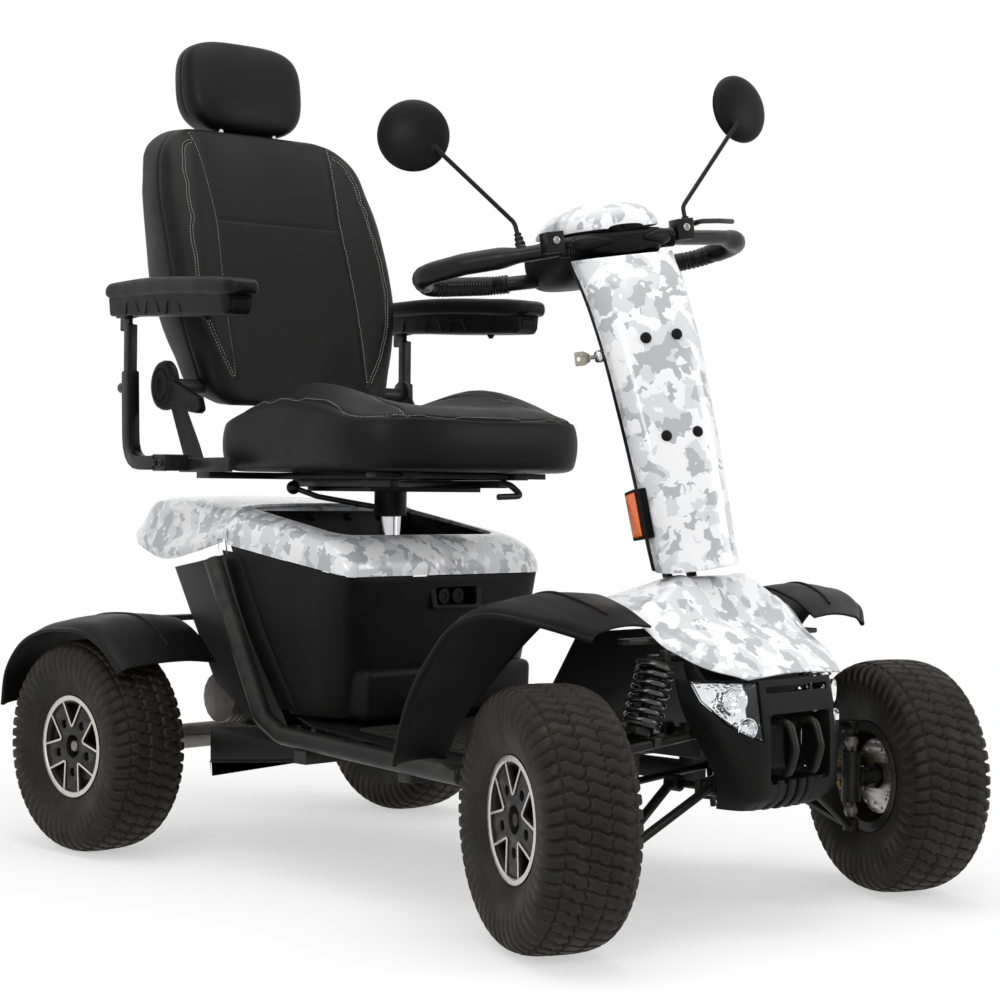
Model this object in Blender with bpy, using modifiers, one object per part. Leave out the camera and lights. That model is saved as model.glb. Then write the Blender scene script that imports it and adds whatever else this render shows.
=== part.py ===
"""All-terrain mobility scooter, metres, +X forward, +Y to the rider's left, +Z up, ground at z = 0.

Every piece is built straight ahead in vehicle coordinates and hung on an empty on its joint's axis.
The last section turns those empties to the steered, swivelled pose in which the scooter stands.
"""

import math

import bmesh
import bpy
import numpy as np
from mathutils import Matrix, Vector

for old in list(bpy.data.objects):
    bpy.data.objects.remove(old, do_unlink=True)

# Overall layout
WHEELBASE = 1.174
FRONT_TRACK = 0.780
REAR_TRACK = 0.758
BOX_CENTRE_X = -0.02415
BOX_CENTRE_Y = 0.0
GAP = 0.0004
FLAT_ANGLE = math.radians(0.2)

# Wheels
TYRE_RADIUS = 0.1917
TYRE_WIDTH = 0.148
TYRE_WALL = 0.009
RIM_RADIUS = 0.0915
BARREL_RADIUS = 0.0765
RIM_OUTER = 0.0557
RIM_INNER = 0.0634
RIM_FLANGE = 0.0044
SPOKE_THICKNESS = 0.009
HUB_RADIUS = 0.027
SPINDLE_RADIUS = 0.010
BRAKE_DISC_RADIUS = 0.058
WHEEL_STEPS = 20

# Front suspension and steering
KINGPIN_SPREAD = 0.615
LOWER_BALL_Z = 0.135
UPPER_BALL_Z = 0.250
BALL_RADIUS = 0.012
KINGPIN_RADIUS = 0.008
LOWER_PIVOT = (0.100, 0.216)
UPPER_PIVOT = (0.125, 0.300)
ARM_PIVOT_X = (0.545, 0.632)
PIVOT_PIN_RADIUS = 0.006
ARM_TUBE = 0.011
SPRING_BASE = (0.579, 0.212, 0.310)
SPRING_TOP = (0.579, 0.178, 0.402)
SPRING_RADIUS = 0.0275
SPRING_WIRE = 0.0045
SPRING_TURNS = 6.0
STEER_FOOT = (0.500, 0.0, 0.450)
STEER_RAKE = math.radians(19.2)
STEER_ARM = (0.087, 0.020)
TIE_ROD_RADIUS = 0.006
PITMAN_ROOT_Z = 0.2263
PITMAN_LENGTH = 0.077

# Chassis and floor
RAIL_HALF_SPREAD = 0.082
RAIL_SIZE = (0.034, 0.030)
RAIL_Z = 0.205
RAIL_ENDS = (-0.510, 0.450)
FRONT_RAIL_Z = 0.270
FRONT_PLATE_X = 0.650
BAY_BACK = FRONT_PLATE_X + 0.005 + GAP
BAY_FRONT = 0.7115
BAY_SIZE = (0.154, 0.108)
BAY_Z = 0.278
TRAY_HALF_WIDTH = 0.200
FLOOR_TILT = math.radians(3.3)
FLOOR_EDGE = (-0.212, 0.262)
FLOOR_LENGTH = 0.500
FLOOR_HALF_WIDTH = 0.272
FLOOR_FRONT_HALF_WIDTH = 0.300
SHEET = 0.004
MAT_THICKNESS = 0.005
SIDE_TUBE_RADIUS = 0.016

# Tiller
BAR_RADIUS = 0.0125
GRIP_RADIUS = 0.016
FRONT_BAR = (0.372, 1.062)
REAR_BAR = (0.155, 1.020)
TILT_REACH = 0.095
MIRROR_JOINT = (0.3155, 0.2690, 1.2430)
MIRROR_RADIUS = 0.058

# Seat
POST_X = -0.215
POST_RADIUS = 0.019
SOCKET_RADIUS = 0.026
SOCKET_TOP = 0.540
SEAT_UNDERSIDE = 0.690
CUSHION_REAR = -0.455
CUSHION_FRONT = 0.104
CUSHION_HALF_WIDTH = 0.252
CUSHION_TOP = 0.797
BOLSTER_RISE = 0.046
BACK_HALF_WIDTH = 0.248
RECLINE_AXIS = (-0.579, 0.853)
RECLINE_DISC_RADIUS = 0.047
HINGE_PLATE_Y = 0.262
HEAD_POST_RADIUS = 0.006
ARM_HALF_SPREAD = 0.312
ARM_POST_X = -0.646
ARM_TUBE_SIZE = 0.026
ARM_TUBE_Z = 0.706
ARM_PIVOT = (-0.668, 0.992)
ARM_PAD_FRONT = -0.191
ARM_PAD_REAR = -0.700
ARM_PAD_HALF_WIDTH = 0.036

# Standing pose of the joints, in degrees, positive about their own axes
TILLER_NOW = -26.0
WHEELS_NOW = -22.9
SEAT_NOW = -8.75

parts = bpy.data.collections.new("mobility_scooter")
cutters = bpy.data.collections.new("cutters")
for folder in (parts, cutters):
    bpy.context.scene.collection.children.link(folder)
home = {}


def pivot(name, at, parent=None):
    """An empty on a joint's axis, placed in vehicle coordinates."""
    empty = bpy.data.objects.new(name, None)
    empty.empty_display_size = 0.05
    empty.rotation_mode = "QUATERNION"
    parts.objects.link(empty)
    home[empty] = Vector(at)
    if parent:
        empty.parent = parent
        empty.location = home[empty] - home[parent]
    return empty


def material(name, colour, roughness, metallic=0.0):
    """A plain Principled material; colour is linear RGB."""
    made = bpy.data.materials.new(name)
    made.use_nodes = True
    shader = made.node_tree.nodes["Principled BSDF"]
    shader.inputs["Base Color"].default_value = (*colour, 1.0)
    shader.inputs["Roughness"].default_value = roughness
    shader.inputs["Metallic"].default_value = metallic
    made.diffuse_color = (*colour, 1.0)
    return made


def as_mesh(obj):
    """The evaluated mesh of a helper in vehicle coordinates, welded and facing out; the helper goes."""
    bpy.context.view_layer.update()
    mesh = bpy.data.meshes.new_from_object(obj.evaluated_get(bpy.context.evaluated_depsgraph_get()))
    mesh.transform(obj.matrix_world)
    bpy.data.objects.remove(obj, do_unlink=True)
    bm = bmesh.new()
    bm.from_mesh(mesh)
    bmesh.ops.remove_doubles(bm, verts=bm.verts, dist=0.00001)
    bmesh.ops.dissolve_limit(bm, angle_limit=FLAT_ANGLE, verts=bm.verts, edges=bm.edges)
    bmesh.ops.recalc_face_normals(bm, faces=bm.faces)
    if bm.calc_volume(signed=True) < 0:
        bmesh.ops.reverse_faces(bm, faces=bm.faces)
    bm.to_mesh(mesh)
    bm.free()
    return mesh


def helper(data, name="helper"):
    """A temporary object for a mesh or curve that as_mesh will read."""
    obj = bpy.data.objects.new(name, data)
    bpy.context.scene.collection.objects.link(obj)
    return obj


def modifier(obj, kind, **values):
    """Adds a modifier and sets its values."""
    made = obj.modifiers.new(kind.title(), kind)
    for key, value in values.items():
        setattr(made, key, value)
    return made


def bevelled(mesh, width, segments=1):
    """The mesh with its sharp edges rounded."""
    obj = helper(mesh)
    modifier(obj, "BEVEL", width=width, segments=segments, limit_method="ANGLE", angle_limit=math.radians(40))
    return as_mesh(obj)


def block(size, at, tilt=0.0, yaw=0.0, bevel=0.0, segments=1):
    """A box of a size, centred at a place, tilted about Y and turned about Z."""
    bm = bmesh.new()
    bmesh.ops.create_cube(bm, size=1.0)
    bmesh.ops.scale(bm, vec=Vector(size), verts=bm.verts)
    turn = Matrix.Rotation(yaw, 4, "Z") @ Matrix.Rotation(tilt, 4, "Y")
    bmesh.ops.transform(bm, matrix=Matrix.Translation(Vector(at)) @ turn, verts=bm.verts)
    mesh = bpy.data.meshes.new("block")
    bm.to_mesh(mesh)
    bm.free()
    return bevelled(mesh, bevel, segments) if bevel else mesh


def along(start, end):
    """The matrix that lays the Z axis from start to end, centred between them."""
    start, end = Vector(start), Vector(end)
    return Matrix.Translation((start + end) / 2) @ (end - start).to_track_quat("Z", "Y").to_matrix().to_4x4()


def rod(start, end, radius, sides=8, end_radius=None):
    """A round bar from start to end."""
    bm = bmesh.new()
    length = (Vector(end) - Vector(start)).length
    top = radius if end_radius is None else end_radius
    bmesh.ops.create_cone(bm, cap_ends=True, segments=sides, radius1=radius, radius2=top, depth=length)
    bmesh.ops.transform(bm, matrix=along(start, end), verts=bm.verts)
    mesh = bpy.data.meshes.new("rod")
    bm.to_mesh(mesh)
    bm.free()
    return mesh


def bar(start, end, width, height):
    """A rectangular bar from start to end; height is its size nearest to vertical."""
    bm = bmesh.new()
    bmesh.ops.create_cube(bm, size=1.0)
    length = (Vector(end) - Vector(start)).length
    bmesh.ops.scale(bm, vec=Vector((width, height, length)), verts=bm.verts)
    bmesh.ops.transform(bm, matrix=along(start, end), verts=bm.verts)
    mesh = bpy.data.meshes.new("bar")
    bm.to_mesh(mesh)
    bm.free()
    return mesh


def ball(at, radius, sides=8):
    """A sphere."""
    bm = bmesh.new()
    bmesh.ops.create_uvsphere(bm, u_segments=sides, v_segments=sides // 2, radius=radius)
    bmesh.ops.translate(bm, vec=Vector(at), verts=bm.verts)
    mesh = bpy.data.meshes.new("ball")
    bm.to_mesh(mesh)
    bm.free()
    return mesh


def tube(points, radius, resolution=1, closed=False):
    """A round tube along a path of points."""
    curve = bpy.data.curves.new("tube", "CURVE")
    curve.dimensions = "3D"
    curve.bevel_depth = radius
    curve.bevel_resolution = resolution
    curve.use_fill_caps = not closed
    spline = curve.splines.new("POLY")
    spline.points.add(len(points) - 1)
    for place, point in zip(spline.points, points):
        place.co = (*point, 1.0)
    spline.use_cyclic_u = closed
    return as_mesh(helper(curve))


def rounded(corners, radius, steps=4):
    """A path through corners whose bends follow arcs of a radius."""
    corners = [Vector(c) for c in corners]
    path = [corners[0]]
    for before, corner, after in zip(corners, corners[1:], corners[2:]):
        inward, outward = (before - corner).normalized(), (after - corner).normalized()
        half = inward.angle(outward) / 2
        reach = min(radius / math.tan(half), 0.45 * min((before - corner).length, (after - corner).length))
        first, last = corner + inward * reach, corner + outward * reach
        for step in range(steps + 1):
            t = step / steps
            path.append(first * (1 - t) ** 2 + corner * 2 * t * (1 - t) + last * t * t)
    path.append(corners[-1])
    return path


def plate(outline, thickness, holes=(), placed=Matrix.Identity(4)):
    """A flat outline in XY with holes, extruded evenly about its plane, then placed."""
    curve = bpy.data.curves.new("plate", "CURVE")
    curve.dimensions = "2D"
    curve.fill_mode = "BOTH"
    curve.extrude = thickness / 2
    for loop in (outline, *holes):
        spline = curve.splines.new("POLY")
        spline.points.add(len(loop) - 1)
        for place, point in zip(spline.points, loop):
            place.co = (point[0], point[1], 0.0, 1.0)
        spline.use_cyclic_u = True
    obj = helper(curve)
    obj.matrix_world = placed
    return as_mesh(obj)


def circle(radius, sides, centre=(0.0, 0.0), start=0.0):
    """Points of a circle in a plane."""
    angles = [start + 2 * math.pi * i / sides for i in range(sides)]
    return [(centre[0] + radius * math.cos(a), centre[1] + radius * math.sin(a)) for a in angles]


def upright(y):
    """Places an XY outline in the XZ plane at a Y: outline x is vehicle x, outline y is height."""
    return Matrix.Translation((0.0, y, 0.0)) @ Matrix.Rotation(math.pi / 2, 4, "X")


def turned(profile, steps, placed=Matrix.Identity(4), start=0.0):
    """A closed profile of (radius, height) turned about Z, then placed."""
    mesh = bpy.data.meshes.new("profile")
    points = [(r * math.cos(start), r * math.sin(start), h) for r, h in profile]
    mesh.from_pydata(points, [(i, (i + 1) % len(points)) for i in range(len(points))], [])
    obj = helper(mesh)
    modifier(obj, "SCREW", steps=steps, render_steps=steps, use_merge_vertices=True, merge_threshold=0.00005)
    obj.matrix_world = placed
    return as_mesh(obj)


def across(x, y, z, side=1):
    """Places a turned shape so its axis runs outward along Y on one side."""
    return Matrix.Translation((x, y, z)) @ Matrix.Rotation(-side * math.pi / 2, 4, "X")


def loft(rings):
    """A closed body through rings of equal point counts."""
    count = len(rings[0])
    points = [tuple(p) for ring in rings for p in ring]
    faces = [
        (r * count + i, r * count + (i + 1) % count, (r + 1) * count + (i + 1) % count, (r + 1) * count + i)
        for r in range(len(rings) - 1)
        for i in range(count)
    ]
    faces += [tuple(range(count))[::-1], tuple(range(len(points) - count, len(points)))]
    mesh = bpy.data.meshes.new("loft")
    mesh.from_pydata(points, [], faces)
    return as_mesh(helper(mesh))


def sheet(rows, thickness, mirrored=False, smooth=0, inward=-1.0):
    """An open grid of points as a shell; mirrored repeats a half that starts at y = 0."""
    width = len(rows[0])
    points = [tuple(p) for row in rows for p in row]
    faces = [
        (r * width + i, r * width + i + 1, (r + 1) * width + i + 1, (r + 1) * width + i)
        for r in range(len(rows) - 1)
        for i in range(width - 1)
    ]
    mesh = bpy.data.meshes.new("sheet")
    mesh.from_pydata(points, [], faces)
    obj = helper(mesh)
    if mirrored:
        modifier(obj, "MIRROR", use_axis=(False, True, False), use_clip=True, merge_threshold=0.00005)
    if smooth:
        modifier(obj, "SUBSURF", levels=smooth, render_levels=smooth, boundary_smooth="PRESERVE_CORNERS")
    modifier(obj, "SOLIDIFY", thickness=thickness, offset=inward, use_even_offset=True)
    return as_mesh(obj)


def other_side(mesh):
    """The mirror image of a mesh across y = 0."""
    copy = mesh.copy()
    copy.transform(Matrix.Diagonal((1.0, -1.0, 1.0, 1.0)))
    copy.flip_normals()
    return copy


def worked(base, union=(), cut=()):
    """The base with meshes joined to it and others cut from it."""
    obj = helper(base)
    tools = []
    for operation, meshes in (("UNION", union), ("DIFFERENCE", cut)):
        for mesh in meshes:
            tool = bpy.data.objects.new("tool", mesh)
            tool.hide_render = True
            tool.display_type = "WIRE"
            cutters.objects.link(tool)
            tools.append(tool)
            modifier(obj, "BOOLEAN", operation=operation, object=tool, solver="EXACT")
    made = as_mesh(obj)
    for tool in tools:
        bpy.data.objects.remove(tool, do_unlink=True)
    return made


def piece(name, hung_on, finish, mesh, smooth=35.0):
    """A named sub-part, hung on its joint's empty with its own place kept."""
    obj = bpy.data.objects.new(name, mesh)
    mesh.name = name
    parts.objects.link(obj)
    mesh.materials.clear()
    mesh.materials.append(finish)
    mesh.shade_smooth()
    mesh.set_sharp_from_angle(angle=math.radians(smooth))
    obj.location = -home[hung_on]
    obj.parent = hung_on
    return obj


# Finishes
camouflage = material("white_camouflage", (0.72, 0.72, 0.73), 0.22)
black_plastic = material("black_plastic", (0.018, 0.018, 0.018), 0.45)
grey_plastic = material("grey_plastic", (0.05, 0.05, 0.052), 0.5)
black_steel = material("black_steel", (0.012, 0.012, 0.012), 0.35, 0.6)
chrome = material("chrome", (0.75, 0.75, 0.76), 0.08, 1.0)
cast_alloy = material("cast_alloy", (0.45, 0.45, 0.44), 0.4, 0.9)
black_alloy = material("black_alloy", (0.02, 0.02, 0.02), 0.25, 0.7)
rubber = material("rubber", (0.022, 0.021, 0.018), 0.8)
vinyl = material("vinyl", (0.02, 0.02, 0.02), 0.5)
clear_lens = material("clear_lens", (0.75, 0.78, 0.8), 0.05)
mirror_shell = material("mirror_shell", (0.01, 0.01, 0.01), 0.2)
battery_case = material("battery_case", (0.03, 0.03, 0.035), 0.5)
key_metal = material("key_metal", (0.35, 0.32, 0.27), 0.3, 1.0)

# Empties on the joint axes
front_axle = WHEELBASE / 2
rear_axle = -WHEELBASE / 2
chassis = pivot("chassis", (0.0, 0.0, 0.0))
seat_lift = pivot("seat_lift", (POST_X, 0.0, SOCKET_TOP), chassis)
seat_turn = pivot("seat_turn", (POST_X, 0.0, 0.655), seat_lift)
seat_track = pivot("seat_track", (POST_X, 0.0, 0.672), seat_turn)
recline = pivot("recline", (RECLINE_AXIS[0], 0.0, RECLINE_AXIS[1]), seat_track)
head_track = pivot("head_track", (-0.75, 0.0, 1.36), recline)
steering = pivot("steering", STEER_FOOT, chassis)
RAKE_UP = Vector((-math.sin(STEER_RAKE), 0.0, math.cos(STEER_RAKE)))
tilt_point = Vector(STEER_FOOT) + RAKE_UP * TILT_REACH
tiller = pivot("tiller", tilt_point, steering)


def on_steering_axis(height):
    """The point of the steering axis at a height."""
    return Vector(STEER_FOOT) + RAKE_UP * ((height - STEER_FOOT[2]) / math.cos(STEER_RAKE))


# Wheels: a tyre of open section on a five-spoke rim with a hub and brake disc inside
def tyre(side):
    """Low-pressure tyre: rounded shoulders, bulged walls, hollow inside, lying on a flat facet."""
    half, wall = TYRE_WIDTH / 2, TYRE_WALL
    outside = [
        (TYRE_RADIUS, 0.040),
        (TYRE_RADIUS - 0.011, 0.065),
        (0.146, half),
        (RIM_RADIUS + 0.0016, RIM_OUTER - 0.0018),
    ]
    bead = [(BARREL_RADIUS + GAP, RIM_OUTER - RIM_FLANGE - 2 * GAP)]
    inside = [(BARREL_RADIUS + GAP, RIM_OUTER - 0.012), (TYRE_RADIUS - wall - 0.003, 0.048)]
    upper = outside + bead + inside
    profile = [(r, h) for r, h in upper] + [(r, -h) for r, h in reversed(upper)]
    stretch = 1.0 / math.cos(math.pi / WHEEL_STEPS)
    profile = [(r * stretch if r > RIM_RADIUS + 0.01 else r, h) for r, h in profile]
    return profile


def wheel_frame(x, y, side):
    """Places turned wheel parts, turned half a step so that a facet lies on the ground."""
    return across(x, y, TYRE_RADIUS, side)


def rim(x, y, side):
    """A barrel with flanges joined to a disc with five V-shaped spokes."""
    flange = RIM_FLANGE
    barrel = turned(
        [
            (RIM_RADIUS, RIM_OUTER),
            (RIM_RADIUS, RIM_OUTER - 0.0014),
            (BARREL_RADIUS, RIM_OUTER - flange),
            (BARREL_RADIUS, -RIM_OUTER + flange),
            (RIM_RADIUS, -RIM_OUTER),
            (BARREL_RADIUS - 0.004, -RIM_INNER),
            (BARREL_RADIUS - 0.004, RIM_OUTER - 0.004),
        ],
        WHEEL_STEPS,
        wheel_frame(x, y, side),
        math.pi / WHEEL_STEPS,
    )
    holes = [circle(HUB_RADIUS - 0.004, 6)]
    for spoke in range(5):
        mid = math.radians(90 + 72 * spoke)
        inner, outer = 0.036, BARREL_RADIUS - 0.009
        wide, narrow = math.radians(15), math.radians(3)
        holes.append([polar(inner + 0.004, mid - narrow), polar(outer, mid - wide), polar(outer, mid + wide)])
        gap_mid = mid + math.radians(36)
        holes.append(
            [
                polar(inner, gap_mid - math.radians(13)),
                polar(outer, gap_mid - math.radians(10)),
                polar(outer, gap_mid + math.radians(10)),
                polar(inner, gap_mid + math.radians(13)),
            ]
        )
    face = Matrix.Translation((x, y, TYRE_RADIUS)) @ Matrix.Rotation(-side * math.pi / 2, 4, "X")
    disc = plate(
        circle(BARREL_RADIUS - 0.002, WHEEL_STEPS),
        SPOKE_THICKNESS,
        holes,
        face @ Matrix.Translation((0.0, 0.0, RIM_OUTER - 0.012)),
    )
    hub = turned(
        [
            (HUB_RADIUS, RIM_OUTER - 0.004),
            (HUB_RADIUS, -0.030),
            (BRAKE_DISC_RADIUS, -0.030),
            (BRAKE_DISC_RADIUS, -0.034),
            (SPINDLE_RADIUS + GAP, -0.034),
            (SPINDLE_RADIUS + GAP, RIM_OUTER - 0.004),
        ],
        12,
        face,
    )
    return worked(barrel, union=[disc, hub])


def polar(radius, angle):
    """A point of a plane by radius and angle."""
    return radius * math.cos(angle), radius * math.sin(angle)


# Frames and panels of the chassis
def chassis_frame():
    """Two rails with cross members, the seat's socket, the floor's side tubes and the front subframe."""
    rail_w, rail_h = RAIL_SIZE
    lift = RAIL_Z
    rear, front = RAIL_ENDS
    rail_size = (front - rear, rail_w, rail_h)
    rails = [block(rail_size, ((rear + front) / 2, s * RAIL_HALF_SPREAD, lift)) for s in (-1, 1)]
    cross = [
        block((0.032, 0.57, 0.024), (-0.120, 0.0, lift)),
        block((0.032, 0.60, 0.024), (0.160, 0.0, lift)),
        block((0.036, 0.20, 0.024), (rear + 0.018, 0.0, lift)),
        block((0.100, 0.17, 0.024), (POST_X, 0.0, lift)),
        block((0.030, 0.20, 0.028), (0.615, 0.0, FRONT_RAIL_Z)),
        block((0.050, 0.12, 0.012), (FRONT_PLATE_X - 0.025, 0.0, 0.197)),
    ]
    for s in (-1, 1):
        y = s * RAIL_HALF_SPREAD
        rise = FRONT_RAIL_Z + 0.014 - (lift - rail_h / 2)
        cross.append(block((0.030, rail_w, rise), (front - 0.015, y, lift - rail_h / 2 + rise / 2)))
        cross.append(block((0.200, rail_w, 0.028), (0.520, y, FRONT_RAIL_Z)))
        cross.append(block((0.020, 0.024, 0.068), (-0.340, y, 0.241)))
        cross.append(block((0.020, 0.024, 0.068), (-0.236, y, 0.241)))
        cross.append(block((0.010, 0.024, 0.0170), (-0.240, y, 0.1912)))
        cross.append(block((0.010, 0.024, 0.0400), (-0.470, y, 0.1799)))
    risers = []
    for x, y in ((-0.120, 0.2450), (0.160, 0.2600)):
        top = floor_height(x + 0.006) - SHEET - 2 * GAP
        risers += [block((0.012, 0.024, top - lift), (x, s * y, (top + lift) / 2)) for s in (-1, 1)]
    battery_shelf = block((0.250, 0.340, 0.006), (-0.245, 0.0, 0.2735))
    outer_tubes = [side_tube(), other_side(side_tube())]
    tower = block((0.030, 0.130, 0.194), (0.615, 0.0, 0.288))
    front_plate = block((0.010, 0.144, 0.200), (FRONT_PLATE_X, 0.0, 0.290))
    shelf = block((0.094, 0.144, 0.012), (0.608, 0.0, 0.372))
    brace = block((0.080, 0.040, 0.014), (0.566, 0.0, 0.378))
    spring_eyes = []
    for s in (-1, 1):
        spring_eyes.append(block((0.034, 0.100, 0.010), (SPRING_TOP[0], s * 0.130, SPRING_TOP[2] + 0.0078)))
        foot = (SPRING_TOP[0] + 0.010, s * 0.060, 0.370)
        spring_eyes.append(bar(foot, (SPRING_TOP[0], s * 0.090, SPRING_TOP[2] + 0.006), 0.020, 0.018))
    ears = []
    pins = []
    low_x, high_x = ARM_PIVOT_X
    for height_y, height_z in (LOWER_PIVOT, UPPER_PIVOT):
        for s in (-1, 1):
            y, reach = s * height_y, height_y + 0.010
            ends = (low_x - 0.010, y, height_z), (high_x + 0.010, y, height_z)
            pins.append(rod(*ends, PIVOT_PIN_RADIUS, 10))
            ears.append(block((0.010, reach, 0.024), (0.604, s * reach / 2, height_z)))
    bearing = turned(
        [(0.030, 0.030), (0.030, -0.030), (0.0155, -0.030), (0.0155, 0.030)],
        14,
        Matrix.Translation(on_steering_axis(0.395)) @ Matrix.Rotation(-STEER_RAKE, 4, "Y"),
    )
    posts = [block((0.024, 0.024, 0.311), (-0.445, s * 0.070, 0.3605)) for s in (-1, 1)]
    tail_posts = [block((0.020, 0.020, 0.1085), (-0.445, s * 0.150, 0.56825)) for s in (-1, 1)]
    hood_tabs = [block((0.015, 0.012, 0.0188), (0.5935, s * 0.1737, 0.4142)) for s in (-1, 1)]
    rear_brackets = [block((0.130, 0.020, 0.008), (-0.5100, s * 0.070, 0.4086)) for s in (-1, 1)]
    front_bracket = block((0.014, 0.030, 0.062), (0.5640, 0.0, 0.4006))
    beam = block((0.024, 0.400, 0.020), (-0.445, 0.0, 0.514))
    socket = rod((POST_X, 0.0, lift - 0.012), (POST_X, 0.0, SOCKET_TOP), SOCKET_RADIUS, 16)
    bore = rod((POST_X, 0.0, lift - 0.03), (POST_X, 0.0, SOCKET_TOP + 0.02), POST_RADIUS + GAP, 16)
    column_way = rod(on_steering_axis(0.190), on_steering_axis(0.470), 0.0155, 14)
    return worked(
        rails[0],
        union=[rails[1], *cross, *risers, *outer_tubes, battery_shelf, socket, tower, front_plate, shelf, brace,
               *spring_eyes, *ears, *pins, bearing, *posts, beam, *tail_posts, *hood_tabs,
               *rear_brackets, front_bracket],
        cut=[bore, column_way],
    )


def floor_height(x):
    """Top of the tilted floor pan at a distance forward."""
    return FLOOR_EDGE[1] - math.tan(FLOOR_TILT) * (x - FLOOR_EDGE[0])


def floor_pan():
    """A pressed sheet: flat floor that widens forward, turned up into a toe board."""
    def row(x, z, half):
        return [(x, y, z) for y in (-half, -half * 0.62, 0.0, half * 0.62, half)]

    front = FLOOR_EDGE[0] + FLOOR_LENGTH
    rows = [
        row(FLOOR_EDGE[0], floor_height(FLOOR_EDGE[0]), 0.215),
        row(-0.120, floor_height(-0.120), FLOOR_HALF_WIDTH - 0.012),
        row(0.120, floor_height(0.120), FLOOR_HALF_WIDTH + 0.006),
        row(front, floor_height(front), FLOOR_FRONT_HALF_WIDTH - 0.010),
        row(front + 0.030, floor_height(front) + 0.020, 0.200),
        row(front + 0.115, 0.440, 0.160),
    ]
    pan = sheet(rows, SHEET, inward=1.0)
    opening = rod((POST_X, 0.0, 0.20), (POST_X, 0.0, 0.32), SOCKET_RADIUS + 0.004, 16)
    return worked(pan, cut=[opening])


def floor_mat():
    """A ribbed rubber mat on the floor between the box and the toe board."""
    front = FLOOR_EDGE[0] + FLOOR_LENGTH
    rear = -0.036
    half = FLOOR_HALF_WIDTH - 0.035
    middle = (front + rear) / 2 - 0.012
    length = front - rear - 0.030
    lift = MAT_THICKNESS / 2 + GAP
    base = block(
        (length, 2 * half, MAT_THICKNESS), (middle, 0.0, floor_height(middle) + lift), tilt=FLOOR_TILT, bevel=0.002
    )
    ribs = []
    for number in range(9):
        y = (number - 4) * 0.050
        ribs.append(
            block(
                (length - 0.05, 0.022, 0.003),
                (middle, y, floor_height(middle) + lift + MAT_THICKNESS / 2),
                tilt=FLOOR_TILT,
            )
        )
    return worked(base, union=ribs)


def side_tube():
    """The right side's tube: it drops along the box's rear edge and runs forward as the floor's rail."""
    return tube(
        rounded(
            [
                (-0.398, -0.262, 0.530),
                (-0.236, -0.274, 0.262),
                (-0.170, -0.284, 0.238),
                (0.150, -0.305, 0.226),
                (0.318, -0.322, 0.222),
            ],
            0.05,
            2,
        ),
        SIDE_TUBE_RADIUS,
        2,
    )


def body_box():
    """The battery box's moulded skin: front and two raked sides, open behind, above and below."""
    def row(t):
        bottom = [
            (-0.212, 0.232, 0.268), (-0.158, 0.236, 0.268), (-0.094, 0.205, 0.266),
            (-0.084, 0.10, 0.265), (-0.084, 0.0, 0.265),
        ]
        top = [
            (-0.378, 0.238, 0.556), (-0.075, 0.238, 0.511), (-0.062, 0.225, 0.509),
            (-0.056, 0.11, 0.508), (-0.055, 0.0, 0.508),
        ]
        half = [Vector(b).lerp(Vector(a), t) for b, a in zip(bottom, top)]
        bulge = 0.006 * math.sin(math.pi * t)
        half = [(p.x, p.y + (bulge if i < 2 else 0.0), p.z) for i, p in enumerate(half)]
        return half + [(x, -y, z) for x, y, z in reversed(half[:-1])]

    skin = sheet([row(t) for t in (0.0, 0.12, 0.5, 1.0)], 0.0035, inward=1.0)
    step = block((0.060, 0.400, 0.088), (-0.078, 0.0, 0.308), tilt=math.radians(2), bevel=0.010, segments=2)
    inside = block((0.090, 0.380, 0.110), (-0.128, 0.0, 0.305))
    foot_low = floor_height(-0.126) + 2 * GAP
    foot_size = (0.020, 0.020, 0.276 - foot_low)
    feet = [block(foot_size, (-0.126, s * 0.2180, (0.276 + foot_low) / 2)) for s in (-1, 1)]
    deck_rest = block((0.004, 0.060, 0.010), (-0.0575, 0.0, 0.5047))
    port_back = block((0.016, 0.140, 0.060), (-0.0690, 0.018, 0.4720))
    port = block((0.020, 0.112, 0.040), (-0.0620, 0.018, 0.4720), bevel=0.004)
    hollow = worked(skin, union=[step, port_back], cut=[inside, port])
    return worked(hollow, union=[*feet, deck_rest])


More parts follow.
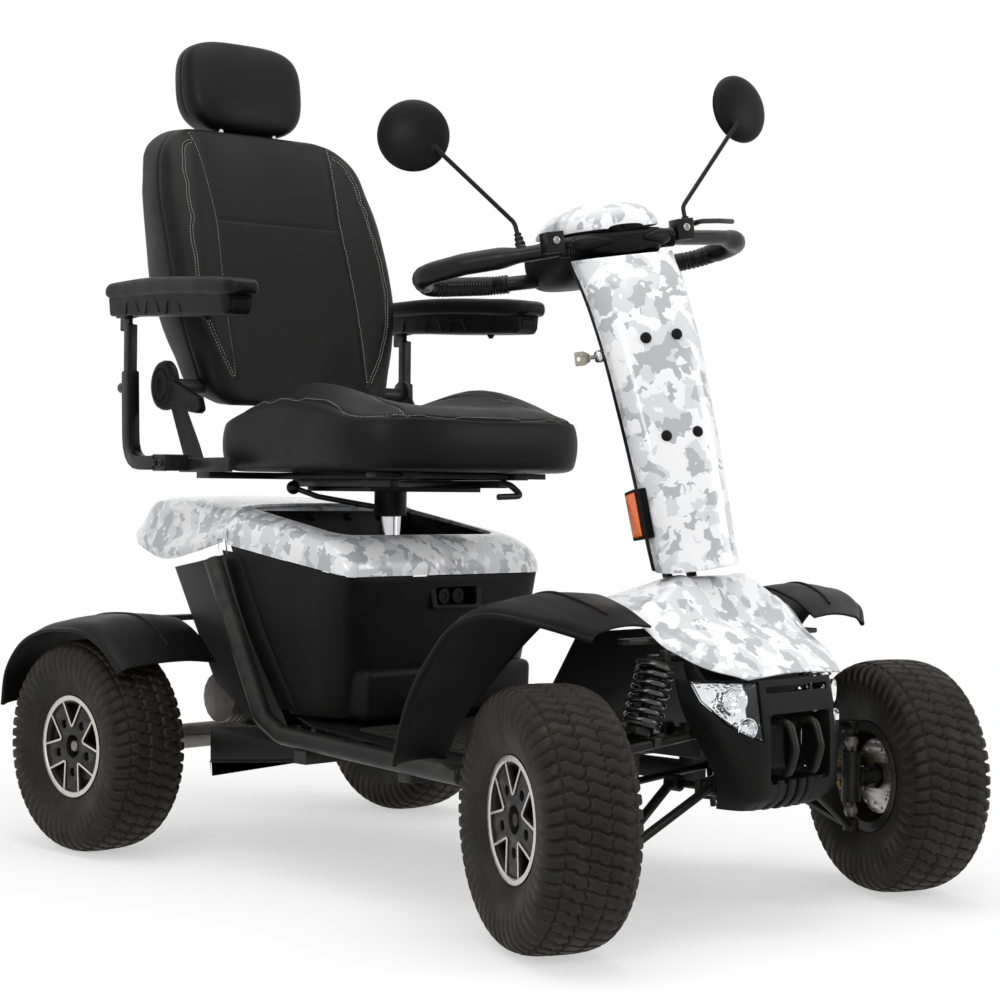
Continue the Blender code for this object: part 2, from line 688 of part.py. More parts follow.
def deck_cover():
    """White deck over the box: sloped top with a sunken well that the seat post comes through."""
    def ring(z_front, z_rear, x_front, x_rear, half, corner):
        right = [
            (x_front, 0.0, z_front),
            (x_front, half - corner, z_front),
            (x_front - corner * 0.5, half, z_front + (z_rear - z_front) * 0.1),
            (x_rear, half, z_rear),
            (x_rear, half * 0.5, z_rear),
            (x_rear, 0.0, z_rear),
        ]
        return right[:-1] + [right[-1]] + [(x, -y, z) for x, y, z in reversed(right[1:-1])]

    outside = [
        ring(0.5105, 0.5600, -0.0540, -0.4000, 0.2400, 0.020),
        ring(0.5300, 0.5780, -0.0560, -0.4000, 0.2410, 0.022),
        ring(0.5600, 0.6080, -0.0780, -0.4000, 0.2320, 0.030),
        ring(0.5780, 0.6260, -0.1150, -0.4000, 0.2050, 0.030),
    ]
    well_rim = ring(0.5790, 0.6240, -0.1350, -0.3850, 0.1700, 0.020)
    well_floor = [
        ring(0.5600, 0.6000, -0.1450, -0.3800, 0.1600, 0.020),
        ring(0.5440, 0.5560, -0.1500, -0.3750, 0.1550, 0.020),
        ring(0.5430, 0.5430, -0.1750, -0.2600, 0.0500, 0.020),
    ]
    rings = outside + [well_rim] + well_floor
    count = len(rings[0])
    points = [p for r in rings for p in r]
    faces = [
        (a * count + i, a * count + (i + 1) % count, (a + 1) * count + (i + 1) % count, (a + 1) * count + i)
        for a in range(len(rings) - 1)
        for i in range(count)
    ]
    mesh = bpy.data.meshes.new("deck")
    mesh.from_pydata(points, [], faces)
    obj = helper(mesh)
    modifier(obj, "SOLIDIFY", thickness=0.0035, offset=-1.0, use_even_offset=True)
    return as_mesh(obj)


def tail_cover():
    """White tail: a rounded hump behind the deck whose lower lip sweeps down beside the rear panels."""
    rows = []
    for x, top, half, lip, lip_half in (
        (-0.752, 0.585, 0.150, 0.560, 0.165),
        (-0.738, 0.618, 0.170, 0.556, 0.190),
        (-0.690, 0.642, 0.190, 0.546, 0.214),
        (-0.600, 0.646, 0.200, 0.526, 0.224),
        (-0.500, 0.640, 0.208, 0.540, 0.236),
        (-0.4008, 0.628, 0.214, 0.562, 0.243),
    ):
        rows.append(
            [
                (x, 0.0, top),
                (x, half * 0.6, top - 0.002),
                (x, half - 0.012, top - 0.010),
                (x, half, top - 0.030),
                (x, half + 0.006, (top + lip) / 2),
                (x, lip_half, lip + 0.014),
                (x, lip_half - 0.002, lip),
            ]
        )
    return sheet(rows, 0.0035, mirrored=True, inward=1.0)


def rear_panels():
    """Raked panels that close the body behind the side tubes, and the tray that hangs between them."""
    outline = [
        (-0.575, 0.512), (-0.500, 0.5245), (-0.4200, 0.5400),
        (-0.232, 0.232), (-0.300, 0.224), (-0.447, 0.305),
    ]
    right = plate(outline, 0.0035, placed=upright(-0.2165))
    rear_low, front_low = (-0.484, 0.154), (-0.224, 0.180)
    slope = math.atan2(front_low[1] - rear_low[1], front_low[0] - rear_low[0])
    length = math.hypot(front_low[0] - rear_low[0], front_low[1] - rear_low[1])
    centre = ((rear_low[0] + front_low[0]) / 2, 0.0, (rear_low[1] + front_low[1]) / 2 + 0.0018)
    parts_of_tray = [block((length, 2 * TRAY_HALF_WIDTH, 0.0035), centre, tilt=-slope)]
    wall = [rear_low, front_low, (-0.224, 0.244), (-0.485, 0.221)]
    for s in (-1, 1):
        parts_of_tray.append(plate(wall, 0.0035, placed=upright(s * (TRAY_HALF_WIDTH - 0.0018))))
        parts_of_tray.append(block((0.050, 0.022, 0.006), (-0.262, s * (TRAY_HALF_WIDTH + 0.007), 0.2355)))
    return worked(right, union=[other_side(right), *parts_of_tray])


def battery(s):
    """One of two sealed batteries either side of the seat post's socket, with its terminals."""
    case = block((0.240, 0.155, 0.190), (-0.2450, s * 0.1180, 0.3720), bevel=0.006)
    terminals = [rod((x, s * 0.150, 0.466), (x, s * 0.150, 0.478), 0.007, 8) for x in (-0.330, -0.160)]
    return worked(case, union=terminals)


def transaxle():
    """Motor, gearbox and axle tubes across the rear, with a spindle through each rear wheel's hub."""
    axis_z = TYRE_RADIUS
    wheel_y = REAR_TRACK / 2
    housing = rod((rear_axle, -0.055, axis_z), (rear_axle, 0.055, axis_z), 0.072, 16)
    tubes = rod((rear_axle, -wheel_y + 0.062, axis_z), (rear_axle, wheel_y - 0.062, axis_z), 0.024, 12)
    shaft_end = wheel_y + RIM_OUTER - 0.006
    shafts = rod((rear_axle, -shaft_end, axis_z), (rear_axle, shaft_end, axis_z), SPINDLE_RADIUS, 12)
    motor_x, motor_z = rear_axle + 0.060, axis_z + 0.075
    motor = rod((motor_x, 0.075, motor_z), (motor_x, -0.150, motor_z), 0.048, 16)
    neck = block((0.070, 0.080, 0.070), (rear_axle + 0.040, 0.0, axis_z + 0.045))
    rear = RAIL_ENDS[0] - GAP
    foot = block((0.060, 0.190, 0.022), (rear - 0.030, 0.0, RAIL_Z))
    return worked(housing, union=[tubes, shafts, neck, motor, foot])


def hood():
    """White nose: flat top panel between two ridges, falling steeply and then gently to the front edge."""
    rows = []
    for x, ridge_z, ridge_y, shoulder, side, hem in (
        (0.392, 0.487, 0.070, (0.125, 0.480), (0.172, 0.462), (0.178, 0.448)),
        (0.455, 0.507, 0.072, (0.132, 0.500), (0.192, 0.478), (0.198, 0.455)),
        (0.538, 0.527, 0.075, (0.130, 0.505), (0.188, 0.476), (0.194, 0.466)),
        (0.598, 0.458, 0.078, (0.138, 0.450), (0.172, 0.436), (0.178, 0.428)),
        (0.655, 0.426, 0.078, (0.130, 0.416), (0.152, 0.407), (0.156, 0.400)),
        (0.704, 0.388, 0.060, (0.096, 0.386), (0.110, 0.385), (0.112, 0.3845)),
    ):
        rows.append([(x, 0.0, ridge_z + 0.002), (x, ridge_y, ridge_z), (x, *shoulder), (x, *side), (x, *hem)])
    shell = sheet(rows, 0.0035, mirrored=True, inward=1.0)
    opening = rod(on_steering_axis(0.440), on_steering_axis(0.640), 0.058, 20)
    return worked(shell, cut=[opening])


def headlight_body(grow=0.0):
    """One wrap-round lamp as a closed lens body on the right corner; grown, it is the hole for itself."""
    front = [
        (0.698, -0.088, 0.3780),
        (0.712, -0.088, 0.2900),
        (0.680, -0.136, 0.3180),
        (0.650, -0.157, 0.3500),
        (0.634, -0.162, 0.3780),
    ]
    back = [
        (0.668, -0.082, 0.3780),
        (0.680, -0.082, 0.2960),
        (0.652, -0.122, 0.3220),
        (0.624, -0.141, 0.3510),
        (0.612, -0.144, 0.3780),
    ]
    if not grow:
        return loft([back, front])
    middle = Vector(np.mean(front, axis=0))
    front = [Vector(p) + (Vector(p) - middle).normalized() * grow for p in front]
    back = [Vector(p) + (Vector(p) - middle).normalized() * grow - Vector((grow, 0.0, 0.0)) for p in back]
    beyond = [p + Vector((0.030, -0.012, 0.0)) for p in front]
    return loft([back, front, beyond])


def bumper():
    """Black front bumper: a curved shell with cut-outs for the lamps and a closed bay for the tow loops."""
    rows = []
    for z, nose, near, far, corner in (
        (0.3810, 0.704, (0.701, 0.082), (0.65, 0.15), (0.606, 0.168)),
        (0.3400, 0.711, (0.708, 0.083), (0.662, 0.15), (0.618, 0.166)),
        (0.2850, 0.716, (0.713, 0.083), (0.684, 0.134), (0.64, 0.15)),
        (0.2400, 0.716, (0.713, 0.083), (0.69, 0.118), (0.65, 0.128)),
        (0.2050, 0.71, (0.706, 0.081), (0.684, 0.108), (0.644, 0.114)),
        (0.1850, 0.686, (0.682, 0.071), (0.668, 0.096), (0.634, 0.102)),
    ):
        rows.append([(nose, 0.0, z), (near[0], near[1], z), (far[0], far[1], z), (corner[0], corner[1], z)])
    shell = sheet(rows, 0.004, mirrored=True, inward=1.0)
    wide, high = BAY_SIZE
    deep = BAY_FRONT - BAY_BACK
    bay = block((deep, wide, high), ((BAY_FRONT + BAY_BACK) / 2, 0.0, BAY_Z))
    recess_size = (0.080, wide - 2 * SHEET, high - 2 * SHEET)
    recess = block(recess_size, (BAY_BACK + SHEET + 0.040, 0.0, BAY_Z), bevel=0.008)
    slot = block((0.030, 0.150, 0.010), (0.704, 0.0, 0.366), bevel=0.002)
    lamps = [headlight_body(0.0012), other_side(headlight_body(0.0012))]
    belly_outline = [
        (0.634, -0.100), (0.666, -0.094), (0.684, -0.030),
        (0.684, 0.030), (0.666, 0.094), (0.634, 0.100),
    ]
    belly = plate(belly_outline, 0.004, placed=Matrix.Translation((0.0, 0.0, 0.1872)))
    hollow = worked(shell, union=[belly, bay], cut=[recess, slot, *lamps])
    return worked(hollow, union=tow_loops())


def tow_loops():
    """Two bent bars that stand out from the back of the bumper's bay."""
    loops = []
    root = BAY_BACK + SHEET / 2
    for s in (-1, 1):
        y = s * 0.031
        path = rounded(
            [(root, y, 0.316), (0.716, y, 0.316), (0.728, y, 0.277), (0.716, y, 0.238), (root, y, 0.238)],
            0.016,
            2,
        )
        loops.append(tube(path, 0.0058, 1))
    return loops


def front_fenders():
    """Arched mudguards that taper to the hood, joined by a brace that crosses under it."""
    front_rows = []
    for x, z, inner, outer, droop in (
        (0.272, 0.248, 0.318, 0.425, 0.006),
        (0.288, 0.300, 0.306, 0.430, 0.010),
        (0.318, 0.370, 0.262, 0.436, 0.016),
        (0.362, 0.440, 0.222, 0.438, 0.024),
        (0.418, 0.490, 0.206, 0.434, 0.028),
        (0.478, 0.508, 0.208, 0.424, 0.030),
        (0.535, 0.494, 0.206, 0.394, 0.026),
        (0.590, 0.464, 0.200, 0.330, 0.020),
    ):
        wide = outer - inner
        drop = Vector((0.35, 0.0, -1.0)) if x < 0.40 else Vector((0.0, 0.0, -1.0))
        crest = Vector((x, 0.0, z))
        front_rows.append(
            [
                tuple(crest + Vector((0.0, inner, 0.0)) + drop * 0.004),
                tuple(crest + Vector((0.0, inner + wide * 0.35, 0.0))),
                tuple(crest + Vector((0.0, inner + wide * 0.75, 0.0)) + drop * droop * 0.25),
                tuple(crest + Vector((0.0, outer, 0.0)) + drop * droop),
            ]
        )
    front = sheet(front_rows, SHEET, inward=1.0)
    brace = block((0.026, 0.460, 0.008), (0.5600, 0.0, 0.4360))
    ends = [block((0.008, 0.030, 0.0415), (0.5600, s * 0.2150, 0.45675)) for s in (-1, 1)]
    return worked(front, union=[other_side(front), brace, *ends])


def rear_fenders():
    """Arched mudguards over the rear tyres, joined by a brace that crosses under the tail."""
    rear_rows = []
    for x, z, droop in (
        (-0.795, 0.262, 0.010),
        (-0.782, 0.330, 0.016),
        (-0.735, 0.388, 0.022),
        (-0.655, 0.422, 0.026),
        (-0.560, 0.428, 0.026),
        (-0.475, 0.402, 0.022),
        (-0.415, 0.352, 0.016),
    ):
        inner, outer = 0.240, 0.448
        rear_rows.append(
            [
                (x, inner, z - 0.006),
                (x, inner + 0.070, z),
                (x, outer - 0.050, z - droop * 0.25),
                (x, outer, z - droop),
            ]
        )
    rear = sheet(rear_rows, SHEET, inward=1.0)
    brace = block((0.030, 0.520, 0.010), (-0.5600, 0.0, 0.4180))
    return worked(rear, union=[other_side(rear), brace])


# Front suspension
def spring_coil(s):
    """A coil-over unit on one side: damper tube and rod with collars inside one unbroken coil spring."""
    base = Vector((SPRING_BASE[0], s * SPRING_BASE[1], SPRING_BASE[2]))
    top = Vector((SPRING_TOP[0], s * SPRING_TOP[1], SPRING_TOP[2]))
    axis = (top - base).normalized()
    frame = axis.to_track_quat("Z", "Y").to_matrix()
    length = (top - base).length
    collar = 0.006
    rise_from, rise_to = collar * 0.6, length - collar * 0.6
    per_turn = 8
    count = int(SPRING_TURNS * per_turn) + 1
    path = []
    for step in range(count):
        t = step / (count - 1)
        angle = 2 * math.pi * SPRING_TURNS * t
        rise = rise_from + (rise_to - rise_from) * t
        local = Vector((SPRING_RADIUS * math.cos(angle), SPRING_RADIUS * math.sin(angle), rise))
        path.append(base + frame @ local)
    pitch = (rise_to - rise_from) / SPRING_TURNS
    least = round(least_gap(path, per_turn, SPRING_WIRE), 4)
    print("spring: least gap between curls, m:", least, "pitch", round(pitch, 4))
    coil = tube(path, SPRING_WIRE, 1)
    damper = rod(base + axis * (length * 0.40), top - axis * 0.0005, 0.014, 10)
    damper_rod = rod(base, base + axis * (length * 0.45), 0.007)
    collars = [
        rod(base, base + axis * collar, SPRING_RADIUS + 0.004, 14),
        rod(top - axis * collar, top, SPRING_RADIUS + 0.004, 14),
    ]
    return worked(damper, union=[damper_rod, *collars, coil])


def least_gap(path, per_turn, radius):
    """The least clear distance between a coil's curls, measured on its points."""
    points = np.array([tuple(p) for p in path])
    far = np.linalg.norm(points[:, None] - points[None, :], axis=2)
    apart = np.abs(np.subtract.outer(np.arange(len(points)), np.arange(len(points)))) >= per_turn // 2 + 2
    return float(far[apart].min()) - 2 * radius


def sleeve(x, y, z, length):
    """A bored pivot bush along X."""
    ring = [
        (PIVOT_PIN_RADIUS + 0.007, length / 2),
        (PIVOT_PIN_RADIUS + 0.007, -length / 2),
        (PIVOT_PIN_RADIUS + GAP, -length / 2),
        (PIVOT_PIN_RADIUS + GAP, length / 2),
    ]
    return turned(ring, 10, Matrix.Translation((x, y, z)) @ Matrix.Rotation(math.pi / 2, 4, "Y"))


def suspension_arm(s, inner, boss_z, boss_height, outer_y, away):
    """A welded A-arm: bored bushes on the frame's pins, two legs kept away from the ball, and a boss."""
    inner_y, inner_z = inner
    solids = []
    for x in ARM_PIVOT_X:
        shift = -0.006 if x == ARM_PIVOT_X[1] else 0.006
        solids.append(sleeve(x + shift, s * inner_y, inner_z, 0.024))
    legs = []
    end = Vector((front_axle, s * (outer_y - 0.004), boss_z + away))
    for x in ARM_PIVOT_X:
        shift = -0.006 if x == ARM_PIVOT_X[1] else 0.006
        start = Vector((x + shift, s * (inner_y + 0.0095), inner_z))
        legs.append(rod(start, end, ARM_TUBE * 0.72, 6))
    low, high = boss_z - boss_height / 2, boss_z + boss_height / 2
    boss = rod((front_axle, s * outer_y, low), (front_axle, s * outer_y, high), 0.0130, 12)
    return worked(boss, union=[legs[0], legs[1], *solids])


def lower_arm(s):
    """The lower A-arm, its boss just under the kingpin's lower ball."""
    top = LOWER_BALL_Z - BALL_RADIUS - GAP
    return suspension_arm(s, LOWER_PIVOT, top - 0.0095, 0.019, KINGPIN_SPREAD / 2, -0.0007)


def upper_arm(s):
    """The upper A-arm with the spring's seat; its boss clears the upper ball, where the loop is left open."""
    bottom = UPPER_BALL_Z + BALL_RADIUS + 0.0035
    arm = suspension_arm(s, UPPER_PIVOT, bottom + 0.0100, 0.020, KINGPIN_SPREAD / 2 - 0.004, 0.0007)
    base = Vector((SPRING_BASE[0], s * SPRING_BASE[1], SPRING_BASE[2]))
    top = Vector((SPRING_TOP[0], s * SPRING_TOP[1], SPRING_TOP[2]))
    axis = (top - base).normalized()
    seat = rod(base - axis * 0.013, base - axis * 0.0005, 0.021, 12)
    bridge = block((0.066, 0.018, 0.013), (0.5843, s * (SPRING_BASE[1] + 0.001), SPRING_BASE[2] - 0.0182))
    return worked(arm, union=[bridge, seat])


def kingpin(s):
    """A pin with a ball at each end that carries the steering knuckle."""
    y = s * KINGPIN_SPREAD / 2
    pin = rod((front_axle, y, LOWER_BALL_Z), (front_axle, y, UPPER_BALL_Z), KINGPIN_RADIUS, 12)
    balls = [ball((front_axle, y, z), BALL_RADIUS) for z in (LOWER_BALL_Z, UPPER_BALL_Z)]
    return worked(pin, union=balls)


def knuckle(s):
    """Steering knuckle: sleeve round the kingpin, wheel spindle, steering arm, brake bracket and caliper."""
    y = s * KINGPIN_SPREAD / 2
    low, high = LOWER_BALL_Z + 0.016, UPPER_BALL_Z - 0.016
    outer = KINGPIN_RADIUS + 0.008
    body = turned(
        [(outer, high), (outer, low), (KINGPIN_RADIUS + GAP, low), (KINGPIN_RADIUS + GAP, high)],
        14,
        Matrix.Translation((front_axle, y, 0.0)),
    )
    wheel_y = s * FRONT_TRACK / 2
    spindle = rod(
        (front_axle, y + s * 0.012, TYRE_RADIUS),
        (front_axle, wheel_y + s * (RIM_OUTER - 0.006), TYRE_RADIUS),
        SPINDLE_RADIUS,
        12,
    )
    shoulder_ends = (front_axle, y + s * 0.011, TYRE_RADIUS), (front_axle, wheel_y - s * 0.0350, TYRE_RADIUS)
    shoulder = rod(*shoulder_ends, 0.016, 12)
    tip = (front_axle - STEER_ARM[0], y - s * STEER_ARM[1], 0.1990)
    arm = bar((front_axle - 0.010, y - s * 0.002, 0.1990), tip, 0.012, 0.010)
    eye = rod((tip[0], tip[1], 0.194), (tip[0], tip[1], 0.204), 0.011, 12)
    bracket = block((0.080, 0.012, 0.030), (front_axle - 0.027, y + s * 0.0200, TYRE_RADIUS))
    caliper = block((0.020, 0.016, 0.044), (front_axle - 0.0560, y + s * 0.0325, TYRE_RADIUS), bevel=0.003)
    return worked(body, union=[spindle, shoulder, arm, eye, bracket, caliper])


def tie_rod(s):
    """A rod from the steering arm's eye to the pitman pin, in the standing pose's place."""
    y = s * KINGPIN_SPREAD / 2
    tip = Vector((front_axle - STEER_ARM[0], y - s * STEER_ARM[1], 0.0))
    height = 0.2045 + GAP if s < 0 else 0.1935 - GAP
    inner_z = 0.2290 if s < 0 else 0.1790
    centre = pitman_pin()
    # The knuckle is turned later, so the rod is laid from the turned tip and turned back with it
    turn = Matrix.Rotation(math.radians(WHEELS_NOW), 4, "Z")
    knuckle_home = Vector((front_axle, y, 0.0))
    tip_now = knuckle_home + turn @ (tip - knuckle_home)
    foot = Vector(STEER_FOOT)
    pin_now = foot + Matrix.Rotation(math.radians(TILLER_NOW), 4, RAKE_UP) @ (centre - foot)
    outer_end = Vector((tip_now.x, tip_now.y, height + math.copysign(0.006, -s)))
    inner_end = Vector((pin_now.x, pin_now.y, inner_z))
    ring_radius = 0.0155
    direction = (inner_end - outer_end).normalized()
    shaft = rod(outer_end, inner_end - direction * (ring_radius - 0.002), TIE_ROD_RADIUS, 10)
    low, high = sorted((height, height + math.copysign(0.012, -s)))
    outer_boss = rod((outer_end.x, outer_end.y, low), (outer_end.x, outer_end.y, high), 0.010, 12)
    ring = turned(
        [(ring_radius, 0.004), (ring_radius, -0.004), (0.0109, -0.004), (0.0109, 0.004)],
        14,
        Matrix.Translation(inner_end),
    )
    mesh = worked(outer_boss, union=[shaft, ring])
    mesh.transform(Matrix.Translation(knuckle_home) @ turn.inverted() @ Matrix.Translation(-knuckle_home))
    return mesh


def pitman_pin():
    """The point on the pitman arm's pin, before the tiller is turned."""
    rearward = Vector((-math.cos(STEER_RAKE), 0.0, -math.sin(STEER_RAKE)))
    return on_steering_axis(PITMAN_ROOT_Z) + rearward * PITMAN_LENGTH


# Seat
def cushion_body():
    """Box cushion with raised bolsters at its sides, a dished middle and drawn-in walls."""
    length = CUSHION_FRONT - CUSHION_REAR
    along_x, along_y = 9, 9
    middle = (CUSHION_FRONT + CUSHION_REAR) / 2
    def outline(u, v, inset=0.0):
        """Plan position: rounded rectangle from unit square coordinates."""
        power = 5.0
        scale = (abs(u) ** power + abs(v) ** power) ** (1 / power) or 1.0
        reach = max(abs(u), abs(v)) / scale
        return (
            middle + u * reach * (length / 2 - inset),
            v * reach * (CUSHION_HALF_WIDTH - inset),
        )
    bm = bmesh.new()
    bmesh.ops.create_cube(bm, size=2.0)
    bmesh.ops.subdivide_edges(bm, edges=bm.edges, cuts=6, use_grid_fill=True)
    for vert in bm.verts:
        u, v, w = vert.co
        edge = max(abs(u), abs(v))
        x, y = outline(u, v, 0.010 * (1 - abs(w)) + (0.006 if w < -0.9 else 0.0))
        bolster = math.exp(-((abs(v) - 0.72) / 0.26) ** 2) * math.exp(-((u + 0.05) / 0.62) ** 2)
        crown = BOLSTER_RISE * bolster + 0.012 * (1 - u * u) * (1 - v * v)
        roll = -0.030 * edge ** 8
        top = CUSHION_TOP + crown + roll - 0.004
        height = (w + 1) / 2
        vert.co = (x, y, SEAT_UNDERSIDE + (top - SEAT_UNDERSIDE) * height)
    mesh = bpy.data.meshes.new("cushion")
    bm.to_mesh(mesh)
    bm.free()
    return mesh


def back_centre(height):
    """The backrest's front face at a height, as x in side view."""
    heights = (0.800, 0.866, 1.060, 1.182, 1.300, 1.362, 1.390)
    faces = (-0.520, -0.537, -0.588, -0.625, -0.676, -0.708, -0.728)
    return float(np.interp(height, heights, faces))


def backrest_body():
    """Contoured backrest: wide at the middle, rounded shoulders, bolsters proud of a flat centre panel."""
    rings = []
    for z, half, thick, wing in (
        (0.815, 0.165, 0.070, 0.000),
        (0.835, 0.195, 0.105, 0.010),
        (0.900, 0.218, 0.130, 0.022),
        (0.980, 0.238, 0.142, 0.030),
        (1.060, 0.248, 0.145, 0.032),
        (1.160, 0.246, 0.142, 0.028),
        (1.260, 0.236, 0.132, 0.020),
        (1.340, 0.212, 0.112, 0.010),
        (1.366, 0.180, 0.088, 0.002),
        (1.377, 0.140, 0.056, 0.000),
    ):
        front = back_centre(z)
        lean = math.tan(math.radians(19.0))
        shape = [
            (0.00, 0.000, 0.0),
            (0.55, 0.000, 0.0),
            (0.78, wing, 0.0),
            (0.94, wing * 0.7, 0.0),
            (1.00, -0.030, 0.0),
            (0.985, -thick + 0.030, 0.0),
            (0.90, -thick + 0.006, 0.0),
            (0.50, -thick, 0.0),
            (0.00, -thick, 0.0),
        ]
        right = [(front + d, half * f, z + d * -lean * 0.35) for f, d, _ in shape]
        left = [(x, -y, zz) for x, y, zz in reversed(right[1:-1])]
        rings.append(right + left)
    reach = HINGE_PLATE_Y - 0.0035 - GAP
    axis_x, axis_z = RECLINE_AXIS
    hinge = rod((axis_x, -reach, axis_z), (axis_x, reach, axis_z), 0.014, 14)
    holes = [head_post(s, HEAD_POST_RADIUS + GAP, 0.010) for s in (-1, 1)]
    return worked(loft(rings), union=[hinge], cut=holes)


def head_post(s, radius, extra=0.0):
    """One of the headrest's two guide rods, or the hole for it."""
    low, high = Vector((-0.745, s * 0.06, 1.280)), Vector((-0.768, s * 0.06, 1.410))
    direction = (high - low).normalized()
    return rod(low - direction * extra, high + direction * extra, radius, 10)


def headrest_body():
    """Rounded headrest block, leaning back with the seat."""
    bm = bmesh.new()
    bmesh.ops.create_cube(bm, size=2.0)
    bmesh.ops.subdivide_edges(bm, edges=bm.edges, cuts=3, use_grid_fill=True)
    low, high = 1.3865, 1.5720
    for vert in bm.verts:
        u, v, w = vert.co
        power = 4.0
        size = (abs(u) ** power + abs(v) ** power + abs(w) ** power) ** (1 / power)
        squeeze = max(abs(u), abs(v), abs(w)) / size
        u, v, w = u * squeeze, v * squeeze, w * squeeze
        z = (low + high) / 2 + w * (high - low) / 2
        vert.co = (-0.790 - 0.10 * (z - low) + u * (0.058 - 0.006 * w), v * (0.137 - 0.010 * abs(w)), z)
    mesh = bpy.data.meshes.new("headrest")
    bm.to_mesh(mesh)
    bm.free()
    return worked(mesh, union=[head_post(s, HEAD_POST_RADIUS) for s in (-1, 1)])


def seat_frame():
    """Pan and rails under the cushion, cross tube to the arm brackets, two plates up to the hinge."""
    top = SEAT_UNDERSIDE - GAP
    rails = [block((0.440, 0.030, 0.012), (-0.190, s * 0.115, top - 0.006)) for s in (-1, 1)]
    front = block((0.030, 0.360, 0.010), (0.000, 0.0, top - 0.005))
    rear = block((0.050, 0.540, 0.012), (-0.430, 0.0, top - 0.006))
    solids = [front, rear, rails[1]]
    for s in (-1, 1):
        solids.append(block((0.190, 0.010, 0.026), (-0.422, s * 0.2690, ARM_TUBE_Z - 0.004)))
        outline = [(-0.600, 0.862), (-0.560, 0.866), (-0.462, 0.740), (-0.430, 0.690), (-0.500, 0.690)]
        solids.append(plate(outline, 0.006, placed=upright(s * HINGE_PLATE_Y)))
        axis_x, axis_z = RECLINE_AXIS
        inner, outer = s * (HINGE_PLATE_Y - 0.0035), s * (HINGE_PLATE_Y + 0.0035)
        solids.append(rod((axis_x, inner, axis_z), (axis_x, outer, axis_z), 0.030, 16))
    return worked(rails[0], union=solids)


def armrest_post(s):
    """A square tube from the seat's bracket back, round a bend and up, with the pad's hinge ear on top."""
    y = s * ARM_HALF_SPREAD
    path = rounded([(-0.520, y, ARM_TUBE_Z), (ARM_POST_X + 0.006, y, ARM_TUBE_Z), (ARM_POST_X, y, 0.880)], 0.055, 5)
    tubes = square_tube(path, ARM_TUBE_SIZE, y)
    upright_bar = block((0.020, 0.020, 0.105), (ARM_POST_X, y, 0.9175))
    ear = block((0.046, 0.008, 0.046), (ARM_PIVOT[0] + 0.004, y, ARM_PIVOT[1] - 0.010), bevel=0.003)
    pin = rod((ARM_PIVOT[0], y - 0.016, ARM_PIVOT[1]), (ARM_PIVOT[0], y + 0.016, ARM_PIVOT[1]), 0.005, 10)
    inner = s * (0.2740 + GAP)
    clamp = block((0.046, 0.050, 0.030), (-0.500, inner + s * 0.025, ARM_TUBE_Z))
    knob = rod((ARM_POST_X - 0.008, y, 0.850), (ARM_POST_X - 0.036, y, 0.850), 0.011, 10)
    return worked(tubes, union=[upright_bar, ear, pin, clamp, knob])


def square_tube(path, size, y):
    """A square bar along a path in an XZ plane."""
    rings = []
    for index, point in enumerate(path):
        before, after = path[max(index - 1, 0)], path[min(index + 1, len(path) - 1)]
        forward = (after - before).normalized()
        normal = Vector((-forward.z, 0.0, forward.x))
        across = Vector((0.0, size / 2, 0.0))
        up = normal * size / 2
        rings.append([point + up + across, point + up - across, point - up - across, point - up + across])
    return loft(rings)


def arm_pad(s):
    """A padded top on a moulded housing, hinged at its rear end."""
    y = s * ARM_HALF_SPREAD
    def ring(x, low, high, half):
        return [
            (x, y - half * 0.8, low), (x, y - half, (low + high) / 2), (x, y - half * 0.75, high),
            (x, y + half * 0.75, high), (x, y + half, (low + high) / 2), (x, y + half * 0.8, low),
        ]
    half = ARM_PAD_HALF_WIDTH
    top = [
        ring(ARM_PAD_REAR, 1.026, 1.040, half * 0.6),
        ring(ARM_PAD_REAR + 0.020, 1.022, 1.050, half * 0.92),
        ring(-0.450, 1.010, 1.044, half),
        ring(ARM_PAD_FRONT - 0.030, 0.992, 1.024, half * 0.95),
        ring(ARM_PAD_FRONT, 0.996, 1.014, half * 0.62),
    ]
    pad = loft(top)
    hull = [
        ring(-0.638, 0.990, 1.0250, half * 0.80),
        ring(-0.450, 0.972, 1.0150, half * 0.88),
        ring(ARM_PAD_FRONT - 0.040, 0.962, 0.9990, half * 0.80),
        ring(ARM_PAD_FRONT - 0.026, 0.966, 0.9980, half * 0.60),
    ]
    housing = loft(hull)
    forks = []
    for side in (-1, 1):
        heel = (ARM_PIVOT[0] - 0.012, ARM_PIVOT[1] - 0.010)
        outline = [heel, (-0.620, 0.985), (-0.620, 1.016), (-0.690, 1.019)]
        fork = plate(outline, 0.006, holes=[circle(0.0056, 10, ARM_PIVOT)], placed=upright(y + side * 0.0115))
        forks.append(fork)
    return worked(pad, union=[housing, *forks])


def recline_lever():
    """The round hinge cover with its release lever on the right side."""
    x, z = RECLINE_AXIS
    y = -0.2655 - GAP
    disc = rod((x, y, z), (x, y - 0.018, z), RECLINE_DISC_RADIUS, 24, RECLINE_DISC_RADIUS - 0.006)
    outline = [(x + 0.020, z + 0.014), (-0.432, 0.826), (-0.422, 0.802), (-0.436, 0.796), (x + 0.010, z - 0.040)]
    lever = plate(outline, 0.014, placed=upright(y - 0.009))
    return worked(disc, union=[lever])


